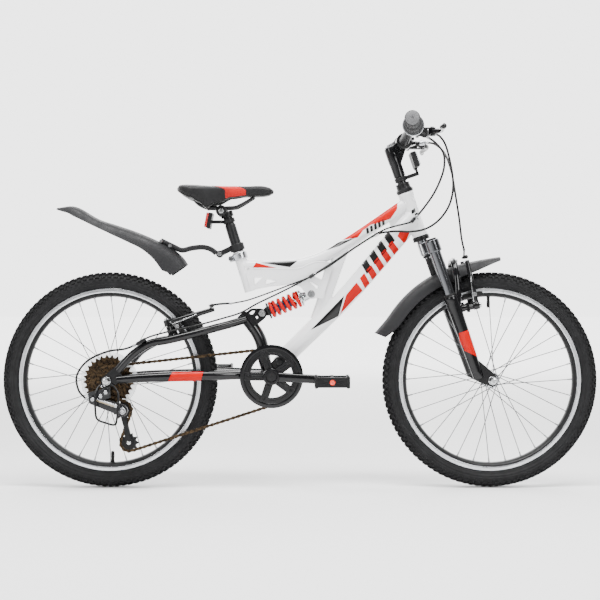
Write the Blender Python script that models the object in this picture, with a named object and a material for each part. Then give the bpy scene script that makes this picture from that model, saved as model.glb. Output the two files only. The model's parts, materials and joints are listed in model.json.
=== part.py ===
"""Full-suspension mountain bike for a child, with 20 inch wheels, modelled piece by piece in metres.

+X is forward, +Y is the rider's left and +Z is up. The origin is on the ground, midway between the
axles. Each piece is one closed solid, and each moving piece has its origin on its joint's axis.
"""

import math

import bmesh
import bpy
from mathutils import Matrix, Vector

GAP = 0.0003
SIDES = 12
ROUND = 16
LEFT = 1
RIGHT = -1
Y_AXIS = Vector((0.0, 1.0, 0.0))
Z_AXIS = Vector((0.0, 0.0, 1.0))

# Wheels
WHEELBASE = 0.897
AXLE_HEIGHT = 0.254
TYRE_RADIUS = 0.254
TYRE_HALF_WIDTH = 0.025
RIM_OUTER = 0.2155
RIM_INNER = 0.1958
RIM_HALF_WIDTH = 0.013
WHEEL_STEPS = 36
SPOKES_PER_FLANGE = 16
SPOKE_CROSS_ANGLE = math.radians(67.5)
SPOKE_RADIUS = 0.0011
FRONT_HUB_HALF = 0.050
REAR_HUB_HALF = 0.063
AXLE_BORE = 0.0053

# Steering: the axis leans back, and runs through the lower end of the head tube
HEAD_LEAN = math.radians(19.0)
HEAD_FOOT = Vector((0.2889, 0.0, 0.583))
HEAD_TUBE_LOW = 0.0114
HEAD_TUBE_HIGH = 0.1191
HEAD_TUBE_RADIUS = 0.017
STEERER_RADIUS = 0.0127
QUILL_RADIUS = 0.0111
LEG_AHEAD = 0.015
LEG_SIDE = 0.055
STANCHION_RADIUS = 0.0127
CROWN_BOTTOM = -0.036
LEG_TOP = -0.145
AXLE_DOWN = -0.3631
AXLE_AHEAD = 0.0439

# Handlebar
BAR_RADIUS = 0.0111
BAR_BULGE = 0.0127
BAR_CENTRE = Vector((0.2458, 0.0, 0.8166))
BAR_BEND_SIDE = 0.165
BAR_END_SIDE = 0.285
GRIP_RADIUS = 0.0155
GRIP_FLANGE = 0.0190
GRIP_REACH = 0.124
LEVER_HEIGHT = 0.824
LEVER_PIVOT = Vector((0.300, 0.128, LEVER_HEIGHT))

# Front frame
TUBE_RADIUS = 0.0143
POST_RADIUS = 0.0127
POST_LEAN = Vector((-0.2961, 0.0, 0.9552))
SEAT_TUBE_TOP = Vector((-0.1458, 0.0, 0.5558))
SEAT_TUBE_LENGTH = 0.097
PLATE_SIDE = 0.0150
PLATE_THICK = 0.003

# Rear triangle, crank and shock
PIVOT = Vector((-0.0470, 0.0, 0.2960))
BRACKET = Vector((-0.0666, 0.0, 0.2635))
BRACKET_RADIUS = 0.020
SHOCK_TOP = Vector((0.0265, 0.0, 0.4562))
SHOCK_FOOT = Vector((-0.0895, 0.0, 0.4105))
CRANK_LENGTH = 0.140
CRANK_DIP = math.radians(3.0)

# Chain drive: roller pitch, teeth, and the distance of each chain plane from the middle
CHAIN_PITCH = 0.0127
RING_TEETH = 32
COG_TEETH = (28, 24, 21, 18, 16, 14)
DRIVEN_COG = 16
PULLEY_TEETH = 10
RING_SIDE = -0.0435
FIRST_COG_SIDE = -0.0335
COG_SPACING = -0.0045
CHAIN_HALF_WIDTH = 0.0030
CHAIN_HALF_HEIGHT = 0.0042
GUIDE_PULLEY = Vector((-0.4130, 0.0, 0.1856))
TENSION_PULLEY = Vector((-0.3980, 0.0, 0.1101))
HANGER = Vector((-0.4480, 0.0, 0.2290))

# V-brakes: pivot, direction of the arms, and their spread
FRONT_BRAKE_PIVOT = Vector((0.4116, 0.0, 0.4290))
FRONT_BRAKE_TOP = Vector((0.3901, 0.0, 0.5347))
REAR_BRAKE_PIVOT = Vector((-0.3089, 0.0, 0.3882))
REAR_BRAKE_TOP = Vector((-0.2062, 0.0, 0.4197))
BRAKE_SIDE = 0.046
PAD_INNER = 0.0148
PAD_RADIUS = 0.2060
PAD_OUTER = 0.0245

# Mudguards
FENDER_RADIUS = 0.2790
FENDER_THICK = 0.0025
FENDER_HINGE = Vector((-0.1905, 0.0, 0.5507))

REAR_AXLE = Vector((-WHEELBASE / 2, 0.0, AXLE_HEIGHT))
FRONT_AXLE = Vector((WHEELBASE / 2, 0.0, AXLE_HEIGHT))
HEAD_UP = Vector((-math.sin(HEAD_LEAN), 0.0, math.cos(HEAD_LEAN)))
HEAD_AHEAD = Vector((math.cos(HEAD_LEAN), 0.0, math.sin(HEAD_LEAN)))
CRANK_AHEAD = Vector((math.cos(CRANK_DIP), 0.0, -math.sin(CRANK_DIP)))
DRIVEN_SIDE = FIRST_COG_SIDE + COG_SPACING * COG_TEETH.index(DRIVEN_COG)

FINISHES = {
    "white_paint": ((0.86, 0.86, 0.87), 0.22, 0.0),
    "black_paint": ((0.012, 0.012, 0.013), 0.20, 0.0),
    "black_plastic": ((0.018, 0.018, 0.019), 0.55, 0.0),
    "rubber": ((0.016, 0.016, 0.016), 0.80, 0.0),
    "tyre": ((0.020, 0.020, 0.021), 0.85, 0.0),
    "alloy": ((0.62, 0.63, 0.65), 0.28, 1.0),
    "dark_chrome": ((0.16, 0.165, 0.17), 0.16, 1.0),
    "steel": ((0.50, 0.50, 0.51), 0.30, 1.0),
    "bronze_steel": ((0.20, 0.13, 0.07), 0.40, 1.0),
    "red_spring": ((0.75, 0.02, 0.012), 0.30, 0.0),
    "saddle_cover": ((0.018, 0.018, 0.019), 0.60, 0.0),
    "red_lens": ((0.70, 0.01, 0.01), 0.20, 0.0),
    "cable_black": ((0.010, 0.010, 0.010), 0.45, 0.0),
}


# ---------------------------------------------------------------- modelling tools


def clear_scene():
    for obj in list(bpy.data.objects):
        bpy.data.objects.remove(obj, do_unlink=True)


def solid(bm):
    """An unnamed object of this mesh, with every face turned outwards."""
    bmesh.ops.recalc_face_normals(bm, faces=bm.faces)
    mesh = bpy.data.meshes.new("solid")
    bm.to_mesh(mesh)
    bm.free()
    obj = bpy.data.objects.new("solid", mesh)
    bpy.context.scene.collection.objects.link(obj)
    return obj


def bake(obj):
    """Replaces the object's mesh with the one that its modifiers make."""
    depsgraph = bpy.context.evaluated_depsgraph_get()
    mesh = bpy.data.meshes.new_from_object(obj.evaluated_get(depsgraph))
    obj.modifiers.clear()
    obj.data = mesh


def boolean(base, others, operation):
    for other in others:
        modifier = base.modifiers.new(operation, "BOOLEAN")
        modifier.operation = operation
        modifier.solver = "EXACT"
        modifier.object = other
    bake(base)
    for other in others:
        bpy.data.objects.remove(other, do_unlink=True)
    return base


def fuse(*pieces):
    return boolean(pieces[0], pieces[1:], "UNION")


def cut(base, *cutters):
    return boolean(base, cutters, "DIFFERENCE")


def side_axes(direction, hint=Y_AXIS):
    """Two unit vectors square to the direction, the first as near the hint as it can be."""
    if abs(direction.dot(hint)) > 0.9:
        hint = Z_AXIS if abs(direction.dot(Z_AXIS)) < 0.9 else Y_AXIS
    side = (hint - direction * hint.dot(direction)).normalized()
    return side, direction.cross(side)


def add_ring(bm, centre, side, up, radius_side, radius_up, steps):
    ring = []
    for step in range(steps):
        angle = 2 * math.pi * step / steps
        offset = side * (radius_side * math.cos(angle)) + up * (radius_up * math.sin(angle))
        ring.append(bm.verts.new(centre + offset))
    return ring


def join_rings(bm, first, second):
    for index in range(len(first)):
        after = (index + 1) % len(first)
        bm.faces.new((first[index], first[after], second[after], second[index]))


def sweep(points, radii, steps=SIDES, flatness=1.0):
    """A closed tube along the points. flatness narrows the section's side that starts along Y."""
    bm = bmesh.new()
    points = [Vector(point) for point in points]
    if not isinstance(radii, (list, tuple)):
        radii = [radii] * len(points)
    last = len(points) - 1
    side = None
    rings = []
    for index, point in enumerate(points):
        ahead = (points[min(index + 1, last)] - point).normalized()
        behind = (point - points[max(index - 1, 0)]).normalized()
        tangent = (ahead + behind).normalized()
        if side is None:
            side = side_axes(tangent)[0]
        side = (side - tangent * side.dot(tangent)).normalized()
        mitre = max(tangent.dot(ahead if index < last else behind), 0.7)
        radius = radii[index]
        up = tangent.cross(side)
        rings.append(add_ring(bm, point, side, up, radius * flatness, radius / mitre, steps))
    for first, second in zip(rings, rings[1:]):
        join_rings(bm, first, second)
    bm.faces.new(rings[0])
    bm.faces.new(rings[-1])
    return solid(bm)


def smooth_path(points, per_span=4):
    """Points of a smooth curve that passes through the given points."""
    points = [Vector(point) for point in points]
    padded = [2 * points[0] - points[1], *points, 2 * points[-1] - points[-2]]
    path = []
    for index in range(len(points) - 1):
        before, start, end, after = padded[index : index + 4]
        for step in range(per_span):
            t = step / per_span
            path.append(
                0.5
                * (
                    2 * start
                    + (end - before) * t
                    + (2 * before - 5 * start + 4 * end - after) * t**2
                    + (3 * start - before - 3 * end + after) * t**3
                )
            )
    path.append(points[-1])
    return path


def turned(profile, centre, axis=Y_AXIS, steps=SIDES, ring=False):
    """Turns (radius, height) points about the axis. A ring's outline closes on itself."""
    bm = bmesh.new()
    side, up = side_axes(axis, Vector((1.0, 0.0, 0.0)))
    rings = [
        add_ring(bm, centre + axis * height, side, up, radius, radius, steps)
        for radius, height in profile
    ]
    for first, second in zip(rings, rings[1:]):
        join_rings(bm, first, second)
    if ring:
        join_rings(bm, rings[-1], rings[0])
    else:
        bm.faces.new(rings[0])
        bm.faces.new(rings[-1])
    return solid(bm)


def rod(start, end, radius, steps=SIDES):
    start = Vector(start)
    end = Vector(end)
    return turned([(radius, 0.0), (radius, (end - start).length)], start, (end - start).normalized(), steps)


def collar(centre, axis, low, high, inner, outer, steps=SIDES):
    """A plain ring round the axis, from low to high along it."""
    return turned([(inner, low), (outer, low), (outer, high), (inner, high)], centre, axis, steps, ring=True)


def cross_rod(place, low, high, radius, steps=SIDES):
    """A rod along Y through a place in the middle plane."""
    return rod((place[0], low, place[2]), (place[0], high, place[2]), radius, steps)


def prism(outline, low, high):
    """A flat plate: the (x, z) outline, from low to high along Y."""
    bm = bmesh.new()
    near = [bm.verts.new((x, low, z)) for x, z in outline]
    far = [bm.verts.new((x, high, z)) for x, z in outline]
    join_rings(bm, near, far)
    bm.faces.new(near)
    bm.faces.new(far)
    return solid(bm)


def block(centre, size, ahead=Vector((1.0, 0.0, 0.0)), up=Z_AXIS):
    """A box whose first side runs along ahead, and its last along up."""
    bm = bmesh.new()
    bmesh.ops.create_cube(bm, size=1.0)
    across = up.cross(ahead)
    columns = Matrix((ahead * size[0], across * size[1], up * size[2])).transposed()
    bmesh.ops.transform(bm, matrix=Matrix.Translation(centre) @ columns.to_4x4(), verts=bm.verts)
    return solid(bm)


def steered(height, ahead=0.0, side=0.0):
    """A point by its height along the steering axis, and its distance ahead of it and to its side."""
    return HEAD_FOOT + HEAD_UP * height + HEAD_AHEAD * ahead + Y_AXIS * side


def finish(name, obj, finish_name, origin=None):
    """Names the piece, gives it its material, and puts its origin on its joint's axis."""
    obj.name = name
    obj.data.name = name
    material = bpy.data.materials.get(finish_name)
    if material is None:
        colour, roughness, metallic = FINISHES[finish_name]
        material = bpy.data.materials.new(finish_name)
        material.use_nodes = True
        shader = material.node_tree.nodes["Principled BSDF"]
        shader.inputs["Base Color"].default_value = (*colour, 1.0)
        shader.inputs["Roughness"].default_value = roughness
        shader.inputs["Metallic"].default_value = metallic
    own = material.copy()
    own.name = f"{name}_{finish_name}"
    obj.data.materials.clear()
    obj.data.materials.append(own)
    if origin is not None:
        obj.data.transform(Matrix.Translation(-origin))
        obj.location = origin
    obj.data.shade_smooth()
    obj.data.set_sharp_from_angle(angle=math.radians(35))
    return obj


def mirrored(point, side):
    return Vector((point[0], abs(point[1]) * side, point[2]))


def pitch_radius(teeth):
    return CHAIN_PITCH / (2 * math.sin(math.pi / teeth))


# ---------------------------------------------------------------- wheels


def tyre(name, axle):
    half = [
        (TYRE_RADIUS, 0.0070),
        (0.2505, 0.0185),
        (0.2385, TYRE_HALF_WIDTH),
        (0.2260, 0.0222),
        (RIM_OUTER + GAP, 0.0122),
    ]
    profile = half + [(radius, -side) for radius, side in reversed(half)]
    return finish(name, turned(profile, axle, steps=WHEEL_STEPS, ring=True), "tyre", axle)


def rim(name, axle):
    half = [(RIM_OUTER, 0.0122), (0.2040, RIM_HALF_WIDTH), (RIM_INNER, 0.0070)]
    profile = half + [(radius, -side) for radius, side in reversed(half)]
    return finish(name, turned(profile, axle, steps=WHEEL_STEPS, ring=True), "alloy", axle)


def spoke(axle, flange_radius, flange_side, rim_angle, turn, lift):
    hub_angle = rim_angle + turn * SPOKE_CROSS_ANGLE
    start = axle + Vector((math.cos(hub_angle), 0.0, math.sin(hub_angle))) * flange_radius
    start.y = flange_side + lift
    end = axle + Vector((math.cos(rim_angle), 0.0, math.sin(rim_angle))) * (RIM_INNER - 0.0012)
    end.y = math.copysign(0.0035, flange_side)
    return rod(start, end, SPOKE_RADIUS, 3)


def spoked_hub(name, axle, hub_profile, flanges):
    """The hub shell, turned from its (radius, side) profile, with crossed spokes out of each flange."""
    pieces = [turned(hub_profile, axle, ring=True)]
    for flange_radius, flange_side, phase in flanges:
        for index in range(SPOKES_PER_FLANGE):
            rim_angle = 2 * math.pi * (index + phase) / SPOKES_PER_FLANGE
            turn = 1 if index % 2 else -1
            pieces.append(spoke(axle, flange_radius, flange_side, rim_angle, turn, turn * 0.0012))
    return finish(name, fuse(*pieces), "alloy", axle)


def hub_outline(left_end, left_flange, right_flange, right_end, flange_radius, extra=()):
    """(radius, side) points of a hub shell with a bore, from its right end to its left."""
    thick = 0.0018
    return [
        (AXLE_BORE, right_end),
        (0.010, right_end),
        *extra,
        (0.010, right_flange - thick),
        (flange_radius, right_flange - thick),
        (flange_radius, right_flange + thick),
        (0.010, right_flange + thick),
        (0.010, left_flange - thick),
        (flange_radius, left_flange - thick),
        (flange_radius, left_flange + thick),
        (0.010, left_flange + thick),
        (0.010, left_end),
        (AXLE_BORE, left_end),
    ]


def wheels():
    front_outline = hub_outline(FRONT_HUB_HALF - 0.001, 0.030, -0.030, -FRONT_HUB_HALF + 0.001, 0.0185)
    # The rear hub carries the round spoke guard just inboard of the freewheel
    guard = [(0.010, -0.0290), (0.067, -0.0285), (0.067, -0.0273), (0.012, -0.0262)]
    rear_outline = hub_outline(REAR_HUB_HALF - 0.001, 0.031, -0.020, -0.0298, 0.0215, guard)
    for name, axle in (("front", FRONT_AXLE), ("rear", REAR_AXLE)):
        tyre(f"{name}_tyre", axle)
        rim(f"{name}_rim", axle)
    # Each flange's spoke radius, its side, and its phase against the other flange's spokes
    front_flanges = ((0.0165, 0.030, 0.0), (0.0165, -0.030, 0.5))
    rear_flanges = ((0.0195, 0.031, 0.0), (0.0195, -0.020, 0.5))
    spoked_hub("front_hub_and_spokes", FRONT_AXLE, front_outline, front_flanges)
    spoked_hub("rear_hub_and_spokes", REAR_AXLE, rear_outline, rear_flanges)


def axle_with_nuts(name, axle, half_length, nut_inner, nut_outer, radius):
    pieces = [cross_rod(axle, -half_length, half_length, radius)]
    for side in (LEFT, RIGHT):
        pieces.append(cross_rod(axle, side * nut_inner, side * nut_outer, 0.0095, 6))
        pieces.append(cross_rod(axle, side * (nut_outer - 0.001), side * (nut_outer + 0.004), 0.0075))
    return finish(name, fuse(*pieces), "steel")


# ---------------------------------------------------------------- front frame


def plate_outline():
    """The pressed plate that ties the top tube, the seat tube and the strut, and holds the shock."""
    return [
        (-0.1290, 0.5060),
        (-0.1150, 0.4640),
        (-0.1074, 0.4669),
        (-0.0718, 0.4740),
        (-0.0292, 0.4780),
        (0.0005, 0.4752),
        (0.0120, 0.4600),
        (0.0160, 0.4480),
        (0.0265, 0.4435),
        (0.0370, 0.4465),
        (0.0560, 0.4440),
        (0.0600, 0.4660),
        (0.0800, 0.5300),
        (0.0420, 0.5330),
        (-0.0100, 0.5170),
        (-0.1200, 0.5170),
    ]


def plate_windows():
    """Triangles cut through the plates."""
    triangles = (
        ((-0.1100, 0.4960), (-0.0870, 0.4960), (-0.1080, 0.4760)),
        ((-0.0800, 0.4925), (-0.0540, 0.4862), (-0.0830, 0.4790)),
        ((0.0206, 0.4882), (0.0440, 0.4750), (0.0400, 0.4670)),
        ((0.0290, 0.5000), (0.0590, 0.5160), (0.0520, 0.4890)),
    )
    return [prism(triangle, -0.03, 0.03) for triangle in triangles]


def top_tube_path():
    return smooth_path(
        [
            (-0.1360, 0.0, 0.5233),
            (-0.0300, 0.0, 0.5233),
            (0.0350, 0.0, 0.5365),
            (0.1020, 0.0, 0.5695),
            (0.1700, 0.0, 0.6150),
            (0.2600, 0.0, 0.6770),
        ],
        2,
    )


def main_frame():
    seat_foot = SEAT_TUBE_TOP - POST_LEAN * SEAT_TUBE_LENGTH
    down_tube = [
        PIVOT + Vector((0.002, 0.0, 0.002)),
        (0.1045, 0.0, 0.4456),
        (0.2160, 0.0, 0.5760),
        (0.2697, 0.0, 0.6387),
    ]
    pieces = [
        rod(steered(HEAD_TUBE_LOW), steered(HEAD_TUBE_HIGH), HEAD_TUBE_RADIUS, ROUND),
        rod(steered(GAP), steered(HEAD_TUBE_LOW + 0.001), 0.0200, ROUND),
        sweep(top_tube_path(), TUBE_RADIUS),
        sweep(down_tube, [0.0210, 0.0225, 0.0245, 0.0225]),
        rod(seat_foot, SEAT_TUBE_TOP, TUBE_RADIUS, ROUND),
        sweep([(0.1020, 0.0, 0.5695), (0.0700, 0.0, 0.4790), (0.0380, 0.0, 0.3890)], 0.0160, flatness=0.62),
        cross_rod(PIVOT, -0.030, 0.030, 0.016, ROUND),
        prism([(0.2050, 0.6420), (0.2250, 0.5900), (0.2700, 0.6350), (0.2650, 0.6700)], -0.0040, 0.0040),
        cross_rod(SHOCK_TOP, -0.0200, 0.0200, 0.0040, 10),
        rod(steered(0.062, 0.006, -0.0130), steered(0.062, 0.006, -0.0225), 0.0040, 10),
    ]
    for side in (LEFT, RIGHT):
        inner = side * (PLATE_SIDE - PLATE_THICK / 2)
        outer = side * (PLATE_SIDE + PLATE_THICK / 2)
        plate = prism(plate_outline(), min(inner, outer), max(inner, outer))
        pieces.append(plate)
        pieces.append(cross_rod(SHOCK_TOP, outer - side * 0.001, outer + side * 0.005, 0.0075, 6))
    frame = fuse(*pieces)
    cutters = [
        rod(seat_foot - POST_LEAN * 0.02, SEAT_TUBE_TOP + POST_LEAN * 0.02, POST_RADIUS + GAP, ROUND),
        rod(steered(-0.02), steered(0.16), 0.0150, ROUND),
        cross_rod(PIVOT, -0.05, 0.05, 0.0063, 12),
        *plate_windows(),
    ]
    return finish("main_frame", cut(frame, *cutters), "white_paint")


def headset():
    """The upper cup and its locknuts. The lower cup is pressed into the head tube, as part of the frame."""
    outline = [
        (STEERER_RADIUS + GAP, HEAD_TUBE_HIGH + GAP),
        (0.0185, HEAD_TUBE_HIGH + GAP),
        (0.0205, HEAD_TUBE_HIGH + 0.008),
        (0.0165, HEAD_TUBE_HIGH + 0.013),
        (0.0165, HEAD_TUBE_HIGH + 0.024),
        (STEERER_RADIUS + GAP, HEAD_TUBE_HIGH + 0.024),
    ]
    finish("headset_upper_cup", turned(outline, HEAD_FOOT, HEAD_UP, ROUND, ring=True), "black_paint")


def seat_clamp():
    ring = collar(SEAT_TUBE_TOP, POST_LEAN, -0.0190, -0.0020, TUBE_RADIUS + GAP, 0.0180, ROUND)
    middle = SEAT_TUBE_TOP - POST_LEAN * 0.0105 + Vector((-0.0205, 0.0, -0.0064))
    bolt = cross_rod(middle, -0.0130, 0.0130, 0.0040, 10)
    head = cross_rod(middle, -0.0170, -0.0120, 0.0065, 6)
    lug_middle = middle + Vector((0.0020, 0.0, 0.0))
    lug = block(lug_middle, (0.0120, 0.0160, 0.0140), -POST_LEAN.cross(Y_AXIS), POST_LEAN)
    bore = rod(SEAT_TUBE_TOP - POST_LEAN * 0.04, SEAT_TUBE_TOP + POST_LEAN * 0.02, TUBE_RADIUS + GAP, ROUND)
    return finish("seat_clamp", cut(fuse(ring, lug, bolt, head), bore), "alloy")


# ---------------------------------------------------------------- fork


def fork_upper():
    pieces = [rod(steered(CROWN_BOTTOM), steered(0.1380), STEERER_RADIUS, ROUND)]
    crown_middle = steered(-0.0180, 0.0080)
    pieces.append(block(crown_middle, (0.0420, 0.0900, 0.0340), HEAD_AHEAD, HEAD_UP))
    for side in (LEFT, RIGHT):
        foot = steered(0.0, LEG_AHEAD, side * LEG_SIDE)
        pieces.append(turned([(0.0190, CROWN_BOTTOM), (0.0190, -0.003)], foot, HEAD_UP))
        pieces.append(turned([(STANCHION_RADIUS, -0.2350), (STANCHION_RADIUS, -0.010)], foot, HEAD_UP))
    upper = fuse(*pieces)
    bore = rod(steered(0.010), steered(0.20), QUILL_RADIUS + GAP, ROUND)
    return finish("fork_upper", cut(upper, bore), "dark_chrome")


def fork_lowers():
    pieces = []
    bores = []
    # (height, distance ahead) round the dropout
    dropout = [
        (-0.300, 0.010),
        (-0.300, 0.024),
        (-0.352, 0.055),
        (-0.374, 0.053),
        (-0.378, 0.040),
        (-0.352, 0.008),
    ]
    # (radius, height) down the leg, from its dust seal's collar to the lower end
    leg = [(0.0150, LEG_TOP), (0.0168, LEG_TOP - 0.008), (0.0160, -0.165), (0.0136, -0.290), (0.0122, -0.345)]
    for side in (LEFT, RIGHT):
        foot = steered(0.0, LEG_AHEAD, side * LEG_SIDE)
        pieces.append(turned(leg, foot, HEAD_UP))
        outline = [(point.x, point.z) for point in (steered(low, ahead) for low, ahead in dropout)]
        low, high = sorted((side * 0.0505, side * 0.0565))
        pieces.append(prism(outline, low, high))
        axis = brake_axis(FRONT_BRAKE_PIVOT, FRONT_BRAKE_TOP, ahead=True)
        pivot = mirrored(FRONT_BRAKE_PIVOT + Y_AXIS * BRAKE_SIDE, side)
        pieces.append(rod(pivot - axis * 0.045, pivot - axis * 0.0078, 0.0075))
        pieces.append(rod(pivot - axis * 0.010, pivot + axis * 0.0090, 0.0042, 10))
        bore_radius = STANCHION_RADIUS + GAP
        bores.append(turned([(bore_radius, -0.2620), (bore_radius, -0.10)], foot, HEAD_UP))
        bores.append(cross_rod(FRONT_AXLE, side * 0.04, side * 0.07, AXLE_BORE))
    arch = [
        (-0.168, 0.024, 0.0560),
        (-0.135, 0.036, 0.0540),
        (-0.098, 0.046, 0.0460),
        (-0.076, 0.051, 0.0300),
        (-0.070, 0.052, 0.0),
    ]
    half = [steered(low, ahead, out) for low, ahead, out in arch]
    far_half = [Vector((point.x, -point.y, point.z)) for point in reversed(half[:-1])]
    pieces.append(sweep(smooth_path(half + far_half, 1), 0.0075, 8, flatness=0.7))
    return finish("fork_lowers", cut(fuse(*pieces), *bores), "black_paint", steered(LEG_TOP))


# ---------------------------------------------------------------- bar, stem and controls


def bar_points():
    half = [
        Vector((BAR_CENTRE.x, 0.028, BAR_CENTRE.z)),
        Vector((BAR_CENTRE.x + 0.0005, 0.036, BAR_CENTRE.z + 0.0008)),
        Vector((0.2500, 0.065, 0.8258)),
        Vector((0.2533, 0.090, 0.8324)),
        Vector((0.2540, 0.104, 0.8330)),
        Vector((0.2540, BAR_BEND_SIDE, 0.8330)),
        Vector((0.2413, BAR_END_SIDE, 0.8326)),
    ]
    return half


def grip_frame(side):
    """The start of the swept-back end of the bar, and its direction."""
    start = mirrored(bar_points()[-2], side)
    end = mirrored(bar_points()[-1], side)
    return start, (end - start).normalized()


def handlebar():
    half = bar_points()
    points = [mirrored(point, RIGHT) for point in reversed(half)] + half
    radii = [BAR_RADIUS] * 5 + [BAR_RADIUS, BAR_BULGE, BAR_BULGE, BAR_RADIUS] + [BAR_RADIUS] * 5
    return finish("handlebar", sweep(points, radii, ROUND), "black_paint")


def grips():
    for name, side, low in (("grip_left", LEFT, 0.0040), ("grip_right", RIGHT, 0.0520)):
        start, direction = grip_frame(side)
        outline = [
            (BAR_RADIUS + GAP, low),
            (GRIP_FLANGE, low),
            (GRIP_FLANGE, low + 0.0040),
            (GRIP_RADIUS, low + 0.0060),
            (GRIP_RADIUS, GRIP_REACH - 0.0060),
            (0.0170, GRIP_REACH - 0.0060),
            (0.0170, GRIP_REACH),
            (BAR_RADIUS + GAP, GRIP_REACH),
        ]
        finish(name, turned(outline, start, direction, ROUND, ring=True), "rubber")


def twist_shifter():
    start, direction = grip_frame(RIGHT)
    outline = [
        (BAR_RADIUS + GAP, 0.0040),
        (0.0245, 0.0040),
        (0.0245, 0.0075),
        (0.0180, 0.0110),
        (0.0170, 0.0515),
        (BAR_RADIUS + GAP, 0.0515),
    ]
    return finish("twist_shifter", turned(outline, start, direction, ROUND, ring=True), "rubber", start)


def stem():
    quill = rod(steered(0.0500), steered(0.2300), QUILL_RADIUS, ROUND)
    head = rod(steered(0.1950), steered(0.2320), 0.0165, ROUND)
    cap = rod(steered(0.2310), steered(0.2370), 0.0085, 6)
    clamp = cross_rod(BAR_CENTRE, -0.0220, 0.0220, 0.0190, ROUND)
    corners = [(0.176, 0.0), (0.186, 0.012), (0.2200, 0.0390), (0.2460, 0.0420), (0.2480, 0.0300)]
    corners.append((0.2310, 0.0))
    outline = [(point.x, point.z) for point in (steered(low, ahead) for low, ahead in corners)]
    web = prism(outline, -0.0110, 0.0110)
    body = fuse(quill, head, cap, web, clamp)
    bore = cross_rod(BAR_CENTRE, -0.05, 0.05, BAR_BULGE + GAP, ROUND)
    return finish("stem", cut(body, bore), "black_paint")


def brake_lever(name, side):
    """The clamp and its lugs stay on the bar, and the blade turns about the upright pin between the lugs."""
    pivot = mirrored(LEVER_PIVOT, side)
    bar = Vector((0.2540, 0.0, 0.8330))
    low, high = sorted((side * 0.1175, side * 0.1335))
    ring = collar(bar, Y_AXIS, low, high, BAR_RADIUS + GAP, 0.0170, ROUND)
    body = block(Vector((0.2790, side * 0.1255, LEVER_HEIGHT)), (0.0260, 0.0150, 0.0190))
    barrel_start = (0.2840, side * 0.124, LEVER_HEIGHT + 0.001)
    barrel_end = (0.3060, side * 0.0880, LEVER_HEIGHT + 0.002)
    barrel = rod(barrel_start, barrel_end, 0.0060, 10)
    pieces = [ring, body, barrel]
    for level in (0.0080, -0.0080):
        pieces.append(block(pivot + Vector((-0.0070, 0.0, level)), (0.0290, 0.0130, 0.0030)))
    pieces.append(rod(pivot - Z_AXIS * 0.0100, pivot + Z_AXIS * 0.0100, 0.0030, 10))
    if side == RIGHT:
        # The twist shifter's housing is clamped on just outside the lever
        pieces.append(collar(bar, Y_AXIS, -0.1648, -0.1325, BAR_RADIUS + GAP, 0.0215, ROUND))
        pieces.append(rod((0.2600, -0.1480, 0.8230), (0.2850, -0.1460, 0.8110), 0.0055, 10))
    bore = cross_rod(bar, low - 0.05, high + 0.05, BAR_RADIUS + GAP, ROUND)
    finish(f"{name}_lever_mount", cut(fuse(*pieces), bore), "black_plastic")
    route = [
        pivot + Vector((0.0000, 0.0000, 0.0)),
        pivot + Vector((0.0140, side * 0.0180, 0.0)),
        pivot + Vector((0.0180, side * 0.0420, -0.0010)),
        pivot + Vector((0.0150, side * 0.0750, -0.0020)),
        pivot + Vector((0.0100, side * 0.1050, -0.0030)),
        pivot + Vector((0.0130, side * 0.1260, -0.0040)),
    ]
    blade = sweep(smooth_path(route, 2), [0.0062] + [0.0056] * 9 + [0.0066], 8, flatness=0.85)
    eye = collar(pivot, Z_AXIS, -0.0060, 0.0060, 0.0030, 0.0078)
    pin_space = rod(pivot - Z_AXIS * 0.02, pivot + Z_AXIS * 0.02, 0.0034, 10)
    finish(f"{name}_brake_lever", cut(fuse(eye, blade), pin_space), "black_paint", pivot)


def front_reflector():
    ring = collar(steered(0.0), HEAD_UP, 0.1480, 0.1580, QUILL_RADIUS + GAP, 0.0150, ROUND)
    arm = block(steered(0.1530, 0.0290), (0.0300, 0.0120, 0.0030), HEAD_AHEAD, HEAD_UP)
    upright = block(steered(0.1700, 0.0430), (0.0030, 0.0120, 0.0360), HEAD_AHEAD, HEAD_UP)
    lens = block(steered(0.1860, 0.0490), (0.0110, 0.0560, 0.0380), HEAD_AHEAD, HEAD_UP)
    return finish("front_reflector", fuse(ring, arm, upright, lens), "black_plastic")


# ---------------------------------------------------------------- mudguards


def guard_shell(stations):
    """A curved strip of even thickness. Each station is the middle of its top, its outward direction,
    its half width and how far its edges drop."""
    bm = bmesh.new()
    outer_rows = []
    inner_rows = []
    spread = (-1.0, -0.88, -0.55, 0.0, 0.55, 0.88, 1.0)
    fall = (1.0, 0.45, 0.10, 0.0, 0.10, 0.45, 1.0)
    for middle, outward, half_width, drop in stations:
        outer = []
        inner = []
        for across, down in zip(spread, fall):
            inward = abs(across) ** 3 * FENDER_THICK * 0.9
            surface = middle + Y_AXIS * (across * half_width) - outward * (down * drop)
            under = surface - outward * (FENDER_THICK * (1.0 - 0.6 * abs(across) ** 3))
            under -= Y_AXIS * math.copysign(inward, across)
            outer.append(bm.verts.new(surface))
            inner.append(bm.verts.new(under))
        outer_rows.append(outer)
        inner_rows.append(inner)
    for rows in (outer_rows, inner_rows):
        for first, second in zip(rows, rows[1:]):
            for index in range(len(first) - 1):
                bm.faces.new((first[index], first[index + 1], second[index + 1], second[index]))
    for column in (0, -1):
        for index in range(len(stations) - 1):
            outer = [outer_rows[index][column], outer_rows[index + 1][column]]
            inner = [inner_rows[index + 1][column], inner_rows[index][column]]
            bm.faces.new(outer + inner)
    for row in (0, -1):
        outer, inner = outer_rows[row], inner_rows[row]
        for index in range(len(outer) - 1):
            bm.faces.new((outer[index], outer[index + 1], inner[index + 1], inner[index]))
    return solid(bm)


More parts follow.
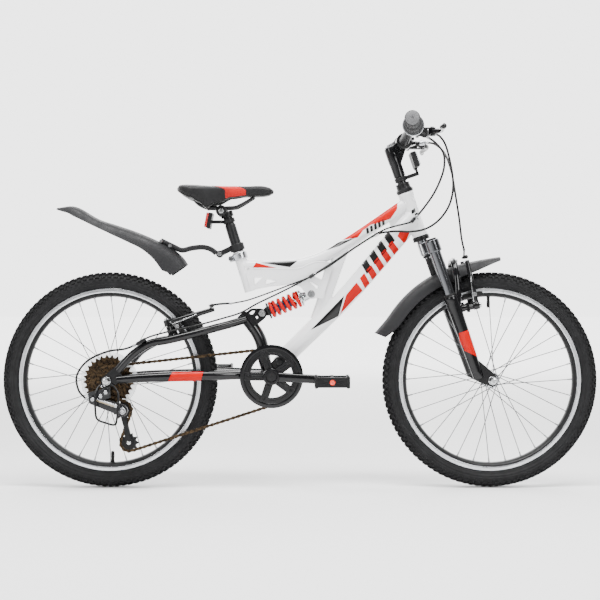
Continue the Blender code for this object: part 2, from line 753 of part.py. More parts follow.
def front_fender():
    stations = []
    steps = 14
    back_tip = math.radians(68.0)
    front_tip = math.radians(-5.0)
    for step in range(steps + 1):
        share = step / steps
        angle = back_tip + (front_tip - back_tip) * share
        outward = Vector((-math.sin(angle), 0.0, math.cos(angle)))
        flare = 0.012 * max(0.0, 1 - share * 6) ** 2 + 0.010 * max(0.0, share * 4 - 3) ** 2
        radius = FENDER_RADIUS + FENDER_THICK + flare
        taper = 1.0 - 0.45 * max(0.0, share * 5 - 4) ** 2 - 0.20 * max(0.0, 1 - share * 7) ** 2
        drop = 0.019 * taper * (1.0 - 0.55 * max(0.0, share * 3 - 2))
        stations.append((FRONT_AXLE + outward * radius, outward, 0.031 * taper, drop))
    shell = guard_shell(stations)
    peg = rod(steered(CROWN_BOTTOM - GAP), steered(-0.0860), 0.0070, 10)
    return finish("front_fender", fuse(shell, peg), "black_plastic")


def rear_fender():
    top = [
        (-0.5757, 0.6603, 0.012, 0.003),
        (-0.5304, 0.6629, 0.024, 0.012),
        (-0.4759, 0.6335, 0.030, 0.014),
        (-0.4360, 0.6200, 0.032, 0.017),
        (-0.3944, 0.6062, 0.033, 0.020),
        (-0.3600, 0.5925, 0.034, 0.024),
        (-0.3263, 0.5769, 0.034, 0.032),
        (-0.2946, 0.5586, 0.034, 0.045),
        (-0.2750, 0.5420, 0.032, 0.036),
        (-0.2650, 0.5260, 0.028, 0.016),
    ]
    stations = []
    for index, (x, z, half_width, drop) in enumerate(top):
        before = top[max(index - 1, 0)]
        after = top[min(index + 1, len(top) - 1)]
        along = Vector((after[0] - before[0], 0.0, after[1] - before[1])).normalized()
        outward = Vector((-along.z, 0.0, along.x))
        stations.append((Vector((x, 0.0, z)), outward, half_width, drop))
    shell = guard_shell(stations)
    route = [
        (-0.1985, 0.0, 0.5530),
        (-0.2120, 0.0, 0.5625),
        (-0.2306, 0.0, 0.5672),
        (-0.2560, 0.0, 0.5650),
        (-0.2800, 0.0, 0.5600),
        (-0.3010, 0.0, 0.5690),
        (-0.3300, 0.0, 0.5830),
    ]
    arm = sweep(smooth_path(route, 1), 0.0062, 8)
    eye = cross_rod(FENDER_HINGE, -0.0045, 0.0045, 0.0085)
    hole = cross_rod(FENDER_HINGE, -0.02, 0.02, 0.0033, 10)
    return finish("rear_fender", cut(fuse(shell, arm, eye), hole), "black_plastic", FENDER_HINGE)


def fender_clamp():
    ring = collar(SEAT_TUBE_TOP, POST_LEAN, 0.0030, 0.0200, POST_RADIUS + GAP, 0.0175, ROUND)
    pieces = [ring]
    back = Vector((-0.9, 0.0, -0.436))
    up = Vector((-0.436, 0.0, 0.9))
    for side in (LEFT, RIGHT):
        pieces.append(block(Vector((-0.1765, side * 0.0070, 0.5575)), (0.0420, 0.0040, 0.0120), back, up))
    pieces.append(cross_rod(FENDER_HINGE, -0.0110, 0.0110, 0.0030, 10))
    bore = rod(SEAT_TUBE_TOP - POST_LEAN * 0.02, SEAT_TUBE_TOP + POST_LEAN * 0.05, POST_RADIUS + GAP, ROUND)
    return finish("fender_clamp", cut(fuse(*pieces), bore), "black_plastic")


# ---------------------------------------------------------------- saddle


def on_post(height, ahead=0.0, side=0.0):
    """A point by its distance above the seat tube's top, along the post."""
    across = Vector((POST_LEAN.z, 0.0, -POST_LEAN.x))
    return SEAT_TUBE_TOP + POST_LEAN * height + across * ahead + Y_AXIS * side


def seatpost():
    step = 0.0670
    outline = [(POST_RADIUS, -0.088), (POST_RADIUS, step), (0.0110, step + 0.003), (0.0110, 0.0860)]
    return finish("seatpost", turned(outline, SEAT_TUBE_TOP, POST_LEAN, ROUND), "black_paint")


def saddle_rails():
    clamp_middle = Vector((-0.1850, 0.0, 0.6520))
    pieces = [
        turned([(0.0150, 0.0863), (0.0150, 0.0990)], SEAT_TUBE_TOP, POST_LEAN, ROUND),
        cross_rod(clamp_middle, -0.0290, 0.0290, 0.0130),
        cross_rod(clamp_middle + Vector((0.0, 0.0, -0.001)), -0.0360, 0.0360, 0.0065, 6),
    ]
    for side in (LEFT, RIGHT):
        route = [
            (-0.2480, side * 0.0240, 0.6730),
            (-0.2350, side * 0.0230, 0.6670),
            (-0.2150, side * 0.0220, 0.6600),
            (-0.1600, side * 0.0220, 0.6600),
            (-0.1400, side * 0.0200, 0.6660),
            (-0.1100, side * 0.0100, 0.6790),
        ]
        pieces.append(sweep(smooth_path(route, 1), 0.0035, 6))
    return finish("saddle_rails", fuse(*pieces), "black_paint")


def saddle():
    """A plain padded shell: stations from the tail to the nose, each a flattened dome."""
    stations = [
        (-0.2890, 0.030, 0.7070, 0.6960),
        (-0.2800, 0.052, 0.7134, 0.6820),
        (-0.2550, 0.068, 0.7140, 0.6790),
        (-0.2250, 0.066, 0.7120, 0.6840),
        (-0.1950, 0.052, 0.7105, 0.6880),
        (-0.1600, 0.034, 0.7105, 0.6900),
        (-0.1250, 0.025, 0.7115, 0.6880),
        (-0.0908, 0.022, 0.7122, 0.6870),
        (-0.0720, 0.018, 0.7080, 0.6900),
        (-0.0630, 0.009, 0.7020, 0.6950),
    ]
    bm = bmesh.new()
    rings = []
    for x, half_width, top, bottom in stations:
        middle = Vector((x, 0.0, (top + bottom) / 2))
        rings.append(add_ring(bm, middle, Y_AXIS, Z_AXIS, half_width, (top - bottom) / 2, 12))
    for first, second in zip(rings, rings[1:]):
        join_rings(bm, first, second)
    bm.faces.new(rings[0])
    bm.faces.new(rings[-1])
    return finish("saddle", solid(bm), "saddle_cover")


def rear_reflector():
    ring = collar(SEAT_TUBE_TOP, POST_LEAN, 0.0720, 0.0820, 0.0113, 0.0145, ROUND)
    arm = block(Vector((-0.1940, 0.0, 0.6270)), (0.0300, 0.0100, 0.0080))
    ahead = Vector((0.983, 0.0, -0.183))
    up = Vector((0.183, 0.0, 0.983))
    housing = block(Vector((-0.2160, 0.0, 0.6300)), (0.0160, 0.0520, 0.0380), ahead, up)
    bore = rod(on_post(0.0660), on_post(0.0880), 0.0113, ROUND)
    return finish("rear_reflector", cut(fuse(ring, arm, housing), bore), "red_lens")


# ---------------------------------------------------------------- rear triangle


def stay_points(route):
    return [[Vector((x, side * y, z)) for x, y, z in route] for side in (LEFT, RIGHT)]


def swingarm():
    seatstay = [
        (-0.4225, 0.0680, 0.2780),
        (-0.4008, 0.0680, 0.3028),
        (-0.3818, 0.0670, 0.3207),
        (-0.3494, 0.0640, 0.3408),
        (-0.3074, 0.0580, 0.3489),
        (-0.2574, 0.0480, 0.3607),
        (-0.2071, 0.0330, 0.3740),
        (-0.1620, 0.0190, 0.3860),
        (-0.1290, 0.0080, 0.3960),
    ]
    chainstay = [
        (-0.4250, 0.0685, 0.2570),
        (-0.3700, 0.0630, 0.2610),
        (-0.2800, 0.0510, 0.2640),
        (-0.2200, 0.0440, 0.2650),
        (-0.1780, 0.0360, 0.2652),
        (-0.1420, 0.0275, 0.2650),
        (-0.0680, 0.0230, 0.2637),
    ]
    upright = [
        (-0.1350, 0.0, 0.4080),
        (-0.1168, 0.0, 0.3847),
        (-0.1030, 0.0, 0.3660),
        (-0.0930, 0.0, 0.3450),
        (-0.0870, 0.0, 0.3200),
        (-0.0840, 0.0, 0.2980),
        (-0.0740, 0.0, 0.2680),
    ]
    bracket_outline = [
        (-0.1491, 0.4001),
        (-0.1322, 0.4167),
        (-0.1273, 0.4129),
        (-0.1168, 0.4219),
        (-0.0910, 0.4222),
        (-0.0795, 0.4150),
        (-0.0785, 0.4040),
        (-0.0850, 0.3970),
        (-0.0991, 0.3850),
        (-0.1180, 0.3760),
    ]
    pivot_outline = [
        (-0.0350, 0.2860),
        (-0.0330, 0.3020),
        (-0.0420, 0.3110),
        (-0.0560, 0.3080),
        (-0.0860, 0.2700),
        (-0.0820, 0.2500),
        (-0.0600, 0.2450),
        (-0.0490, 0.2560),
    ]
    dropout = [
        (-0.4180, 0.2900),
        (-0.4120, 0.2620),
        (-0.4220, 0.2480),
        (-0.4400, 0.2400),
        (-0.4580, 0.2410),
        (-0.4620, 0.2570),
        (-0.4520, 0.2680),
        (-0.4300, 0.2860),
    ]
    hanger = [(-0.4380, 0.2440), (-0.4380, 0.2230), (-0.4460, 0.2190), (-0.4560, 0.2220), (-0.4580, 0.2440)]
    pieces = [sweep(upright, 0.0145, 12), cross_rod(BRACKET, -0.034, 0.034, BRACKET_RADIUS, ROUND)]
    for route in stay_points(seatstay):
        pieces.append(sweep(route, 0.0095, 8))
    for route in stay_points(chainstay):
        pieces.append(sweep(route, [0.0092, 0.0105, 0.0118, 0.0120, 0.0110, 0.0098, 0.0098], 8))
    axis = brake_axis(REAR_BRAKE_PIVOT, REAR_BRAKE_TOP, ahead=False)
    for side in (LEFT, RIGHT):
        low, high = sorted((side * 0.0308, side * 0.0358))
        pieces.append(prism(pivot_outline, low, high))
        low, high = sorted((side * 0.0105, side * 0.0140))
        pieces.append(prism(bracket_outline, low, high))
        low, high = sorted((side * 0.0638, side * 0.0688))
        pieces.append(prism(dropout, low, high))
        pivot = mirrored(REAR_BRAKE_PIVOT + Y_AXIS * BRAKE_SIDE, side)
        pieces.append(rod(pivot - axis * 0.0350, pivot - axis * 0.0078, 0.0070, 8))
        pieces.append(rod(pivot - axis * 0.0100, pivot + axis * 0.0090, 0.0042, 10))
        bridge_start = pivot - axis * 0.0330 - Y_AXIS * side * 0.002
        bridge_end = pivot - axis * 0.0300 + Y_AXIS * side * 0.014
        pieces.append(rod(bridge_start, bridge_end, 0.0070, 8))
    pieces.append(prism(hanger, -0.0688, -0.0638))
    pieces.append(cross_rod(SHOCK_FOOT, -0.0150, 0.0150, 0.0038, 10))
    body = fuse(*pieces)
    holes = [
        cross_rod(BRACKET, -0.05, 0.05, 0.0089),
        cross_rod(PIVOT, -0.05, 0.05, 0.0063, 12),
        cross_rod(REAR_AXLE, -0.08, 0.08, AXLE_BORE),
        prism([(-0.1240, 0.4080), (-0.1130, 0.4165), (-0.1060, 0.4165), (-0.1120, 0.4080)], -0.03, 0.03),
    ]
    return finish("swingarm", cut(body, *holes), "black_paint", PIVOT)


def pivot_bolt():
    shank = cross_rod(PIVOT, -0.0370, 0.0370, 0.0060, 12)
    heads = [cross_rod(PIVOT, side * 0.0361, side * 0.0400, 0.0105, 12) for side in (LEFT, RIGHT)]
    return finish("pivot_bolt", fuse(shank, *heads), "steel", PIVOT)


# ---------------------------------------------------------------- shock


def shock_frame():
    up = (SHOCK_TOP - SHOCK_FOOT).normalized()
    return up, (SHOCK_TOP - SHOCK_FOOT).length


def shock():
    up, length = shock_frame()
    eye = cross_rod(SHOCK_TOP, -0.0128, 0.0128, 0.0100)
    shaft = turned([(0.0058, 0.0400), (0.0058, length - 0.006)], SHOCK_FOOT, up)
    seat_outline = [(0.0195, 0.0970), (0.0195, 0.1010), (0.0120, 0.1040), (0.0105, length - 0.006)]
    seat = turned(seat_outline, SHOCK_FOOT, up)
    bore = cross_rod(SHOCK_TOP, -0.03, 0.03, 0.0043, 10)
    finish("shock_upper", cut(fuse(eye, seat, shaft), bore), "dark_chrome", SHOCK_TOP)
    eye = cross_rod(SHOCK_FOOT, -0.0100, 0.0100, 0.0100)
    body_outline = [
        (0.0095, 0.0050),
        (0.0110, 0.0140),
        (0.0195, 0.0150),
        (0.0195, 0.0190),
        (0.0108, 0.0195),
        (0.0108, 0.0760),
    ]
    body = turned(body_outline, SHOCK_FOOT, up)
    bore = cross_rod(SHOCK_FOOT, -0.03, 0.03, 0.0048, 10)
    well = turned([(0.0063, 0.0205), (0.0063, 0.0900)], SHOCK_FOOT, up)
    finish("shock_lower", cut(fuse(eye, body), bore, well), "black_paint", SHOCK_FOOT)
    turns = 5.0
    wire = 0.0040
    low = 0.0190 + GAP + wire
    high = 0.0970 - GAP - wire
    side, across = side_axes(up)
    points = []
    steps = int(turns * 9)
    for step in range(steps + 1):
        angle = 2 * math.pi * turns * step / steps
        height = low + (high - low) * step / steps
        outward = side * math.cos(angle) + across * math.sin(angle)
        points.append(SHOCK_FOOT + up * height + outward * 0.0165)
    finish("shock_spring", sweep(points, wire, 5), "red_spring", SHOCK_TOP)


# ---------------------------------------------------------------- drive


def crank_arm(side):
    """The arm, its boss round the bottom bracket spindle, and the pedal pin at its end."""
    ahead = CRANK_AHEAD * (1 if side == RIGHT else -1)
    pedal = BRACKET + ahead * CRANK_LENGTH
    inner = 0.0500 if side == RIGHT else 0.0400
    start = BRACKET + ahead * 0.005 + Y_AXIS * (side * 0.0590)
    middle = BRACKET + ahead * (CRANK_LENGTH * 0.5) + Y_AXIS * side * 0.0640
    end = pedal + Y_AXIS * side * 0.0685
    arm = sweep([start, middle, end], [0.0115, 0.0105, 0.0098], 12, flatness=0.55)
    boss = cross_rod(BRACKET, side * inner, side * 0.0680, 0.0170)
    eye = cross_rod(pedal, side * 0.0610, side * 0.0755, 0.0125)
    pin = cross_rod(pedal, side * 0.0700, side * 0.1450, 0.0045, 10)
    return fuse(boss, arm, eye, pin), pedal


def cranks():
    right, right_pedal = crank_arm(RIGHT)
    arms = []
    for index in range(5):
        angle = math.radians(36 + 72 * index)
        outward = Vector((math.cos(angle), 0.0, math.sin(angle)))
        up = outward.cross(Y_AXIS)
        centre = BRACKET + outward * 0.0330
        centre.y = -0.0527
        arms.append(block(centre, (0.0520, 0.0050, 0.0160), outward, up))
    recess = cross_rod(BRACKET, -0.0590, 0.0, 0.0089)
    finish("crank_right", cut(fuse(right, *arms), recess), "black_paint", BRACKET)
    left, left_pedal = crank_arm(LEFT)
    recess = cross_rod(BRACKET, 0.0, 0.0590, 0.0089)
    finish("crank_left", cut(left, recess), "black_paint", BRACKET)
    finish("bottom_bracket_spindle", cross_rod(BRACKET, -0.0585, 0.0585, 0.0085), "steel", BRACKET)
    root = pitch_radius(RING_TEETH) - CHAIN_HALF_HEIGHT - 0.0006
    outline = [
        (0.0500, RING_SIDE + 0.0012),
        (root, RING_SIDE + 0.0012),
        (root, -0.0477),
        (0.0740, -0.0477),
        (0.0740, -0.0497),
        (0.0500, -0.0497),
    ]
    finish("chainring", turned(outline, BRACKET, steps=28, ring=True), "black_paint", BRACKET)
    for name, side, place in (("pedal_right", RIGHT, right_pedal), ("pedal_left", LEFT, left_pedal)):
        pedal(name, side, place)


def pedal(name, side, place):
    """An open platform: a barrel round the pin, two treads and two ends."""
    barrel = cross_rod(place, side * 0.0765, side * 0.1560, 0.0120, 12)
    pieces = [barrel]
    for ahead in (1, -1):
        centre = place + Vector((ahead * 0.0360, side * 0.1180, 0.0))
        pieces.append(block(centre, (0.0080, 0.0760, 0.0280)))
    for reach in (0.0840, 0.1520):
        pieces.append(block(place + Vector((0.0, side * reach, 0.0)), (0.0720, 0.0080, 0.0220)))
    hole = cross_rod(place, side * 0.0700, side * 0.1470, 0.0048, 10)
    finish(name, cut(fuse(*pieces), hole), "black_plastic", place)


def freewheel():
    outline = [(AXLE_BORE, -0.0302), (0.0190, -0.0302)]
    for index, teeth in enumerate(COG_TEETH):
        side = FIRST_COG_SIDE + COG_SPACING * index
        radius = pitch_radius(teeth)
        if teeth == DRIVEN_COG:
            radius -= CHAIN_HALF_HEIGHT + 0.0006
        outline += [(0.0190, side + 0.0010), (radius, side + 0.0010)]
        outline += [(radius, side - 0.0010), (0.0190, side - 0.0010)]
    outline += [(0.0170, -0.0590), (AXLE_BORE, -0.0590)]
    return finish("freewheel", turned(outline, REAR_AXLE, steps=16, ring=True), "bronze_steel", REAR_AXLE)


def belt_points():
    """The chain's line: (point, outward normal) pairs round the ring, cog and two pulleys."""
    pulley = pitch_radius(PULLEY_TEETH)
    wheels_in_turn = [
        (BRACKET, pitch_radius(RING_TEETH), 1, RING_SIDE, 16),
        (TENSION_PULLEY, pulley, 1, DRIVEN_SIDE, 6),
        (GUIDE_PULLEY, pulley, -1, DRIVEN_SIDE, 6),
        (REAR_AXLE, pitch_radius(DRIVEN_COG), 1, DRIVEN_SIDE, 10),
    ]
    headings = []
    for index, (centre, radius, turn, _, _) in enumerate(wheels_in_turn):
        other, other_radius, other_turn, _, _ = wheels_in_turn[(index + 1) % 4]
        gap = other - centre
        lean = math.asin((radius * turn - other_radius * other_turn) / gap.length)
        headings.append(math.atan2(gap.z, gap.x) - lean)
    points = []
    for index, (centre, radius, turn, side, steps) in enumerate(wheels_in_turn):
        start = headings[index - 1]
        end = headings[index]
        sweep_angle = (start - end) % (2 * math.pi) if turn > 0 else -((end - start) % (2 * math.pi))
        for step in range(steps + 1):
            heading = start - sweep_angle * step / steps
            normal = Vector((-math.sin(heading), 0.0, math.cos(heading)))
            point = centre + normal * (radius * turn)
            point.y = side
            points.append((point, normal))
    return points


def chain():
    bm = bmesh.new()
    rings = []
    for point, normal in belt_points():
        corners = ((1, 1), (1, -1), (-1, -1), (-1, 1))
        ring = []
        for rise, out in corners:
            offset = normal * (rise * CHAIN_HALF_HEIGHT) + Y_AXIS * (out * CHAIN_HALF_WIDTH)
            ring.append(bm.verts.new(point + offset))
        rings.append(ring)
    for index, ring in enumerate(rings):
        join_rings(bm, ring, rings[(index + 1) % len(rings)])
    return finish("chain", solid(bm), "bronze_steel")


def derailleur():
    body_pieces = [
        cross_rod(HANGER, -0.0840, -0.0691, 0.0105),
        cross_rod((-0.4780, 0.0, 0.2130), -0.0840, -0.0691, 0.0090),
        cross_rod((-0.4100, 0.0, 0.1860), -0.0840, -0.0620, 0.0130),
        prism([(-0.4480, 0.2370), (-0.4860, 0.2180), (-0.4800, 0.2040), (-0.4420, 0.2200)], -0.0800, -0.0720),
        prism([(-0.4800, 0.2210), (-0.4080, 0.1970), (-0.4120, 0.1750), (-0.4850, 0.2080)], -0.0820, -0.0700),
    ]
    finish("derailleur_body", fuse(*body_pieces), "steel")
    cage_pieces = []
    along = (TENSION_PULLEY - GUIDE_PULLEY).normalized()
    middle = (TENSION_PULLEY + GUIDE_PULLEY) / 2
    for side in (DRIVEN_SIDE - 0.0062, DRIVEN_SIDE + 0.0062):
        centre = Vector((middle.x, side, middle.z))
        cage_pieces.append(block(centre, (0.0900, 0.0014, 0.0130), along, along.cross(Y_AXIS)))
    for place in (GUIDE_PULLEY, TENSION_PULLEY):
        cage_pieces.append(cross_rod(place, DRIVEN_SIDE - 0.0075, DRIVEN_SIDE + 0.0075, 0.0026, 10))
    cage_pieces.append(cross_rod(GUIDE_PULLEY, -0.0617, DRIVEN_SIDE - 0.0060, 0.0060))
    finish("derailleur_cage", fuse(*cage_pieces), "black_paint", GUIDE_PULLEY)
    rim_radius = pitch_radius(PULLEY_TEETH) - CHAIN_HALF_HEIGHT - 0.0006
    for name, place in (("guide_pulley", GUIDE_PULLEY), ("tension_pulley", TENSION_PULLEY)):
        pulley = collar(place, Y_AXIS, DRIVEN_SIDE - 0.0022, DRIVEN_SIDE + 0.0022, 0.0030, rim_radius)
        finish(name, pulley, "black_plastic", place)


def derailleur_guard():
    washer = collar(REAR_AXLE, Y_AXIS, -0.0706, -0.0691, AXLE_BORE, 0.0132)
    route = [
        (-0.4594, -0.0700, 0.2472),
        (-0.4594, -0.0740, 0.2472),
        (-0.4670, -0.0850, 0.2380),
        (-0.4700, -0.0960, 0.2200),
        (-0.4690, -0.1000, 0.1850),
        (-0.4640, -0.1000, 0.1680),
        (-0.4450, -0.1000, 0.1600),
        (-0.4256, -0.1000, 0.1560),
        (-0.4200, -0.1000, 0.1680),
        (-0.4170, -0.0960, 0.2200),
        (-0.4240, -0.0850, 0.2370),
        (-0.4378, -0.0740, 0.2472),
        (-0.4378, -0.0700, 0.2472),
    ]
    wire = sweep(smooth_path(route, 1), 0.0024, 6)
    return finish("derailleur_guard", fuse(washer, wire), "black_paint")


# ---------------------------------------------------------------- brakes


def brake_axis(pivot, top, ahead):
    """The brake's hinge axis: square to its arms, ahead on the fork and up and back on the rear stays."""
    along = (top - pivot).normalized()
    axis = Vector((along.z, 0.0, -along.x))
    return axis if ahead else -axis


def brake_arm(name, side, pivot, top, axle, pad_rise, pad_sink, ahead):
    axis = brake_axis(pivot, top, ahead)
    along = (top - pivot).normalized()
    length = (top - pivot).length
    place = mirrored(pivot + Y_AXIS * BRAKE_SIDE, side)
    route = [
        place,
        place + along * 0.0200 + Y_AXIS * side * 0.0020,
        place + along * 0.0500 + Y_AXIS * side * 0.0040,
        place + along * (length - 0.020) + Y_AXIS * side * 0.0010,
        place + along * length - Y_AXIS * side * 0.0010,
    ]
    arm = sweep(route, [0.0074, 0.0070, 0.0060, 0.0052, 0.0050], 8)
    eye = turned([(0.0090, -0.0075), (0.0090, 0.0075)], place, axis)
    stub_low = place + along * pad_rise + Y_AXIS * side * 0.0020
    pieces = [arm, eye]
    if pad_sink:
        pieces.append(rod(stub_low, stub_low - axis * (pad_sink + 0.005), 0.0065, 10))
    hole = turned([(0.0045, -0.03), (0.0045, 0.03)], place, axis, 10)
    finish(f"{name}_arm", cut(fuse(*pieces), hole), "black_paint", place)
    radial = (pivot + along * pad_rise - axis * pad_sink - axle).normalized()
    pad_middle = axle + radial * PAD_RADIUS
    shoe = block(
        pad_middle + Y_AXIS * side * (PAD_INNER + PAD_OUTER) / 2,
        (0.0400, PAD_OUTER - PAD_INNER, 0.0070),
        radial.cross(Y_AXIS),
        radial,
    )
    stud = cross_rod(pad_middle, side * (PAD_OUTER - 0.002), side * 0.0395, 0.0040, 10)
    finish(f"{name}_pad", fuse(shoe, stud), "rubber", place)


def brakes():
    front = (FRONT_BRAKE_PIVOT, FRONT_BRAKE_TOP, FRONT_AXLE, 0.0300, 0.0, True)
    rear = (REAR_BRAKE_PIVOT, REAR_BRAKE_TOP, REAR_AXLE, 0.0220, 0.0140, False)
    for word, side in (("left", LEFT), ("right", RIGHT)):
        brake_arm(f"front_brake_{word}", side, *front)
        brake_arm(f"rear_brake_{word}", side, *rear)


# ---------------------------------------------------------------- cables


def cable(name, housing, bare, tail=()):
    """A cable made whole: its housing, then the bare wire, then any further housing."""
    points = []
    radii = []
    for stretch, radius in ((housing, 0.0025), (bare, 0.0009), (tail, 0.0025)):
        if not stretch:
            continue
        route = smooth_path(stretch, 2)
        if points:
            route = [points[-1] + (route[0] - points[-1]).normalized() * 0.0005] + route
        points += route
        radii += [radius] * len(route)
    return finish(name, sweep(points, radii, 5), "cable_black")


def cables():
    cable(
        "shift_housing",
        [
            (0.2856, -0.1459, 0.8106),
            (0.3050, -0.1430, 0.7980),
            (0.3253, -0.1300, 0.7752),
            (0.3292, -0.1100, 0.7456),
            (0.3223, -0.0850, 0.7160),
            (0.3095, -0.0550, 0.6864),
            (0.2890, -0.0310, 0.6560),
            (0.2720, -0.0260, 0.6360),
        ],
        [],
    )
    cable(
        "shift_cable",
        [],
        [
            (0.2714, -0.0261, 0.6354),
            (0.2600, -0.0280, 0.6250),
            (0.2000, -0.0300, 0.6080),
            (0.1450, -0.0275, 0.5760),
            (0.0700, -0.0262, 0.5230),
            (0.0050, -0.0262, 0.4860),
            (-0.0500, -0.0262, 0.4580),
            (-0.1000, -0.0262, 0.4340),
            (-0.1400, -0.0270, 0.4120),
            (-0.1850, -0.0330, 0.3980),
            (-0.2400, -0.0480, 0.3830),
            (-0.3000, -0.0640, 0.3700),
            (-0.3500, -0.0760, 0.3560),
        ],
        [
            (-0.3800, -0.0800, 0.3380),
            (-0.4050, -0.0820, 0.3290),
            (-0.4450, -0.0820, 0.3230),
            (-0.4900, -0.0810, 0.3020),
            (-0.5150, -0.0800, 0.2680),
            (-0.5120, -0.0780, 0.2350),
            (-0.4980, -0.0770, 0.2170),
            (-0.4890, -0.0765, 0.2110),
        ],
    )
    cable(
        "rear_brake_cable",
        [
            (0.3078, -0.0852, 0.8262),
            (0.3250, -0.0780, 0.8180),
            (0.3400, -0.0760, 0.7900),
            (0.3531, -0.0800, 0.7205),
            (0.3484, -0.0760, 0.6706),
            (0.3277, -0.0650, 0.6333),
            (0.2970, -0.0500, 0.6098),
            (0.2600, -0.0400, 0.6020),
            (0.2197, -0.0320, 0.6030),
            (0.1800, -0.0250, 0.5960),
            (0.1300, -0.0210, 0.5660),
            (0.0800, -0.0200, 0.5320),
            (0.0320, -0.0200, 0.5010),
        ],
        [
            (0.0200, -0.0200, 0.4950),
            (-0.0251, -0.0200, 0.4771),
            (-0.1121, -0.0200, 0.4450),
            (-0.1500, -0.0260, 0.4360),
        ],
        [
            (-0.1600, -0.0290, 0.4345),
            (-0.1850, -0.0400, 0.4330),
            (-0.2020, -0.0530, 0.4305),
            (-0.2080, -0.0560, 0.4290),
            (-0.2100, -0.0500, 0.4290),
            (-0.2100, 0.0000, 0.4290),
            (-0.2100, 0.0470, 0.4290),
        ],
    )
    cable(
        "front_brake_cable",
        [
            (0.3078, 0.0852, 0.8262),
            (0.3280, 0.0720, 0.8200),
            (0.3480, 0.0450, 0.7950),
            (0.3620, 0.0260, 0.7500),
            (0.3700, 0.0200, 0.7000),
            (0.3800, 0.0240, 0.6400),
            (0.3880, 0.0380, 0.5900),
            (0.3960, 0.0520, 0.5620),
            (0.3960, 0.0580, 0.5490),
            (0.3930, 0.0550, 0.5440),
            (0.3915, 0.0480, 0.5435),
        ],
        [
            (0.3905, 0.0420, 0.5435),
            (0.3900, 0.0000, 0.5435),
            (0.3900, -0.0470, 0.5435),
        ],
    )


def build():
    clear_scene()
    main_frame()
    headset()
    seat_clamp()
    fork_upper()
    fork_lowers()
    handlebar()
    grips()
    twist_shifter()
    stem()
    brake_lever("left", LEFT)
    brake_lever("right", RIGHT)
    front_reflector()
    front_fender()
    fender_clamp()
    rear_fender()
    seatpost()
    saddle_rails()
    saddle()
    rear_reflector()
    swingarm()
    pivot_bolt()
    shock()
    wheels()
    axle_with_nuts("front_axle", FRONT_AXLE, 0.0640, 0.0568, 0.0640, 0.0045)
    axle_with_nuts("rear_axle", REAR_AXLE, 0.0800, 0.0709, 0.0790, 0.0050)
    cranks()
    freewheel()
    chain()
    derailleur()
    derailleur_guard()
    brakes()
    cables()


build()
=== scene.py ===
"""Looks of a child's full-suspension mountain bike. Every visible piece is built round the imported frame.

+X is forward, +Y is the rider's left and +Z is up, in metres, with the origin on the ground midway
between the axles. Each piece rides on the body of the CAD node that it stands for or is fixed to.
"""

import json
import math

import bmesh
import bpy
from mathutils import Matrix, Vector
from mathutils.bvhtree import BVHTree


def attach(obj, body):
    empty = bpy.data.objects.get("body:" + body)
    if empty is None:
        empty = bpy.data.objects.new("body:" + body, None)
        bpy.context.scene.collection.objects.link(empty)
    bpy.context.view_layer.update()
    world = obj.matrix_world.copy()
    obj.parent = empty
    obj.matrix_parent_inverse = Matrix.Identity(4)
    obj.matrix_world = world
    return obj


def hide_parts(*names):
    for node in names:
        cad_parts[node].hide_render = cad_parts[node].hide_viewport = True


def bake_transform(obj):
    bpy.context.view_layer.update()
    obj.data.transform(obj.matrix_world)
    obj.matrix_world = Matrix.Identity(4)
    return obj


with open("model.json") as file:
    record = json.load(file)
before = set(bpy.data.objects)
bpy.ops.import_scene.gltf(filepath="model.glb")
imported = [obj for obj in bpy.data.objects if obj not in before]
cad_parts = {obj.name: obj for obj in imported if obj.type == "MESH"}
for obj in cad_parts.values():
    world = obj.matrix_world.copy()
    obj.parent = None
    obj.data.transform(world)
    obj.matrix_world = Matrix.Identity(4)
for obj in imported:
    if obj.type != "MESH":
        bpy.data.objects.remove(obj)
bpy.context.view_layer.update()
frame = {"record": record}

RECORD = frame["record"]
BODY_OF = {node: body for body, nodes in RECORD["behaviour"]["bodies"].items() for node in nodes}
JOINT = {joint["name"]: joint for joint in RECORD["behaviour"]["joints"]}

LEFT = 1
RIGHT = -1
X_AXIS = Vector((1.0, 0.0, 0.0))
Y_AXIS = Vector((0.0, 1.0, 0.0))
Z_AXIS = Vector((0.0, 0.0, 1.0))
GAP = 0.0003


def joint_place(name):
    """Where the record puts this joint."""
    return Vector(JOINT[name]["pos_m"])


def joint_axis(name):
    """The direction that the record gives this joint's axis."""
    return Vector(JOINT[name]["axis"]).normalized()


# ---------------------------------------------------------------- driving dimensions

FRONT_AXLE = joint_place("front_wheel_spin")
REAR_AXLE = joint_place("rear_wheel_spin")
HEAD_FOOT = joint_place("steering_turn")
HEAD_UP = joint_axis("steering_turn")
HEAD_AHEAD = Vector((HEAD_UP.z, 0.0, -HEAD_UP.x))
BRACKET = joint_place("crank_spin")
PIVOT = joint_place("swing")
SHOCK_TOP = joint_place("shock_pivot")
SHOCK_UP = joint_axis("shock_stroke")
POST_LEAN = joint_axis("seatpost_height")
GUIDE_PULLEY = joint_place("guide_pulley_spin")
TENSION_PULLEY = joint_place("tension_pulley_spin")
FENDER_HINGE = joint_place("fender_tilt")
RIGHT_PEDAL = joint_place("right_pedal_spin")
LEFT_PEDAL = joint_place("left_pedal_spin")

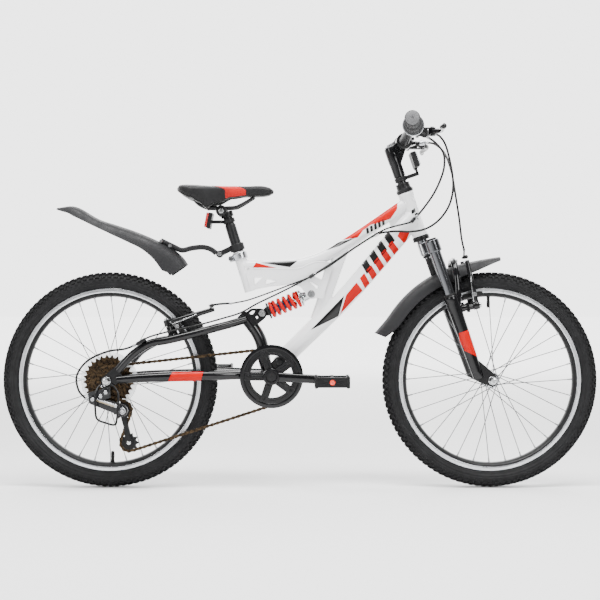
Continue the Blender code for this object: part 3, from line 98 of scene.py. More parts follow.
RIM_OUTER = 0.2155
RIM_INNER = 0.1958
RIM_HALF_WIDTH = 0.013
SPOKES_PER_FLANGE = 16
SPOKE_CROSS_ANGLE = math.radians(67.5)
HEAD_TUBE_LOW = 0.0114
HEAD_TUBE_HIGH = 0.1191
STEERER_RADIUS = 0.0127
QUILL_RADIUS = 0.0111
LEG_AHEAD = 0.015
LEG_SIDE = 0.055
STANCHION_RADIUS = 0.0127
BAR_RADIUS = 0.0111
BAR_CENTRE = Vector((0.2458, 0.0, 0.8166))
GRIP_START = 0.165
GRIP_RADIUS = 0.0155
LEVER_PIVOT = joint_place("left_lever_pull")
TUBE_RADIUS = 0.0143
POST_RADIUS = 0.0127
SEAT_TUBE_TOP = Vector((-0.1458, 0.0, 0.5558))
SEAT_TUBE_LENGTH = 0.097
SHOCK_LENGTH = 0.12468
SHOCK_FOOT = SHOCK_TOP - SHOCK_UP * SHOCK_LENGTH
CHAIN_PITCH = 0.0127
RING_TEETH = 32
COG_TEETH = (28, 24, 21, 18, 16, 14)
DRIVEN_COG = 16
PULLEY_TEETH = 10
RING_SIDE = -0.0435
FIRST_COG_SIDE = -0.0335
COG_SPACING = -0.0045
DRIVEN_SIDE = FIRST_COG_SIDE + COG_SPACING * COG_TEETH.index(DRIVEN_COG)
FRONT_BRAKE_PIVOT = joint_place("front_left_arm_close")
FRONT_BRAKE_TOP = Vector((0.3901, 0.0, 0.5347))
REAR_BRAKE_PIVOT = joint_place("rear_left_arm_close")
REAR_BRAKE_TOP = Vector((-0.2062, 0.0, 0.4197))
FENDER_RADIUS = 0.2790
FENDER_THICK = 0.0025

# ---------------------------------------------------------------- materials


class Finish:
    """A Principled material whose colour, roughness and surface come from textures in object space."""

    def __init__(self, name, slot, colour, roughness, metallic=0.0, coat=0.0, sheen=0.0, specular=0.5):
        self.slot = slot
        self.colour = colour
        self.material = bpy.data.materials.new(name)
        self.material.use_nodes = True
        self.tree = self.material.node_tree
        self.shader = self.tree.nodes["Principled BSDF"]
        self.place = self.tree.nodes.new("ShaderNodeTexCoord").outputs["Object"]
        self.normal = None
        values = {
            "Base Color": (*colour, 1.0),
            "Roughness": roughness,
            "Metallic": metallic,
            "Coat Weight": coat,
            "Coat Roughness": 0.06,
            "Sheen Weight": sheen,
            "Specular IOR Level": specular,
        }
        for socket, value in values.items():
            self.shader.inputs[socket].default_value = value

    def node(self, kind, links=(), values=(), **settings):
        node = self.tree.nodes.new(kind)
        for name, value in settings.items():
            setattr(node, name, value)
        for socket, value in dict(values).items():
            node.inputs[socket].default_value = value
        for socket, source in dict(links).items():
            self.tree.links.new(source, node.inputs[socket])
        return node

    def stretched(self, stretch):
        return self.node(
            "ShaderNodeVectorMath", {0: self.place}, {1: stretch}, operation="MULTIPLY",
        ).outputs[0]

    def noise(self, scale, detail=2.0, stretch=(1.0, 1.0, 1.0)):
        values = {"Scale": scale, "Detail": detail}
        return self.node("ShaderNodeTexNoise", {"Vector": self.stretched(stretch)}, values).outputs[0]

    def cells(self, scale):
        return self.node("ShaderNodeTexVoronoi", {"Vector": self.place}, {"Scale": scale}).outputs["Distance"]

    def radial(self, centre, scale):
        """Noise that changes only with the distance from an axle, as turned or machined metal shows."""
        offset = self.node(
            "ShaderNodeVectorMath", {0: self.place}, {1: centre}, operation="SUBTRACT",
        ).outputs[0]
        flat = self.node(
            "ShaderNodeVectorMath", {0: offset}, {1: (1.0, 0.0, 1.0)}, operation="MULTIPLY",
        ).outputs[0]
        length = self.node("ShaderNodeVectorMath", {0: flat}, operation="LENGTH").outputs["Value"]
        values = {"Scale": scale, "Detail": 2.0}
        return self.node("ShaderNodeTexNoise", {"W": length}, values, noise_dimensions="1D").outputs[0]

    def spread(self, source, low, high, start=0.3, end=0.7):
        values = {"From Min": start, "From Max": end, "To Min": low, "To Max": high}
        return self.node("ShaderNodeMapRange", {"Value": source}, values).outputs["Result"]

    def rough(self, source, low, high):
        self.tree.links.new(self.spread(source, low, high), self.shader.inputs["Roughness"])
        return self

    def tint(self, source, first, second, start=0.3, end=0.7):
        share = self.spread(source, 0.0, 1.0, start, end)
        values = {"A": (*first, 1.0), "B": (*second, 1.0)}
        mix = self.node("ShaderNodeMix", data_type="RGBA")
        for socket in mix.inputs:
            if socket.type == "RGBA" and socket.name in values:
                socket.default_value = values[socket.name]
        self.tree.links.new(share, mix.inputs["Factor"])
        colour = next(socket for socket in mix.outputs if socket.type == "RGBA")
        self.tree.links.new(colour, self.shader.inputs["Base Color"])
        return self

    def shade(self, source, share):
        """Varies the base colour by this share of itself, darker and lighter."""
        dark = tuple(part * (1.0 - share) for part in self.colour)
        light = tuple(min(1.0, part * (1.0 + share)) for part in self.colour)
        return self.tint(source, dark, light)

    def bump(self, source, distance, strength=1.0):
        links = {"Height": source}
        if self.normal is not None:
            links["Normal"] = self.normal
        self.normal = self.node(
            "ShaderNodeBump", links, {"Distance": distance, "Strength": strength},
        ).outputs[0]
        self.tree.links.new(self.normal, self.shader.inputs["Normal"])
        return self


def make_paint(name, slot, colour, roughness=0.22):
    """Sprayed gloss paint: a clear coat, faint orange peel, and patches handled a little duller."""
    dark = max(colour) < 0.1
    coloured = min(colour) < 0.1 < max(colour)
    coat = 0.15 if coloured else 0.5 if dark else 0.7
    paint = Finish(name, slot, colour, roughness, coat=coat, specular=0.08 if dark or coloured else 0.3)
    paint.shade(paint.noise(9.0, 3.0), 0.02 if max(colour) > 0.5 else 0.18)
    paint.rough(paint.noise(35.0, 4.0), roughness * 0.8, roughness * 1.35)
    return paint.bump(paint.noise(420.0, 1.0), 0.00003)


def make_plastic(name, slot, colour, roughness, grain=900.0, depth=0.00006):
    """Moulded plastic: an even fine grain, with handled patches a little glossier."""
    plastic = Finish(name, slot, colour, roughness, specular=0.22)
    plastic.shade(plastic.noise(22.0, 4.0), 0.09)
    plastic.rough(plastic.noise(60.0, 3.0), roughness * 0.85, roughness * 1.2)
    return plastic.bump(plastic.noise(grain, 2.0), depth)


def make_rubber(name, slot, colour, roughness=0.75):
    """Rubber: mottled bloom over a slightly uneven moulded skin."""
    rubber = Finish(name, slot, colour, roughness, specular=0.16)
    rubber.shade(rubber.noise(40.0, 6.0), 0.28)
    rubber.rough(rubber.noise(90.0, 4.0), roughness * 0.85, min(1.0, roughness * 1.15))
    return rubber.bump(rubber.noise(700.0, 3.0), 0.00008)


def make_metal(name, slot, colour, roughness, stretch=(1.0, 1.0, 1.0), depth=0.00002):
    """Bare or plated metal: brushed or polished lines, with patches of light wear."""
    metal = Finish(name, slot, colour, roughness, metallic=1.0)
    metal.shade(metal.noise(30.0, 5.0), 0.10)
    metal.rough(metal.noise(220.0, 4.0, stretch), roughness * 0.75, roughness * 1.35)
    return metal.bump(metal.noise(900.0, 2.0, stretch), depth)


def make_oily_steel(name, slot, light, dark, roughness):
    """Heat-coloured steel with an oily film that gathers in darker patches."""
    steel = Finish(name, slot, light, roughness, metallic=0.85)
    steel.tint(steel.noise(160.0, 4.0), dark, light, 0.38, 0.62)
    steel.rough(steel.noise(240.0, 3.0), roughness * 0.7, roughness * 1.5)
    return steel.bump(steel.noise(1300.0, 2.0), 0.00003)


def make_leather(name, slot, colour):
    """Saddle cover: a pebbled vinyl grain, with softer folds and slightly polished high spots."""
    cover = Finish(name, slot, colour, 0.5, sheen=0.03, specular=0.2)
    cover.shade(cover.noise(35.0, 5.0), 0.18)
    cover.rough(cover.noise(140.0, 4.0), 0.40, 0.62)
    cover.bump(cover.cells(900.0), 0.00018, 0.7)
    return cover.bump(cover.noise(120.0, 3.0), 0.00025, 0.35)


def make_lens(name, slot, colour, cell):
    """A reflector lens: clear coat over rows of small prisms, with painted shade in their hollows and painted
    highlight on their ridges.
    """
    lens = Finish(name, slot, colour, 0.18, coat=1.0)
    # Painted shade and highlight: the colour is darker at each prism's middle and lighter towards its raised
    # edges, by the same cells as the bump
    lens.shade(lens.cells(cell), 0.35)
    return lens.bump(lens.cells(cell), 0.0008, 0.9)


def make_tyre_side():
    """Smooth sidewall rubber with fine moulded rings."""
    side = make_rubber("tyre_sidewall", "tyre", (0.009, 0.009, 0.0095), 0.62)
    for axle in (FRONT_AXLE, REAR_AXLE):
        side.bump(side.radial(axle, 700.0), 0.00006, 0.3)
    return side


def make_brake_track():
    """Machined rim wall: fine turned lines that catch the light."""
    track = Finish("rim_machined_wall", "alloy", (0.62, 0.63, 0.65), 0.24, metallic=1.0)
    track.shade(track.noise(16.0, 2.0), 0.06)
    track.rough(track.noise(40.0, 2.0), 0.22, 0.30)
    for axle in (FRONT_AXLE, REAR_AXLE):
        track.bump(track.radial(axle, 1500.0), 0.00002, 0.25)
    return track


def make_clear_disc():
    """Clear plastic, for the spoke protector."""
    disc = Finish("clear_disc", "alloy", (0.86, 0.88, 0.90), 0.22, coat=0.6)
    disc.rough(disc.noise(60.0, 4.0), 0.16, 0.34)
    disc.bump(disc.noise(200.0, 2.0), 0.00005)
    disc.shader.inputs["Alpha"].default_value = 0.42
    return disc


FINISH = {
    "white": make_paint("white_gloss_paint", "white_paint", (0.80, 0.80, 0.81)),
    "decal_red": make_paint("red_decal_film", "white_paint", (0.42, 0.0012, 0.0), 0.34),
    "decal_black": make_paint("black_decal_film", "black_paint", (0.005, 0.005, 0.005), 0.30),
    "black": make_paint("black_gloss_paint", "black_paint", (0.0035, 0.0035, 0.004), 0.20),
    "satin_black": make_plastic(
        "satin_black_coat", "black_paint", (0.005, 0.005, 0.0055), 0.36, 1400.0, 0.00002,
    ),
    "plastic": make_plastic("moulded_black_plastic", "black_plastic", (0.006, 0.006, 0.0065), 0.48),
    "guard": make_plastic("mudguard_plastic", "black_plastic", (0.010, 0.010, 0.011), 0.52, 600.0, 0.00004),
    "white_plastic": make_plastic("white_clip_plastic", "white_paint", (0.78, 0.78, 0.78), 0.40),
    "tread": make_rubber("tyre_tread", "tyre", (0.010, 0.010, 0.0105), 0.82),
    "tyre_side": make_tyre_side(),
    "rubber": make_rubber("soft_black_rubber", "rubber", (0.008, 0.008, 0.008), 0.70),
    "grip": make_plastic("grey_grip_rubber", "rubber", (0.028, 0.028, 0.029), 0.60, 700.0, 0.00004),
    "grey_cap": make_plastic("grey_cap_plastic", "black_plastic", (0.13, 0.13, 0.134), 0.45),
    "graphite": make_paint("graphite_gloss_paint", "steel", (0.010, 0.0105, 0.0115), 0.24),
    "pad": make_rubber("brake_pad_compound", "rubber", (0.012, 0.012, 0.012), 0.85),
    "alloy": make_metal("polished_alloy", "alloy", (0.50, 0.51, 0.53), 0.20),
    "rim_black": make_plastic("black_anodised_rim", "alloy", (0.008, 0.008, 0.0085), 0.34, 1500.0, 0.00002),
    "rim_track": make_brake_track(),
    "spoke": make_metal("stainless_spoke", "alloy", (0.070, 0.072, 0.075), 0.28),
    "dark_chrome": make_metal("smoked_chrome", "dark_chrome", (0.110, 0.113, 0.120), 0.13, (1.0, 1.0, 0.2)),
    "chrome": make_metal("bright_chrome", "steel", (0.55, 0.56, 0.57), 0.10),
    "zinc": make_metal("zinc_plated_steel", "steel", (0.34, 0.345, 0.35), 0.27, (1.0, 3.0, 1.0)),
    "wire": make_metal("braided_steel_wire", "steel", (0.050, 0.050, 0.053), 0.36, (1.0, 4.0, 1.0)),
    "gold": make_metal("yellow_zinc_steel", "steel", (0.42, 0.34, 0.22), 0.28),
    "bronze": make_oily_steel(
        "bronze_cog_steel", "bronze_steel", (0.062, 0.039, 0.019), (0.009, 0.006, 0.004), 0.30,
    ),
    "chain": make_oily_steel(
        "bronze_chain_steel", "bronze_steel", (0.068, 0.044, 0.023), (0.012, 0.008, 0.005), 0.34,
    ),
    "coil": make_paint("red_coil_paint", "red_spring", (0.44, 0.0015, 0.001), 0.24),
    "damper": make_paint("blue_damper_body", "black_paint", (0.006, 0.009, 0.050), 0.26),
    "cover": make_leather("saddle_cover_black", "saddle_cover", (0.006, 0.006, 0.0065)),
    "cover_red": make_leather("saddle_cover_red", "saddle_cover", (0.40, 0.0015, 0.0)),
    "lens_red": make_lens("red_reflector_lens", "red_lens", (0.52, 0.003, 0.004), 420.0),
    "lens_amber": make_lens("pedal_reflector_lens", "red_lens", (0.85, 0.035, 0.008), 500.0),
    "lens_clear": make_lens("clear_reflector_lens", "black_plastic", (0.62, 0.64, 0.66), 420.0),
    "sheath": make_plastic("cable_housing", "cable_black", (0.005, 0.005, 0.005), 0.30, 1500.0, 0.00002),
    "clear": make_clear_disc(),
}


# ---------------------------------------------------------------- mesh tools


def side_axes(direction, hint=Y_AXIS):
    """Two unit vectors square to the direction, the first as near the hint as it can be."""
    if abs(direction.dot(hint)) > 0.9:
        hint = Z_AXIS if abs(direction.dot(Z_AXIS)) < 0.9 else Y_AXIS
    side = (hint - direction * hint.dot(direction)).normalized()
    return side, direction.cross(side)


def add_ring(bm, centre, side, up, radius_side, radius_up, steps):
    """One ring of points round a centre, as the mesh's vertices."""
    ring = []
    for step in range(steps):
        angle = 2 * math.pi * step / steps
        offset = side * (radius_side * math.cos(angle)) + up * (radius_up * math.sin(angle))
        ring.append(bm.verts.new(centre + offset))
    return ring


def join_rings(bm, first, second):
    """Faces between two rings of the same count."""
    for index in range(len(first)):
        after = (index + 1) % len(first)
        bm.faces.new((first[index], first[after], second[after], second[index]))


def cap(bm, ring, lip=0.0, outward=None):
    """Closes a ring, with a small rounded lip where one is asked for."""
    if lip > 0.0:
        middle = sum((vert.co for vert in ring), Vector()) / len(ring)
        for share, rise in ((0.3, 0.7), (1.0, 1.0)):
            smaller = []
            for vert in ring:
                inward = (middle - vert.co).normalized()
                smaller.append(vert.co + inward * (lip * share) + outward * (lip * rise))
            after = [bm.verts.new(place) for place in smaller]
            join_rings(bm, ring, after)
            ring = after
            middle = middle + outward * (lip * rise)
    bm.faces.new(ring)


def sweep(bm, points, radii, steps=20, flatness=1.0, closed=False):
    """A tube along the points. flatness narrows the section's side that starts along Y."""
    points = [Vector(point) for point in points]
    if not isinstance(radii, (list, tuple)):
        radii = [radii] * len(points)
    last = len(points) - 1
    side = None
    rings = []
    for index, point in enumerate(points):
        if closed:
            ahead = (points[(index + 1) % len(points)] - point).normalized()
            behind = (point - points[index - 1]).normalized()
        else:
            ahead = (points[min(index + 1, last)] - point).normalized()
            behind = (point - points[max(index - 1, 0)]).normalized()
        tangent = (ahead + behind).normalized()
        if side is None:
            side = side_axes(tangent)[0]
        side = (side - tangent * side.dot(tangent)).normalized()
        up = tangent.cross(side)
        rings.append(add_ring(bm, point, side, up, radii[index] * flatness, radii[index], steps))
    for first, second in zip(rings, rings[1:]):
        join_rings(bm, first, second)
    if closed:
        join_rings(bm, rings[-1], rings[0])
    else:
        bm.faces.new(rings[0])
        bm.faces.new(rings[-1])


def smooth_path(points, per_span=6):
    """Points of a smooth curve that passes through the given points."""
    points = [Vector(point) for point in points]
    padded = [2 * points[0] - points[1], *points, 2 * points[-1] - points[-2]]
    path = []
    for index in range(len(points) - 1):
        before, start, end, after = padded[index : index + 4]
        for step in range(per_span):
            t = step / per_span
            line = 2 * start + (end - before) * t
            curve = (2 * before - 5 * start + 4 * end - after) * t**2
            turn = (3 * start - before - 3 * end + after) * t**3
            path.append(0.5 * (line + curve + turn))
    path.append(points[-1])
    return path


def smooth_values(values, per_span=6):
    """Numbers that follow smooth_path's points."""
    return [point.x for point in smooth_path([(value, 0.0, 0.0) for value in values], per_span)]


def turned(bm, profile, centre, axis=Y_AXIS, steps=48, ring=False):
    """Turns (radius, height) points about the axis. A ring's outline closes on itself."""
    side, up = side_axes(axis, X_AXIS)
    rings = [
        add_ring(bm, centre + axis * height, side, up, radius, radius, steps) for radius, height in profile
    ]
    for first, second in zip(rings, rings[1:]):
        join_rings(bm, first, second)
    if ring:
        join_rings(bm, rings[-1], rings[0])
    else:
        bm.faces.new(rings[0])
        bm.faces.new(rings[-1])


def rod(bm, start, end, radius, steps=24, lip=0.0):
    """A round bar with its ends' edges eased by the lip."""
    start = Vector(start)
    end = Vector(end)
    length = (end - start).length
    profile = [(radius, 0.0), (radius, length)]
    if lip > 0.0:
        profile = [
            (radius - lip, 0.0), (radius - lip * 0.3, lip * 0.3), (radius, lip), (radius, length - lip),
            (radius - lip * 0.3, length - lip * 0.3), (radius - lip, length),
        ]
    turned(bm, profile, start, (end - start).normalized(), steps)


def collar(bm, centre, axis, low, high, inner, outer, steps=40, lip=0.0005):
    """A ring round the axis, from low to high along it, with eased outer edges."""
    profile = [
        (inner, low), (outer - lip, low), (outer, low + lip), (outer, high - lip), (outer - lip, high),
        (inner, high),
    ]
    turned(bm, profile, centre, axis, steps, ring=True)


def cross_rod(bm, place, low, high, radius, steps=24, lip=0.0):
    """A rod along Y through a place in the middle plane."""
    rod(bm, (place[0], low, place[2]), (place[0], high, place[2]), radius, steps, lip)


def prism(bm, outline, low, high):
    """A flat plate: the (x, z) outline, from low to high along Y."""
    near = [bm.verts.new((x, low, z)) for x, z in outline]
    far = [bm.verts.new((x, high, z)) for x, z in outline]
    join_rings(bm, near, far)
    bm.faces.new(near)
    bm.faces.new(far)


def block(bm, centre, size, ahead=X_AXIS, up=Z_AXIS, taper=1.0):
    """A box whose first side runs along ahead and its last along up. taper narrows its top."""
    across = up.cross(ahead)
    corners = []
    for rise in (-0.5, 0.5):
        share = taper if rise > 0 else 1.0
        ring = []
        for first, second in ((-0.5, -0.5), (0.5, -0.5), (0.5, 0.5), (-0.5, 0.5)):
            offset = ahead * (first * size[0] * share) + across * (second * size[1] * share)
            ring.append(bm.verts.new(Vector(centre) + offset + up * (rise * size[2])))
        corners.append(ring)
    join_rings(bm, corners[0], corners[1])
    bm.faces.new(corners[0])
    bm.faces.new(corners[1])


def hexagon(bm, centre, axis, low, high, radius):
    """A hexagon head with a chamfered crown."""
    outline = [(radius, low), (radius, high - radius * 0.12), (radius * 0.86, high)]
    if high < low:
        outline = [(radius, low), (radius, high + radius * 0.12), (radius * 0.86, high)]
    turned(bm, outline, centre, axis, 6)


def socket_head(bm, centre, axis, radius, height, steps=28):
    """A round bolt head with a hexagon socket sunk in its face."""
    key = radius * 0.48
    outline = [(radius, 0.0), (radius, height * 0.8), (radius * 0.88, height)]
    side, up = side_axes(axis, X_AXIS)
    rings = [add_ring(bm, centre + axis * rise, side, up, wide, wide, steps) for wide, rise in outline]
    for first, second in zip(rings, rings[1:]):
        join_rings(bm, first, second)
    bm.faces.new(rings[0])
    mouth = []
    for step in range(steps):
        angle = 2 * math.pi * step / steps
        flat = key * math.cos(math.pi / 6) / math.cos((angle % (math.pi / 3)) - math.pi / 6)
        offset = side * (flat * math.cos(angle)) + up * (flat * math.sin(angle))
        mouth.append(centre + axis * height + offset)
    lip = [bm.verts.new(place) for place in mouth]
    floor = [bm.verts.new(place - axis * (height * 0.6)) for place in mouth]
    join_rings(bm, rings[-1], lip)
    join_rings(bm, lip, floor)
    bm.faces.new(floor)


def rounded(outline, radius, steps=4):
    """The outline with each corner replaced by an arc of about this radius."""
    points = [Vector((x, z)) for x, z in outline]
    smooth = []
    for index, corner in enumerate(points):
        before = points[index - 1]
        after = points[(index + 1) % len(points)]
        reach = min(radius, (before - corner).length * 0.45, (after - corner).length * 0.45)
        start = corner + (before - corner).normalized() * reach
        end = corner + (after - corner).normalized() * reach
        for step in range(steps + 1):
            t = step / steps
            smooth.append(start * (1 - t) ** 2 + corner * (2 * t * (1 - t)) + end * t**2)
    return [(point.x, point.y) for point in smooth]


def steered(height, ahead=0.0, side=0.0):
    """A point by its height along the steering axis, and its distance ahead of it and to its side."""
    return HEAD_FOOT + HEAD_UP * height + HEAD_AHEAD * ahead + Y_AXIS * side


def mirrored(point, side):
    """The point on the left or right side of the bike."""
    return Vector((point[0], abs(point[1]) * side, point[2]))


def pitch_radius(teeth):
    """The radius of a chain wheel's pitch circle."""
    return CHAIN_PITCH / (2 * math.sin(math.pi / teeth))


# ---------------------------------------------------------------- pieces


def piece(
    name, bm, finish, node, stands=False, bevel=0.0, segments=2, sharp=38.0, subdivide=0, merge=False,
    crosses=None,
):
    """Makes the mesh a piece that rides with a node's body or crosses a joint, and may stand for the node."""
    if merge:
        bmesh.ops.remove_doubles(bm, verts=bm.verts, dist=0.00002)
    bmesh.ops.recalc_face_normals(bm, faces=bm.faces)
    mesh = bpy.data.meshes.new(name)
    bm.to_mesh(mesh)
    bm.free()
    mesh.shade_smooth()
    if not subdivide:
        mesh.set_sharp_from_angle(angle=math.radians(sharp))
    obj = bpy.data.objects.new(name, mesh)
    bpy.context.scene.collection.objects.link(obj)
    if bevel:
        ease(obj, bevel, segments)
    if subdivide:
        smooth = obj.modifiers.new("smooth_skin", "SUBSURF")
        smooth.levels = subdivide
        smooth.render_levels = subdivide
    dress(obj, finish, node, stands, crosses)
    return obj


def ease(obj, width, segments=2):
    """Rounds the piece's sharp edges by this width."""
    edge = obj.modifiers.new("eased_edges", "BEVEL")
    edge.width = width
    edge.segments = segments
    edge.limit_method = "ANGLE"
    edge.angle_limit = math.radians(32)
    edge.use_clamp_overlap = True


def dress(obj, finish, node, stands=False, crosses=None):
    """Gives a piece its finish and its place among the bodies; a piece that crosses a joint is left where it
    is, on no body.
    """
    obj.data.materials.append(FINISH[finish].material)
    if crosses:
        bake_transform(obj)
    else:
        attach(obj, BODY_OF[node])
    if stands:
        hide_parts(node)


def bake(obj):
    """Replaces the object's mesh with the one that its modifiers make."""
    mesh = bpy.data.meshes.new_from_object(obj.evaluated_get(bpy.context.evaluated_depsgraph_get()))
    obj.modifiers.clear()
    obj.data = mesh


def drill(obj, cutter_bm, merge_sharp=38.0):
    """Cuts the cutter's shape out of the piece."""
    bmesh.ops.recalc_face_normals(cutter_bm, faces=cutter_bm.faces)
    mesh = bpy.data.meshes.new("cutter")
    cutter_bm.to_mesh(mesh)
    cutter_bm.free()
    cutter = bpy.data.objects.new("cutter", mesh)
    bpy.context.scene.collection.objects.link(cutter)
    modifier = obj.modifiers.new("drilled", "BOOLEAN")
    modifier.operation = "DIFFERENCE"
    modifier.solver = "EXACT"
    modifier.use_self = True
    modifier.object = cutter
    bake(obj)
    bpy.data.objects.remove(cutter, do_unlink=True)
    obj.data.shade_smooth()
    obj.data.set_sharp_from_angle(angle=math.radians(merge_sharp))


def surface_of(*objs):
    """The pieces' evaluated surface, for laying decals and weld beads on."""
    verts = []
    faces = []
    depsgraph = bpy.context.evaluated_depsgraph_get()
    for obj in objs:
        mesh = obj.evaluated_get(depsgraph).to_mesh()
        start = len(verts)
        verts += [vert.co.copy() for vert in mesh.vertices]
        faces += [[start + index for index in face.vertices] for face in mesh.polygons]
    return BVHTree.FromPolygons(verts, faces)


def decal(name, outline, side, surface, finish, node, cell=0.0030, lift=0.0005, reach=0.09):
    """A thin film with this (x, z) outline, laid on the surface from the bike's right or left."""
    bm = bmesh.new()
    bm.faces.new([bm.verts.new((x, 0.0, z)) for x, z in outline])
    bmesh.ops.triangulate(bm, faces=bm.faces)
    for axis, normal in ((0, X_AXIS), (1, Z_AXIS)):
        values = [point[axis] for point in outline]
        steps = int((max(values) - min(values)) / cell)
        for step in range(1, steps + 1):
            place = normal * (min(values) + step * cell)
            whole = list(bm.verts) + list(bm.edges) + list(bm.faces)
            bmesh.ops.bisect_plane(bm, geom=whole, plane_co=place, plane_no=normal)
    missed = []
    for vert in bm.verts:
        start = Vector((vert.co.x, side * reach, vert.co.z))
        hit, normal, _, _ = surface.ray_cast(start, Y_AXIS * -side)
        if hit is None or abs(normal.y) < 0.12:
            missed.append(vert)
            continue
        outward = normal if normal.y * side > 0 else -normal
        vert.co = hit + outward * lift
    bmesh.ops.delete(bm, geom=missed, context="VERTS")
    if not bm.faces:
        bm.free()
        return
    for face in bm.faces:
        face.normal_update()
        if face.normal.y * side < 0:
            face.normal_flip()
    under = {vert: bm.verts.new(vert.co - Y_AXIS * (side * 0.0003)) for vert in list(bm.verts)}
    rims = [edge for edge in bm.edges if edge.is_boundary]
    for face in list(bm.faces):
        bm.faces.new([under[vert] for vert in reversed(face.verts)])
    for edge in rims:
        first, second = edge.verts
        bm.faces.new((first, second, under[second], under[first]))
    piece(name, bm, finish, node, sharp=60.0)


def weld(bm, start, end, radius, surface, bead=0.0013, steps=72, ripples=26, flatness=1.0):
    """A rippled weld bead where a tube from start to end runs into the surface."""
    start = Vector(start)
    end = Vector(end)
    along = (end - start).normalized()
    side, up = side_axes(along)
    path = []
    for step in range(steps):
        angle = 2 * math.pi * step / steps
        offset = side * (radius * flatness * math.cos(angle)) + up * (radius * math.sin(angle))
        hit = surface.ray_cast(start + offset, along, (end - start).length)[0]
        if hit is not None:
            path.append((hit, angle))
    if len(path) < 8:
        return
    points = [point for point, _ in path]
    radii = [bead * (1.0 + 0.28 * math.sin(angle * ripples)) for _, angle in path]
    sweep(bm, points, radii, 8, closed=len(path) == steps)


def spot_ring(centre, axis, radius, count, phase=0.0):
    """Evenly spaced points round an axis."""
    side, up = side_axes(axis, X_AXIS)
    spots = []
    for index in range(count):
        angle = 2 * math.pi * (index + phase) / count
        spots.append(centre + side * (radius * math.cos(angle)) + up * (radius * math.sin(angle)))
    return spots


# ---------------------------------------------------------------- wheels

SECTION_RADIUS = 0.2343
SECTION_RISE = 0.0152
SECTION_HALF_WIDTH = 0.0228
TREAD_PITCHES = 104
VALVE_ANGLE = {"front": math.radians(90.7), "rear": math.radians(-88.5)}


def wheel_axes(angle):
    """The outward and forward directions of a wheel at this angle."""
    outward = Vector((math.cos(angle), 0.0, math.sin(angle)))
    return outward, Vector((-math.sin(angle), 0.0, math.cos(angle)))


def carcass(name, axle):
    """The casing: bead, moulded lines on the sidewall, and the round base under the knobs."""
    half = []
    for step in range(13):
        lean = math.pi / 2 * step / 12
        half.append((SECTION_RADIUS + SECTION_RISE * math.cos(lean), SECTION_HALF_WIDTH * math.sin(lean)))
    half += [(0.2318, 0.0233), (0.2310, 0.0226), (0.2272, 0.0216), (0.2262, 0.0222), (0.2252, 0.0211)]
    half += [(0.2205, 0.0180), (0.2192, 0.0178), (0.2184, 0.0162), (0.2158, 0.0128), (0.2158, 0.0108)]
    profile = half + [(radius, -side) for radius, side in reversed(half[1:])]
    bm = bmesh.new()
    turned(bm, profile, axle, steps=160, ring=True)
    piece(f"{name}_tyre_casing", bm, "tyre_side", f"{name}_tyre", stands=True, sharp=50.0)


def knob(bm, axle, angle, lean, size, twist):
    """A tread block: size is its length round the tyre, its width and its height off the casing."""
    outward, forward = wheel_axes(angle)
    normal = (outward * math.cos(lean) + Y_AXIS * math.sin(lean)).normalized()
    base = axle + outward * (SECTION_RADIUS + SECTION_RISE * math.cos(lean))
    base = base + Y_AXIS * (SECTION_HALF_WIDTH * math.sin(lean))
    ahead = forward * math.cos(twist) + forward.cross(normal) * math.sin(twist)
    block(bm, base + normal * (size[2] / 2 - 0.0006), (size[0], size[1], size[2]), ahead, normal, 0.78)


def knobs(name, axle):
    """Rows of knobs: a pair at the crown, slanted blocks beside it, shoulder blocks and side lugs."""
    rows = (
        (0.20, 0.0, (0.0100, 0.0062, 0.0050), 0.0),
        (0.58, 0.5, (0.0088, 0.0060, 0.0046), 0.35),
        (0.97, 0.0, (0.0100, 0.0066, 0.0042), 0.0),
        (1.32, 0.5, (0.0070, 0.0052, 0.0026), 0.0),
    )
    bm = bmesh.new()
    for lean, phase, size, twist in rows:
        for side in (LEFT, RIGHT):
            for index in range(TREAD_PITCHES):
                shift = 0.25 if side == LEFT and lean < 0.3 else 0.0
                angle = 2 * math.pi * (index + phase + shift) / TREAD_PITCHES
                knob(bm, axle, angle, lean * side, size, twist * side)
    piece(f"{name}_tyre_knobs", bm, "tread", f"{name}_tyre", sharp=25.0)


def rim(name, axle):
    """A black box-section rim, with a machined wall on each side that the brake pads grip."""
    half = [
        (0.2152, 0.0122), (RIM_OUTER, 0.0112), (0.2150, 0.0098), (0.2110, 0.0096), (0.2080, 0.0060),
        (0.2078, 0.0),
    ]
    shell = [(0.2078, 0.0)]
    outer = list(reversed(half[:-1])) + [(0.2045, 0.0124), (0.2035, RIM_HALF_WIDTH), (0.2020, RIM_HALF_WIDTH)]
    inner = [(0.2000, 0.0112), (0.1980, 0.0085), (0.1965, 0.0050), (RIM_INNER, 0.0)]
    shell += outer + inner
    shell += [(radius, -side) for radius, side in reversed((outer + inner)[:-1])]
    bm = bmesh.new()
    turned(bm, shell, axle, steps=160, ring=True)
    piece(f"{name}_rim_body", bm, "rim_black", f"{name}_rim", stands=True, sharp=30.0)
    bm = bmesh.new()
    for side in (LEFT, RIGHT):
        wall = [
            (0.2058, 0.0121), (0.2058, 0.0128), (0.2062, RIM_HALF_WIDTH), (0.2088, RIM_HALF_WIDTH),
            (0.2092, 0.0124), (0.2096, RIM_HALF_WIDTH), (0.2148, RIM_HALF_WIDTH), (0.2154, 0.0126),
            (0.2154, 0.0121),
        ]
        turned(bm, [(radius, away * side) for radius, away in wall], axle, steps=160, ring=True)
    piece(f"{name}_rim_walls", bm, "rim_track", f"{name}_rim", sharp=30.0)


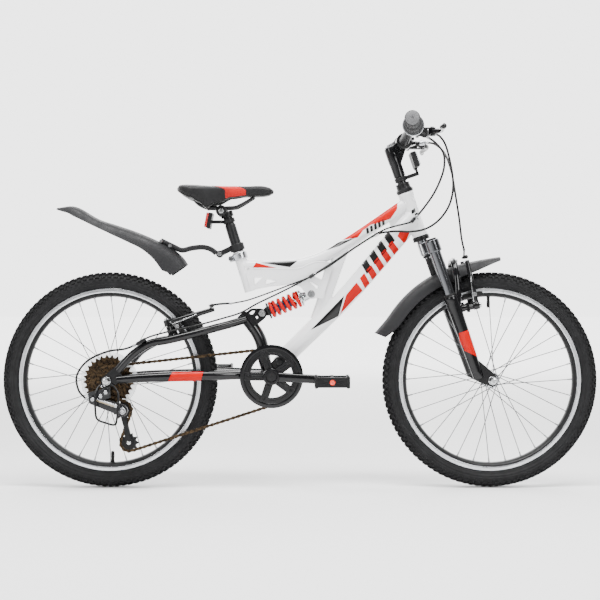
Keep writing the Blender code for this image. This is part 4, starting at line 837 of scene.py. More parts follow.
def valve(name, axle):
    """A rubber-covered tube valve with its screw cap."""
    outward, _ = wheel_axes(VALVE_ANGLE[name])
    foot = axle + outward * (RIM_INNER + 0.001)
    profile = [
        (0.0042, 0.0), (0.0040, 0.0030), (0.0033, 0.0080), (0.0033, 0.0110), (0.0041, 0.0112),
        (0.0042, 0.0210), (0.0036, 0.0255), (0.0020, 0.0270),
    ]
    bm = bmesh.new()
    turned(bm, profile, foot, -outward, 20)
    piece(f"{name}_valve", bm, "rubber", f"{name}_rim", sharp=30.0)


def spokes(name, axle, flanges):
    """Crossed wire spokes with elbows at the flanges, and their nipples in the rim."""
    wires = bmesh.new()
    nipples = bmesh.new()
    for flange_radius, flange_side, phase in flanges:
        for index in range(SPOKES_PER_FLANGE):
            turn = 1 if index % 2 else -1
            rim_angle = 2 * math.pi * (index + phase) / SPOKES_PER_FLANGE
            at_hub, _ = wheel_axes(rim_angle + turn * SPOKE_CROSS_ANGLE)
            at_rim, _ = wheel_axes(rim_angle)
            start = axle + at_hub * flange_radius + Y_AXIS * (flange_side + turn * 0.0019)
            end = axle + at_rim * (RIM_INNER + 0.001)
            end.y = math.copysign(0.0035, flange_side)
            along = (end - start).normalized()
            elbow = start - Y_AXIS * (turn * 0.0040)
            points = [elbow, start - Y_AXIS * (turn * 0.0006), start + along * 0.0012, end]
            sweep(wires, points, [0.0010, 0.0010, 0.0010, 0.00092], 8)
            turned(wires, [(0.0016, 0.0), (0.0019, 0.0005), (0.0012, 0.0010)], elbow, Y_AXIS * -turn, 8)
            turned(
                nipples,
                [(0.0012, 0.0), (0.0018, 0.0006), (0.0018, 0.0070), (0.0024, 0.0085), (0.0024, 0.0120)],
                end - along * 0.0105,
                along,
                8,
            )
    piece(f"{name}_spokes", wires, "spoke", f"{name}_hub_and_spokes")
    piece(f"{name}_spoke_nipples", nipples, "zinc", f"{name}_hub_and_spokes")


def hub(name, axle, left_flange, right_flange, left_end, right_end, flange_radius, waist):
    """A turned alloy shell with two flanges and stepped ends."""
    profile = [(0.0056, right_end), (0.0098, right_end), (0.0112, right_end + 0.0015)]
    face = [(flange_radius - 0.0080, 0.0026), (flange_radius - 0.0008, 0.0017), (flange_radius, 0.0010)]
    flange = [(radius, -half) for radius, half in face] + [(radius, half) for radius, half in reversed(face)]
    profile += [(radius, right_flange + level) for radius, level in flange]
    for share in (0.16, 0.35, 0.5, 0.65, 0.84):
        rise = abs(share - 0.5) * 2
        profile.append((waist + 0.0018 * rise**2, right_flange + (left_flange - right_flange) * share))
    profile += [(radius, left_flange + level) for radius, level in flange]
    profile += [(0.0112, left_end - 0.0015), (0.0098, left_end), (0.0056, left_end)]
    bm = bmesh.new()
    turned(bm, profile, axle, steps=64, ring=True)
    piece(f"{name}_hub_shell", bm, "alloy", f"{name}_hub_and_spokes", stands=True, sharp=30.0)


def axle_set(name, axle, half_length, nut_inner, nut_outer, radius):
    """The threaded axle with a washer and a domed nut at each end."""
    bm = bmesh.new()
    cross_rod(bm, axle, -half_length, half_length, radius, 20, 0.0006)
    for side in (LEFT, RIGHT):
        out = Y_AXIS * side
        collar(bm, axle, out, nut_inner, nut_inner + 0.0014, radius, 0.0101, 32, 0.0003)
        hexagon(bm, axle, out, nut_inner + 0.0012, nut_outer - 0.0005, 0.0094)
        dome = [(0.0082, nut_outer - 0.0012), (0.0080, nut_outer + 0.0012), (0.0068, nut_outer + 0.0032)]
        turned(bm, dome + [(0.0048, nut_outer + 0.0038), (0.0044, nut_outer + 0.0028)], axle, out, 28)
    piece(f"{name}_axle_and_nuts", bm, "chrome", f"{name}_axle", stands=True, sharp=28.0)


def spoke_guard():
    """The clear plastic disc between the freewheel and the right spokes, with moulded ribs."""
    bm = bmesh.new()
    ring = [(0.0215, -0.0292), (0.0640, -0.0287), (0.0662, -0.0290), (0.0670, -0.0280), (0.0662, -0.0272)]
    ring += [(0.0640, -0.0276), (0.0215, -0.0268)]
    turned(bm, ring, REAR_AXLE, steps=96, ring=True)
    for index in range(16):
        outward, forward = wheel_axes(2 * math.pi * index / 16)
        block(bm, REAR_AXLE + outward * 0.052 + Y_AXIS * -0.0292, (0.020, 0.0008, 0.0016), outward, forward)
    piece("clear_spoke_guard", bm, "clear", "rear_hub_and_spokes", sharp=30.0)


def wheels():
    """Both wheels, and the protector behind the freewheel."""
    for name, axle in (("front", FRONT_AXLE), ("rear", REAR_AXLE)):
        carcass(name, axle)
        knobs(name, axle)
        rim(name, axle)
        valve(name, axle)
    hub("front", FRONT_AXLE, 0.030, -0.030, 0.0485, -0.0485, 0.0190, 0.0095)
    hub("rear", REAR_AXLE, 0.031, -0.020, 0.0615, -0.0292, 0.0222, 0.0120)
    spokes("front", FRONT_AXLE, ((0.0165, 0.030, 0.0), (0.0165, -0.030, 0.5)))
    spokes("rear", REAR_AXLE, ((0.0195, 0.031, 0.0), (0.0195, -0.020, 0.5)))
    spoke_guard()
    axle_set("front", FRONT_AXLE, 0.0640, 0.0568, 0.0640, 0.0045)
    axle_set("rear", REAR_AXLE, 0.0800, 0.0709, 0.0790, 0.0050)


# ---------------------------------------------------------------- front frame

TOP_TUBE = [
    (-0.1310, 0.0, 0.5233), (-0.0300, 0.0, 0.5233), (0.0350, 0.0, 0.5365), (0.1020, 0.0, 0.5695),
    (0.1700, 0.0, 0.6150), (0.2680, 0.0, 0.6825),
]
DOWN_TUBE = [(-0.0450, 0.0, 0.2980), (0.1045, 0.0, 0.4456), (0.2160, 0.0, 0.5760), (0.2697, 0.0, 0.6387)]
STRUT_TOP = Vector((0.1000, 0.0, 0.5640))
STRUT_FOOT = Vector((0.0400, 0.0, 0.3946))
PLATE_INNER = 0.0135
PLATE_OUTER = 0.0165
PLATE_OUTLINE = [
    (-0.1290, 0.5060), (-0.1150, 0.4640), (-0.1074, 0.4669), (-0.0718, 0.4740), (-0.0292, 0.4780),
    (0.0005, 0.4752), (0.0120, 0.4600), (0.0160, 0.4480), (0.0265, 0.4435), (0.0370, 0.4465),
    (0.0560, 0.4440), (0.0600, 0.4660), (0.0800, 0.5300), (0.0420, 0.5330), (-0.0100, 0.5170),
    (-0.1200, 0.5170),
]
PLATE_WINDOWS = (
    ((-0.1100, 0.4960), (-0.0870, 0.4960), (-0.1080, 0.4760)),
    ((-0.0800, 0.4925), (-0.0540, 0.4862), (-0.0830, 0.4790)),
    ((0.0206, 0.4882), (0.0440, 0.4750), (0.0400, 0.4670)),
    ((0.0290, 0.5000), (0.0590, 0.5160), (0.0520, 0.4890)),
)
TOP_TUBE_MARKS = (
    ("decal_red", [(-0.1175, 0.5103), (-0.1041, 0.5300), (-0.0473, 0.5157)]),
    ("decal_black", [(-0.0932, 0.5300), (-0.0054, 0.5345), (-0.0242, 0.5195), (-0.0400, 0.5225)]),
    (
        "decal_red",
        [
            (0.0993, 0.5832), (0.1443, 0.6120), (0.2309, 0.6720), (0.2290, 0.6560), (0.2128, 0.6327),
            (0.2112, 0.6500), (0.1500, 0.6080), (0.1354, 0.5885), (0.1340, 0.5990),
        ],
    ),
    ("decal_black", [(0.0620, 0.5590), (0.0920, 0.5790), (0.1290, 0.5880), (0.0940, 0.5700)]),
)
DOWN_TUBE_MARKS = (
    ("decal_black", [(0.0252, 0.3714), (0.1040, 0.4520), (0.0905, 0.4040)]),
    ("decal_red", [(0.0945, 0.4085), (0.1090, 0.4540), (0.1330, 0.4830), (0.1480, 0.4640), (0.1310, 0.4480)]),
    ("decal_red", [(0.2290, 0.5920), (0.2345, 0.6030), (0.2590, 0.6040), (0.2480, 0.5730)]),
)
TOP_TUBE_BARS = ("decal_black", 5, [(0.1575, 0.5975), (0.1535, 0.6095), (0.2000, 0.6345), (0.2040, 0.6225)])
DOWN_TUBE_BARS = (
    ("decal_black", 4, [(0.1574, 0.5030), (0.1400, 0.5235), (0.2110, 0.6080), (0.2300, 0.5900)]),
    ("decal_red", 5, [(0.1535, 0.4690), (0.1370, 0.4890), (0.2190, 0.5840), (0.2400, 0.5680)]),
)


def bars(count, corners):
    """Slanted bars that fill a four-sided patch, given as low start, high start, high end and low end."""
    low_start, high_start, high_end, low_end = (Vector(corner) for corner in corners)
    outlines = []
    for index in range(count):
        begin = index / count
        finish = begin + 0.64 / count
        shift = 0.22 / count
        outlines.append(
            [
                tuple(low_start.lerp(low_end, begin)),
                tuple(high_start.lerp(high_end, begin + shift)),
                tuple(high_start.lerp(high_end, finish + shift)),
                tuple(low_start.lerp(low_end, finish)),
            ]
        )
    return outlines


def frame_tubes():
    """The tubes of the white front frame, each with its own end shapes."""
    bm = bmesh.new()
    sweep(bm, smooth_path(TOP_TUBE, 10), TUBE_RADIUS, 40)
    top = piece("top_tube", bm, "white", "main_frame", stands=True)
    bm = bmesh.new()
    radii = smooth_values([0.0210, 0.0225, 0.0245, 0.0225], 12)
    sweep(bm, smooth_path(DOWN_TUBE, 12), radii, 44)
    down = piece("down_tube", bm, "white", "main_frame")
    bm = bmesh.new()
    foot = SEAT_TUBE_TOP - POST_LEAN * SEAT_TUBE_LENGTH
    collar(bm, foot, POST_LEAN, 0.0, SEAT_TUBE_LENGTH, POST_RADIUS + GAP, TUBE_RADIUS, 40, 0.0004)
    seat = piece("seat_tube", bm, "white", "main_frame")
    bm = bmesh.new()
    sweep(bm, [STRUT_TOP, (STRUT_TOP + STRUT_FOOT) / 2, STRUT_FOOT], 0.0160, 36, flatness=0.62)
    piece("frame_strut", bm, "white", "main_frame")
    bm = bmesh.new()
    low, high = HEAD_TUBE_LOW, HEAD_TUBE_HIGH
    outline = [
        (0.0150, low), (0.0182, low), (0.0187, low + 0.0006), (0.0187, low + 0.0095),
        (0.0171, low + 0.0120),
        (0.0170, (low + high) / 2),
        (0.0171, high - 0.0120), (0.0187, high - 0.0095), (0.0187, high - 0.0006), (0.0182, high),
        (0.0150, high),
    ]
    turned(bm, outline, HEAD_FOOT, HEAD_UP, 48, ring=True)
    head = piece("head_tube", bm, "white", "main_frame")
    bm = bmesh.new()
    outline = [(0.2050, 0.6420), (0.2250, 0.5900), (0.2700, 0.6350), (0.2650, 0.6700)]
    prism(bm, rounded(outline, 0.006), -0.0040, 0.0040)
    piece("head_gusset", bm, "white", "main_frame", bevel=0.0008)
    bm = bmesh.new()
    outline = [
        (0.0064, -0.030), (0.0155, -0.030), (0.0160, -0.0294), (0.0160, 0.0294), (0.0155, 0.030),
        (0.0064, 0.030),
    ]
    turned(bm, outline, PIVOT, Y_AXIS, 40, ring=True)
    shell = piece("pivot_shell", bm, "white", "main_frame")
    return top, down, seat, head, shell


def frame_plates():
    """The two pressed plates with their windows, and the row of welds along the top tube."""
    beads = bmesh.new()
    for side, word in ((LEFT, "left"), (RIGHT, "right")):
        bm = bmesh.new()
        low, high = sorted((side * PLATE_INNER, side * PLATE_OUTER))
        prism(bm, rounded(PLATE_OUTLINE, 0.006), low, high)
        plate = piece(f"{word}_frame_plate", bm, "white", "main_frame")
        cutter = bmesh.new()
        for triangle in PLATE_WINDOWS:
            prism(cutter, rounded(triangle, 0.0035), low - 0.004, high + 0.004)
        drill(plate, cutter)
        ease(plate, 0.0007)
        rims = bmesh.new()
        for triangle in PLATE_WINDOWS:
            loop = [Vector((x, side * PLATE_OUTER, z)) for x, z in rounded(triangle, 0.0035)]
            sweep(rims, loop, 0.0006, 6, closed=True)
        piece(f"{word}_window_rims", rims, "white", "main_frame")
        edge = [(0.0780, 0.5290), (0.0420, 0.5322), (0.0160, 0.5245), (-0.0100, 0.5165), (-0.1200, 0.5165)]
        path = smooth_path([(x, side * 0.0160, z) for x, z in edge], 22)
        radii = [0.0013 * (1.0 + 0.42 * abs(math.sin(index * 0.9))) for index in range(len(path))]
        sweep(beads, path, radii, 8)
        low_edge = [(-0.1130, 0.4650), (-0.1190, 0.4790), (-0.1270, 0.5030)]
        path = smooth_path([(x, side * 0.0146, z) for x, z in low_edge], 16)
        radii = [0.0012 * (1.0 + 0.40 * abs(math.sin(index * 0.9))) for index in range(len(path))]
        sweep(beads, path, radii, 8)
    piece("plate_welds", beads, "white", "main_frame")


def frame_welds(top, down, seat, head, shell):
    """A bead of weld where each tube of the main frame meets the next."""
    bm = bmesh.new()
    weld(bm, (0.2000, 0.0, 0.6357), (0.2900, 0.0, 0.6977), TUBE_RADIUS, surface_of(head), 0.0015)
    weld(bm, (-0.0900, 0.0, 0.5233), (-0.1500, 0.0, 0.5233), TUBE_RADIUS * 0.96, surface_of(seat), 0.0014)
    middle = (STRUT_TOP + STRUT_FOOT) / 2
    weld(bm, middle, STRUT_TOP, 0.0160, surface_of(top), 0.0015, flatness=0.62)
    weld(bm, middle, STRUT_FOOT, 0.0160, surface_of(down), 0.0015, flatness=0.62)
    weld(bm, (0.2300, 0.0, 0.5920), (0.2900, 0.0, 0.6620), 0.0160, surface_of(head), 0.0018)
    weld(bm, (0.0200, 0.0, 0.3620), (-0.0470, 0.0, 0.2960), 0.0200, surface_of(shell), 0.0015)
    piece("frame_welds", bm, "white", "main_frame")


def frame_fittings():
    """Shock bolts, cable stops, and the clip that holds the rear brake's housing."""
    bm = bmesh.new()
    for side in (LEFT, RIGHT):
        place = SHOCK_TOP + Y_AXIS * (side * PLATE_OUTER)
        collar(bm, place, Y_AXIS * side, 0.0, 0.0010, 0.0040, 0.0088, 36, 0.0003)
        socket_head(bm, place + Y_AXIS * (side * 0.0010), Y_AXIS * side, 0.0072, 0.0042)
    cross_rod(bm, SHOCK_TOP, -0.0180, 0.0180, 0.0040, 20)
    piece("shock_top_bolt", bm, "zinc", "main_frame")
    bm = bmesh.new()
    stop = Vector((0.0290, -0.0200, 0.4993))
    along = Vector((0.0480, 0.0, 0.0310)).normalized()
    collar(bm, stop, along, -0.0080, 0.0050, 0.0012, 0.0042, 24, 0.0006)
    block(bm, stop + Vector((0.0, 0.0030, 0.0)), (0.0110, 0.0060, 0.0050), along, along.cross(Y_AXIS))
    stop = Vector((0.2668, -0.0268, 0.6310))
    along = Vector((0.0170, 0.0050, 0.0200)).normalized()
    collar(bm, stop, along, -0.0080, 0.0050, 0.0012, 0.0042, 24, 0.0006)
    block(bm, stop + Vector((0.0, 0.0050, 0.0)), (0.0090, 0.0100, 0.0050), along, along.cross(Y_AXIS))
    piece("frame_cable_stops", bm, "satin_black", "main_frame")
    bm = bmesh.new()
    clip = Vector((0.1800, -0.0250, 0.5960))
    along = Vector((0.84, 0.0, 0.54)).normalized()
    collar(bm, clip, along, -0.0055, 0.0055, 0.0027, 0.0046, 24, 0.0006)
    block(bm, clip + Vector((-0.002, 0.0060, 0.005)), (0.0090, 0.0100, 0.0040), along, along.cross(Y_AXIS))
    piece("housing_clip", bm, "white_plastic", "main_frame", bevel=0.0004)
    bm = bmesh.new()
    rod(bm, steered(0.062, 0.006, -0.0130), steered(0.062, 0.006, -0.0215), 0.0036, 24, 0.0008)
    piece("head_tube_boss", bm, "satin_black", "main_frame")


def frame_decals(top, down, head):
    """Generic wedges and slanted bars on both sides of the two main tubes, and marks on the head tube."""
    top_marks = list(TOP_TUBE_MARKS) + [(TOP_TUBE_BARS[0], bar) for bar in bars(*TOP_TUBE_BARS[1:])]
    down_marks = list(DOWN_TUBE_MARKS)
    for film, count, corners in DOWN_TUBE_BARS:
        down_marks += [(film, bar) for bar in bars(count, corners)]
    surfaces = ((top_marks, surface_of(top), "top_tube"), (down_marks, surface_of(down), "down_tube"))
    for marks, surface, tube in surfaces:
        for index, (film, outline) in enumerate(marks):
            for side, word in ((LEFT, "left"), (RIGHT, "right")):
                name = f"{tube}_mark_{index + 1}_{word}"
                decal(name, rounded(outline, 0.0012, 2), side, surface, film, "main_frame")
    surface = surface_of(head)
    for index, (low, high) in enumerate(((0.044, 0.054), (0.066, 0.078))):
        corners = ((low, -0.004), (low + 0.003, 0.006), (high, 0.008), (high - 0.003, -0.002))
        outline = [(point.x, point.z) for point in (steered(rise, ahead) for rise, ahead in corners)]
        for side, word in ((LEFT, "left"), (RIGHT, "right")):
            decal(f"head_mark_{index + 1}_{word}", outline, side, surface, "decal_black", "main_frame", 0.002)


def headset():
    """The pressed cup under the head tube, and the upper cup with its locknuts."""
    bm = bmesh.new()
    low = HEAD_TUBE_LOW
    outline = [
        (STEERER_RADIUS + GAP, GAP), (0.0192, GAP), (0.0202, 0.0012), (0.0202, 0.0034),
        (0.0190, 0.0040), (0.0190, 0.0048), (0.0202, 0.0054), (0.0200, 0.0088), (0.0189, low - GAP),
        (STEERER_RADIUS + GAP, low - GAP),
    ]
    turned(bm, outline, HEAD_FOOT, HEAD_UP, 48, ring=True)
    piece("lower_headset_cup", bm, "satin_black", "main_frame", sharp=30.0)
    bm = bmesh.new()
    high = HEAD_TUBE_HIGH
    outline = [
        (STEERER_RADIUS + GAP, high + GAP), (0.0187, high + GAP), (0.0200, high + 0.0030),
        (0.0204, high + 0.0072), (0.0192, high + 0.0084), (0.0192, high + 0.0092),
        (0.0180, high + 0.0100), (0.0166, high + 0.0130), (0.0166, high + 0.0180),
        (0.0156, high + 0.0184), (0.0156, high + 0.0190), (0.0164, high + 0.0194),
        (0.0164, high + 0.0232), (0.0156, high + 0.0240), (STEERER_RADIUS + GAP, high + 0.0240),
    ]
    turned(bm, outline, HEAD_FOOT, HEAD_UP, 48, ring=True)
    piece("upper_headset_cup", bm, "satin_black", "headset_upper_cup", stands=True, sharp=30.0)


def seat_clamp():
    """The split collar round the seat tube's top, with its bolt."""
    bm = bmesh.new()
    collar(bm, SEAT_TUBE_TOP, POST_LEAN, -0.0190, -0.0020, TUBE_RADIUS + GAP, 0.0180, 48, 0.0012)
    middle = SEAT_TUBE_TOP - POST_LEAN * 0.0105 + Vector((-0.0205, 0.0, -0.0064))
    back = -POST_LEAN.cross(Y_AXIS)
    for side in (LEFT, RIGHT):
        lug = middle + Vector((0.0020, side * 0.0050, 0.0))
        block(bm, lug, (0.0120, 0.0068, 0.0140), back, POST_LEAN)
    piece("seat_clamp_ring", bm, "alloy", "seat_clamp", stands=True, bevel=0.0008)
    bm = bmesh.new()
    cross_rod(bm, middle, -0.0110, 0.0130, 0.0036, 24)
    socket_head(bm, Vector((middle.x, -0.0084, middle.z)), -Y_AXIS, 0.0062, 0.0060)
    cross_rod(bm, middle, 0.0084, 0.0130, 0.0060, 6, 0.0006)
    piece("seat_clamp_bolt", bm, "chrome", "seat_clamp")


def front_frame():
    """The main frame with its plates, welds, fittings and decals."""
    top, down, seat, head, shell = frame_tubes()
    frame_plates()
    frame_welds(top, down, seat, head, shell)
    frame_fittings()
    frame_decals(top, down, head)
    headset()
    seat_clamp()


# ---------------------------------------------------------------- fork

FORK_MARK = [(0.3686, 0.3652), (0.3990, 0.3760), (0.4130, 0.3094), (0.3740, 0.3280)]
ARCH = [
    (-0.168, 0.024, 0.0560), (-0.135, 0.036, 0.0540), (-0.098, 0.046, 0.0460), (-0.076, 0.051, 0.0300),
    (-0.070, 0.052, 0.0),
]
FORK_DROPOUT = [
    (-0.300, 0.010), (-0.300, 0.024), (-0.352, 0.055), (-0.374, 0.053), (-0.378, 0.040),
    (-0.352, 0.008),
]


def brake_axis(pivot, top, ahead):
    """The brake's hinge axis: square to its arms, ahead on the fork and up and back on the rear stays."""
    along = (Vector((top.x, 0.0, top.z)) - Vector((pivot.x, 0.0, pivot.z))).normalized()
    axis = Vector((along.z, 0.0, -along.x))
    return axis if ahead else -axis


def fork():
    """The crown with its steerer, and the two stanchions."""
    bm = bmesh.new()
    block(bm, steered(-0.0200, 0.0070), (0.0340, 0.0900, 0.0290), HEAD_AHEAD, HEAD_UP)
    for side in (LEFT, RIGHT):
        foot = steered(0.0, LEG_AHEAD, side * LEG_SIDE)
        turned(bm, [(0.0166, -0.0370), (0.0166, -0.0070)], foot, HEAD_UP, 48)
    piece("fork_crown", bm, "dark_chrome", "fork_upper", stands=True, bevel=0.0032, segments=4)
    bm = bmesh.new()
    turned(bm, [(0.0124, -0.0360), (0.0124, 0.1380)], HEAD_FOOT, HEAD_UP, 40)
    caps = bmesh.new()
    for side in (LEFT, RIGHT):
        foot = steered(0.0, LEG_AHEAD, side * LEG_SIDE)
        turned(bm, [(STANCHION_RADIUS, -0.2350), (STANCHION_RADIUS, -0.0300)], foot, HEAD_UP, 48)
        turned(
            caps, [(0.0125, -0.0074), (0.0125, -0.0050), (0.0110, -0.0034), (0.0060, -0.0030)], foot,
            HEAD_UP, 36,
        )
    piece("stanchions", bm, "dark_chrome", "fork_upper")
    piece("stanchion_caps", caps, "satin_black", "fork_upper")
    fork_lowers()


def fork_lowers():
    """Both lower legs with their seals and dropouts, and the welded arch between them."""
    bm = bmesh.new()
    seals = bmesh.new()
    leg = [
        (0.0131, -0.1452), (0.0150, -0.1452), (0.0163, -0.1470), (0.0169, -0.1530), (0.0164, -0.1580),
        (0.0160, -0.1650), (0.0153, -0.2000), (0.0145, -0.2450), (0.0136, -0.2900), (0.0126, -0.3300),
        (0.0120, -0.3450), (0.0108, -0.3480),
    ]
    axis = brake_axis(FRONT_BRAKE_PIVOT, FRONT_BRAKE_TOP, True)
    for side in (LEFT, RIGHT):
        foot = steered(0.0, LEG_AHEAD, side * LEG_SIDE)
        turned(bm, leg, foot, HEAD_UP, 44)
        seal = [(0.0128, -0.1452), (0.0148, -0.1452), (0.0150, -0.1425), (0.0142, -0.1412), (0.0135, -0.1395)]
        turned(seals, seal + [(0.0128, -0.1395)], foot, HEAD_UP, 44, ring=True)
        pivot = mirrored(FRONT_BRAKE_PIVOT, side)
        rod(bm, pivot - axis * 0.0450, pivot - axis * 0.0078, 0.0075, 28, 0.0008)
        rod(bm, pivot - axis * 0.0100, pivot + axis * 0.0070, 0.0042, 20)
        block(bm, pivot - axis * 0.0200, (0.0060, 0.0150, 0.0230), axis, axis.cross(Y_AXIS))
    legs = piece("fork_lower_legs", bm, "black", "fork_lowers", stands=True)
    piece("dust_seals", seals, "rubber", "fork_lowers", sharp=30.0)
    half = [steered(low, ahead, out) for low, ahead, out in ARCH]
    far_half = [Vector((point.x, -point.y, point.z)) for point in reversed(half[:-1])]
    bm = bmesh.new()
    path = smooth_path(half + far_half, 8)
    share = [abs(point.y) / LEG_SIDE for point in path]
    sweep(bm, path, [0.0076 + 0.0012 * part**4 for part in share], 24, flatness=0.8)
    rib = smooth_path([point + HEAD_UP * 0.0050 + HEAD_AHEAD * 0.0030 for point in half + far_half], 6)
    sweep(bm, rib, 0.0032, 12)
    piece("fork_arch", bm, "black", "fork_lowers")
    bm = bmesh.new()
    outline = [(point.x, point.z) for point in (steered(low, ahead) for low, ahead in FORK_DROPOUT)]
    for side in (LEFT, RIGHT):
        low, high = sorted((side * 0.0505, side * 0.0565))
        prism(bm, rounded(outline, 0.006), low, high)
    piece("fork_dropouts", bm, "black", "fork_lowers", bevel=0.0010)
    bm = bmesh.new()
    socket_head(bm, steered(-0.0700, 0.0590), HEAD_AHEAD, 0.0055, 0.0045)
    collar(bm, steered(-0.0700, 0.0590), HEAD_AHEAD, -0.0005, 0.0008, 0.0030, 0.0070, 28, 0.0003)
    piece("arch_bolt", bm, "chrome", "fork_lowers")
    bm = bmesh.new()
    surface = surface_of(legs)
    for side in (RIGHT, LEFT):
        start = steered(-0.130, 0.0375, side * 0.0530)
        end = steered(-0.1700, 0.0200, side * 0.0560)
        weld(bm, start, end, 0.0070, surface, 0.0010)
    if bm.faces:
        piece("arch_welds", bm, "black", "fork_lowers")
    else:
        bm.free()
    for side, word in ((LEFT, "left"), (RIGHT, "right")):
        decal(f"fork_mark_{word}", rounded(FORK_MARK, 0.002, 3), side, surface, "decal_red", "fork_lowers")


# ---------------------------------------------------------------- bar, stem and controls

BAR_HALF = [
    (0.2458, 0.0, 0.8166), (BAR_CENTRE.x, 0.028, BAR_CENTRE.z),
    (BAR_CENTRE.x + 0.0005, 0.036, BAR_CENTRE.z + 0.0008), (0.2500, 0.065, 0.8258),
    (0.2533, 0.090, 0.8324), (0.2540, 0.104, 0.8330), (0.2540, GRIP_START, 0.8330),
    (0.2413, 0.285, 0.8326),
]
BAR_RADII = [0.0127, 0.0127, 0.0122, BAR_RADIUS, BAR_RADIUS, BAR_RADIUS, BAR_RADIUS, BAR_RADIUS]
LEVER_BAR = Vector((0.2540, 0.0, 0.8330))
GRIP_REACH = 0.124


def handlebar():
    """The swept riser bar."""
    half = [Vector(point) for point in BAR_HALF]
    points = [mirrored(point, RIGHT) for point in reversed(half)] + half[1:]
    radii = list(reversed(BAR_RADII)) + BAR_RADII[1:]
    bm = bmesh.new()
    sweep(bm, smooth_path(points, 6), smooth_values(radii, 6), 32)
    piece("riser_bar", bm, "satin_black", "handlebar", stands=True)


def grip_frame(side):
    """The start of the swept-back end of the bar, and its direction."""
    start = mirrored(BAR_HALF[-2], side)
    end = mirrored(BAR_HALF[-1], side)
    return start, (end - start).normalized()


def grip(name, side, low):
    """A ribbed grip with an inner flange, and a plug in the bar's end."""
    start, direction = grip_frame(side)
    profile = [
        (BAR_RADIUS + GAP, low), (0.0180, low), (0.0189, low + 0.0010), (0.0189, low + 0.0030),
        (0.0176, low + 0.0046),
    ]
    place = low + 0.0060
    while place < GRIP_REACH - 0.0130:
        profile += [
            (GRIP_RADIUS - 0.0009, place), (GRIP_RADIUS + 0.0003, place + 0.0008),
            (GRIP_RADIUS + 0.0003, place + 0.0036), (GRIP_RADIUS - 0.0009, place + 0.0044),
        ]
        place += 0.0056
    profile += [
        (0.0152, GRIP_REACH - 0.0080), (0.0167, GRIP_REACH - 0.0060), (0.0171, GRIP_REACH - 0.0025),
        (0.0163, GRIP_REACH), (BAR_RADIUS + GAP, GRIP_REACH),
    ]
    bm = bmesh.new()
    turned(bm, profile, start, direction, 56, ring=True)
    node = f"grip_{name}"
    piece(f"{name}_grip", bm, "grip", node, stands=True, sharp=30.0)
    bm = bmesh.new()
    plug = [
        (0.0110, GRIP_REACH - 0.0040), (0.0152, GRIP_REACH + 0.0001), (0.0152, GRIP_REACH + 0.0012),
        (0.0132, GRIP_REACH + 0.0026), (0.0060, GRIP_REACH + 0.0034), (0.0034, GRIP_REACH + 0.0034),
        (0.0026, GRIP_REACH + 0.0020),
    ]
    turned(bm, plug, start, direction, 40)
    piece(f"{name}_grip_plug", bm, "grey_cap", node, sharp=30.0)


def twist_shifter():
    """The turning sleeve: a pale flange and the ribs along it."""
    start, direction = grip_frame(RIGHT)
    bm = bmesh.new()
    profile = [
        (BAR_RADIUS + GAP, 0.0078), (0.0206, 0.0078), (0.0196, 0.0100), (0.0180, 0.0125),
        (0.0172, 0.0200), (0.0170, 0.0500), (0.0160, 0.0513), (BAR_RADIUS + GAP, 0.0513),
    ]
    turned(bm, profile, start, direction, 56, ring=True)
    for spot in spot_ring(start + direction * 0.0300, direction, 0.0172, 22):
        outward = (spot - start - direction * 0.0300).normalized()
        block(bm, spot, (0.0360, 0.0022, 0.0016), direction, outward, 0.8)
    piece("shifter_sleeve", bm, "grip", "twist_shifter", stands=True, sharp=28.0)
    bm = bmesh.new()
    collar(bm, start, direction, 0.0042, 0.0077, BAR_RADIUS + GAP, 0.0245, 56, 0.0010)
    piece("shifter_flange", bm, "alloy", "twist_shifter")


def stem():
    """The quill, its slanted extension and the clamp round the handlebar."""
    bm = bmesh.new()
    rod(bm, steered(0.0500), steered(0.1600), QUILL_RADIUS, 40)
    head = [
        (0.0120, 0.1590), (0.0138, 0.1600), (0.0140, 0.1900), (0.0147, 0.1960), (0.0149, 0.2280),
        (0.0141, 0.2312), (0.0100, 0.2320),
    ]
    turned(bm, head, HEAD_FOOT, HEAD_UP, 44)
    cross_rod(bm, BAR_CENTRE, -0.0220, 0.0220, 0.0187, 44, 0.0016)
    piece("stem_body", bm, "black", "stem", stands=True)
    bm = bmesh.new()
    corners = [
        (0.1790, 0.0), (0.1880, 0.0120), (0.2200, 0.0360), (0.2440, 0.0390), (0.2460, 0.0280),
        (0.2300, 0.0),
    ]
    outline = [(point.x, point.z) for point in (steered(low, ahead) for low, ahead in corners)]
    prism(bm, rounded(outline, 0.006), -0.0110, 0.0110)
    clamp = BAR_CENTRE + HEAD_AHEAD * 0.0170 - HEAD_UP * 0.0060
    for level in (0.0055, -0.0055):
        block(bm, clamp + HEAD_UP * level, (0.0170, 0.0260, 0.0070), HEAD_AHEAD, HEAD_UP)
    piece("stem_web", bm, "black", "stem", bevel=0.0028, segments=3)
    bm = bmesh.new()
    turned(
        bm, [(0.0118, 0.2318), (0.0124, 0.2330), (0.0118, 0.2352), (0.0086, 0.2362)], HEAD_FOOT, HEAD_UP,
        36,
    )
    piece("stem_cap", bm, "grey_cap", "stem")
    bm = bmesh.new()
    socket_head(bm, steered(0.2360), HEAD_UP, 0.0062, 0.0040)
    socket_head(bm, clamp + HEAD_UP * 0.0080 + HEAD_AHEAD * 0.0010, HEAD_UP, 0.0045, 0.0042)
    piece("stem_bolts", bm, "zinc", "stem")


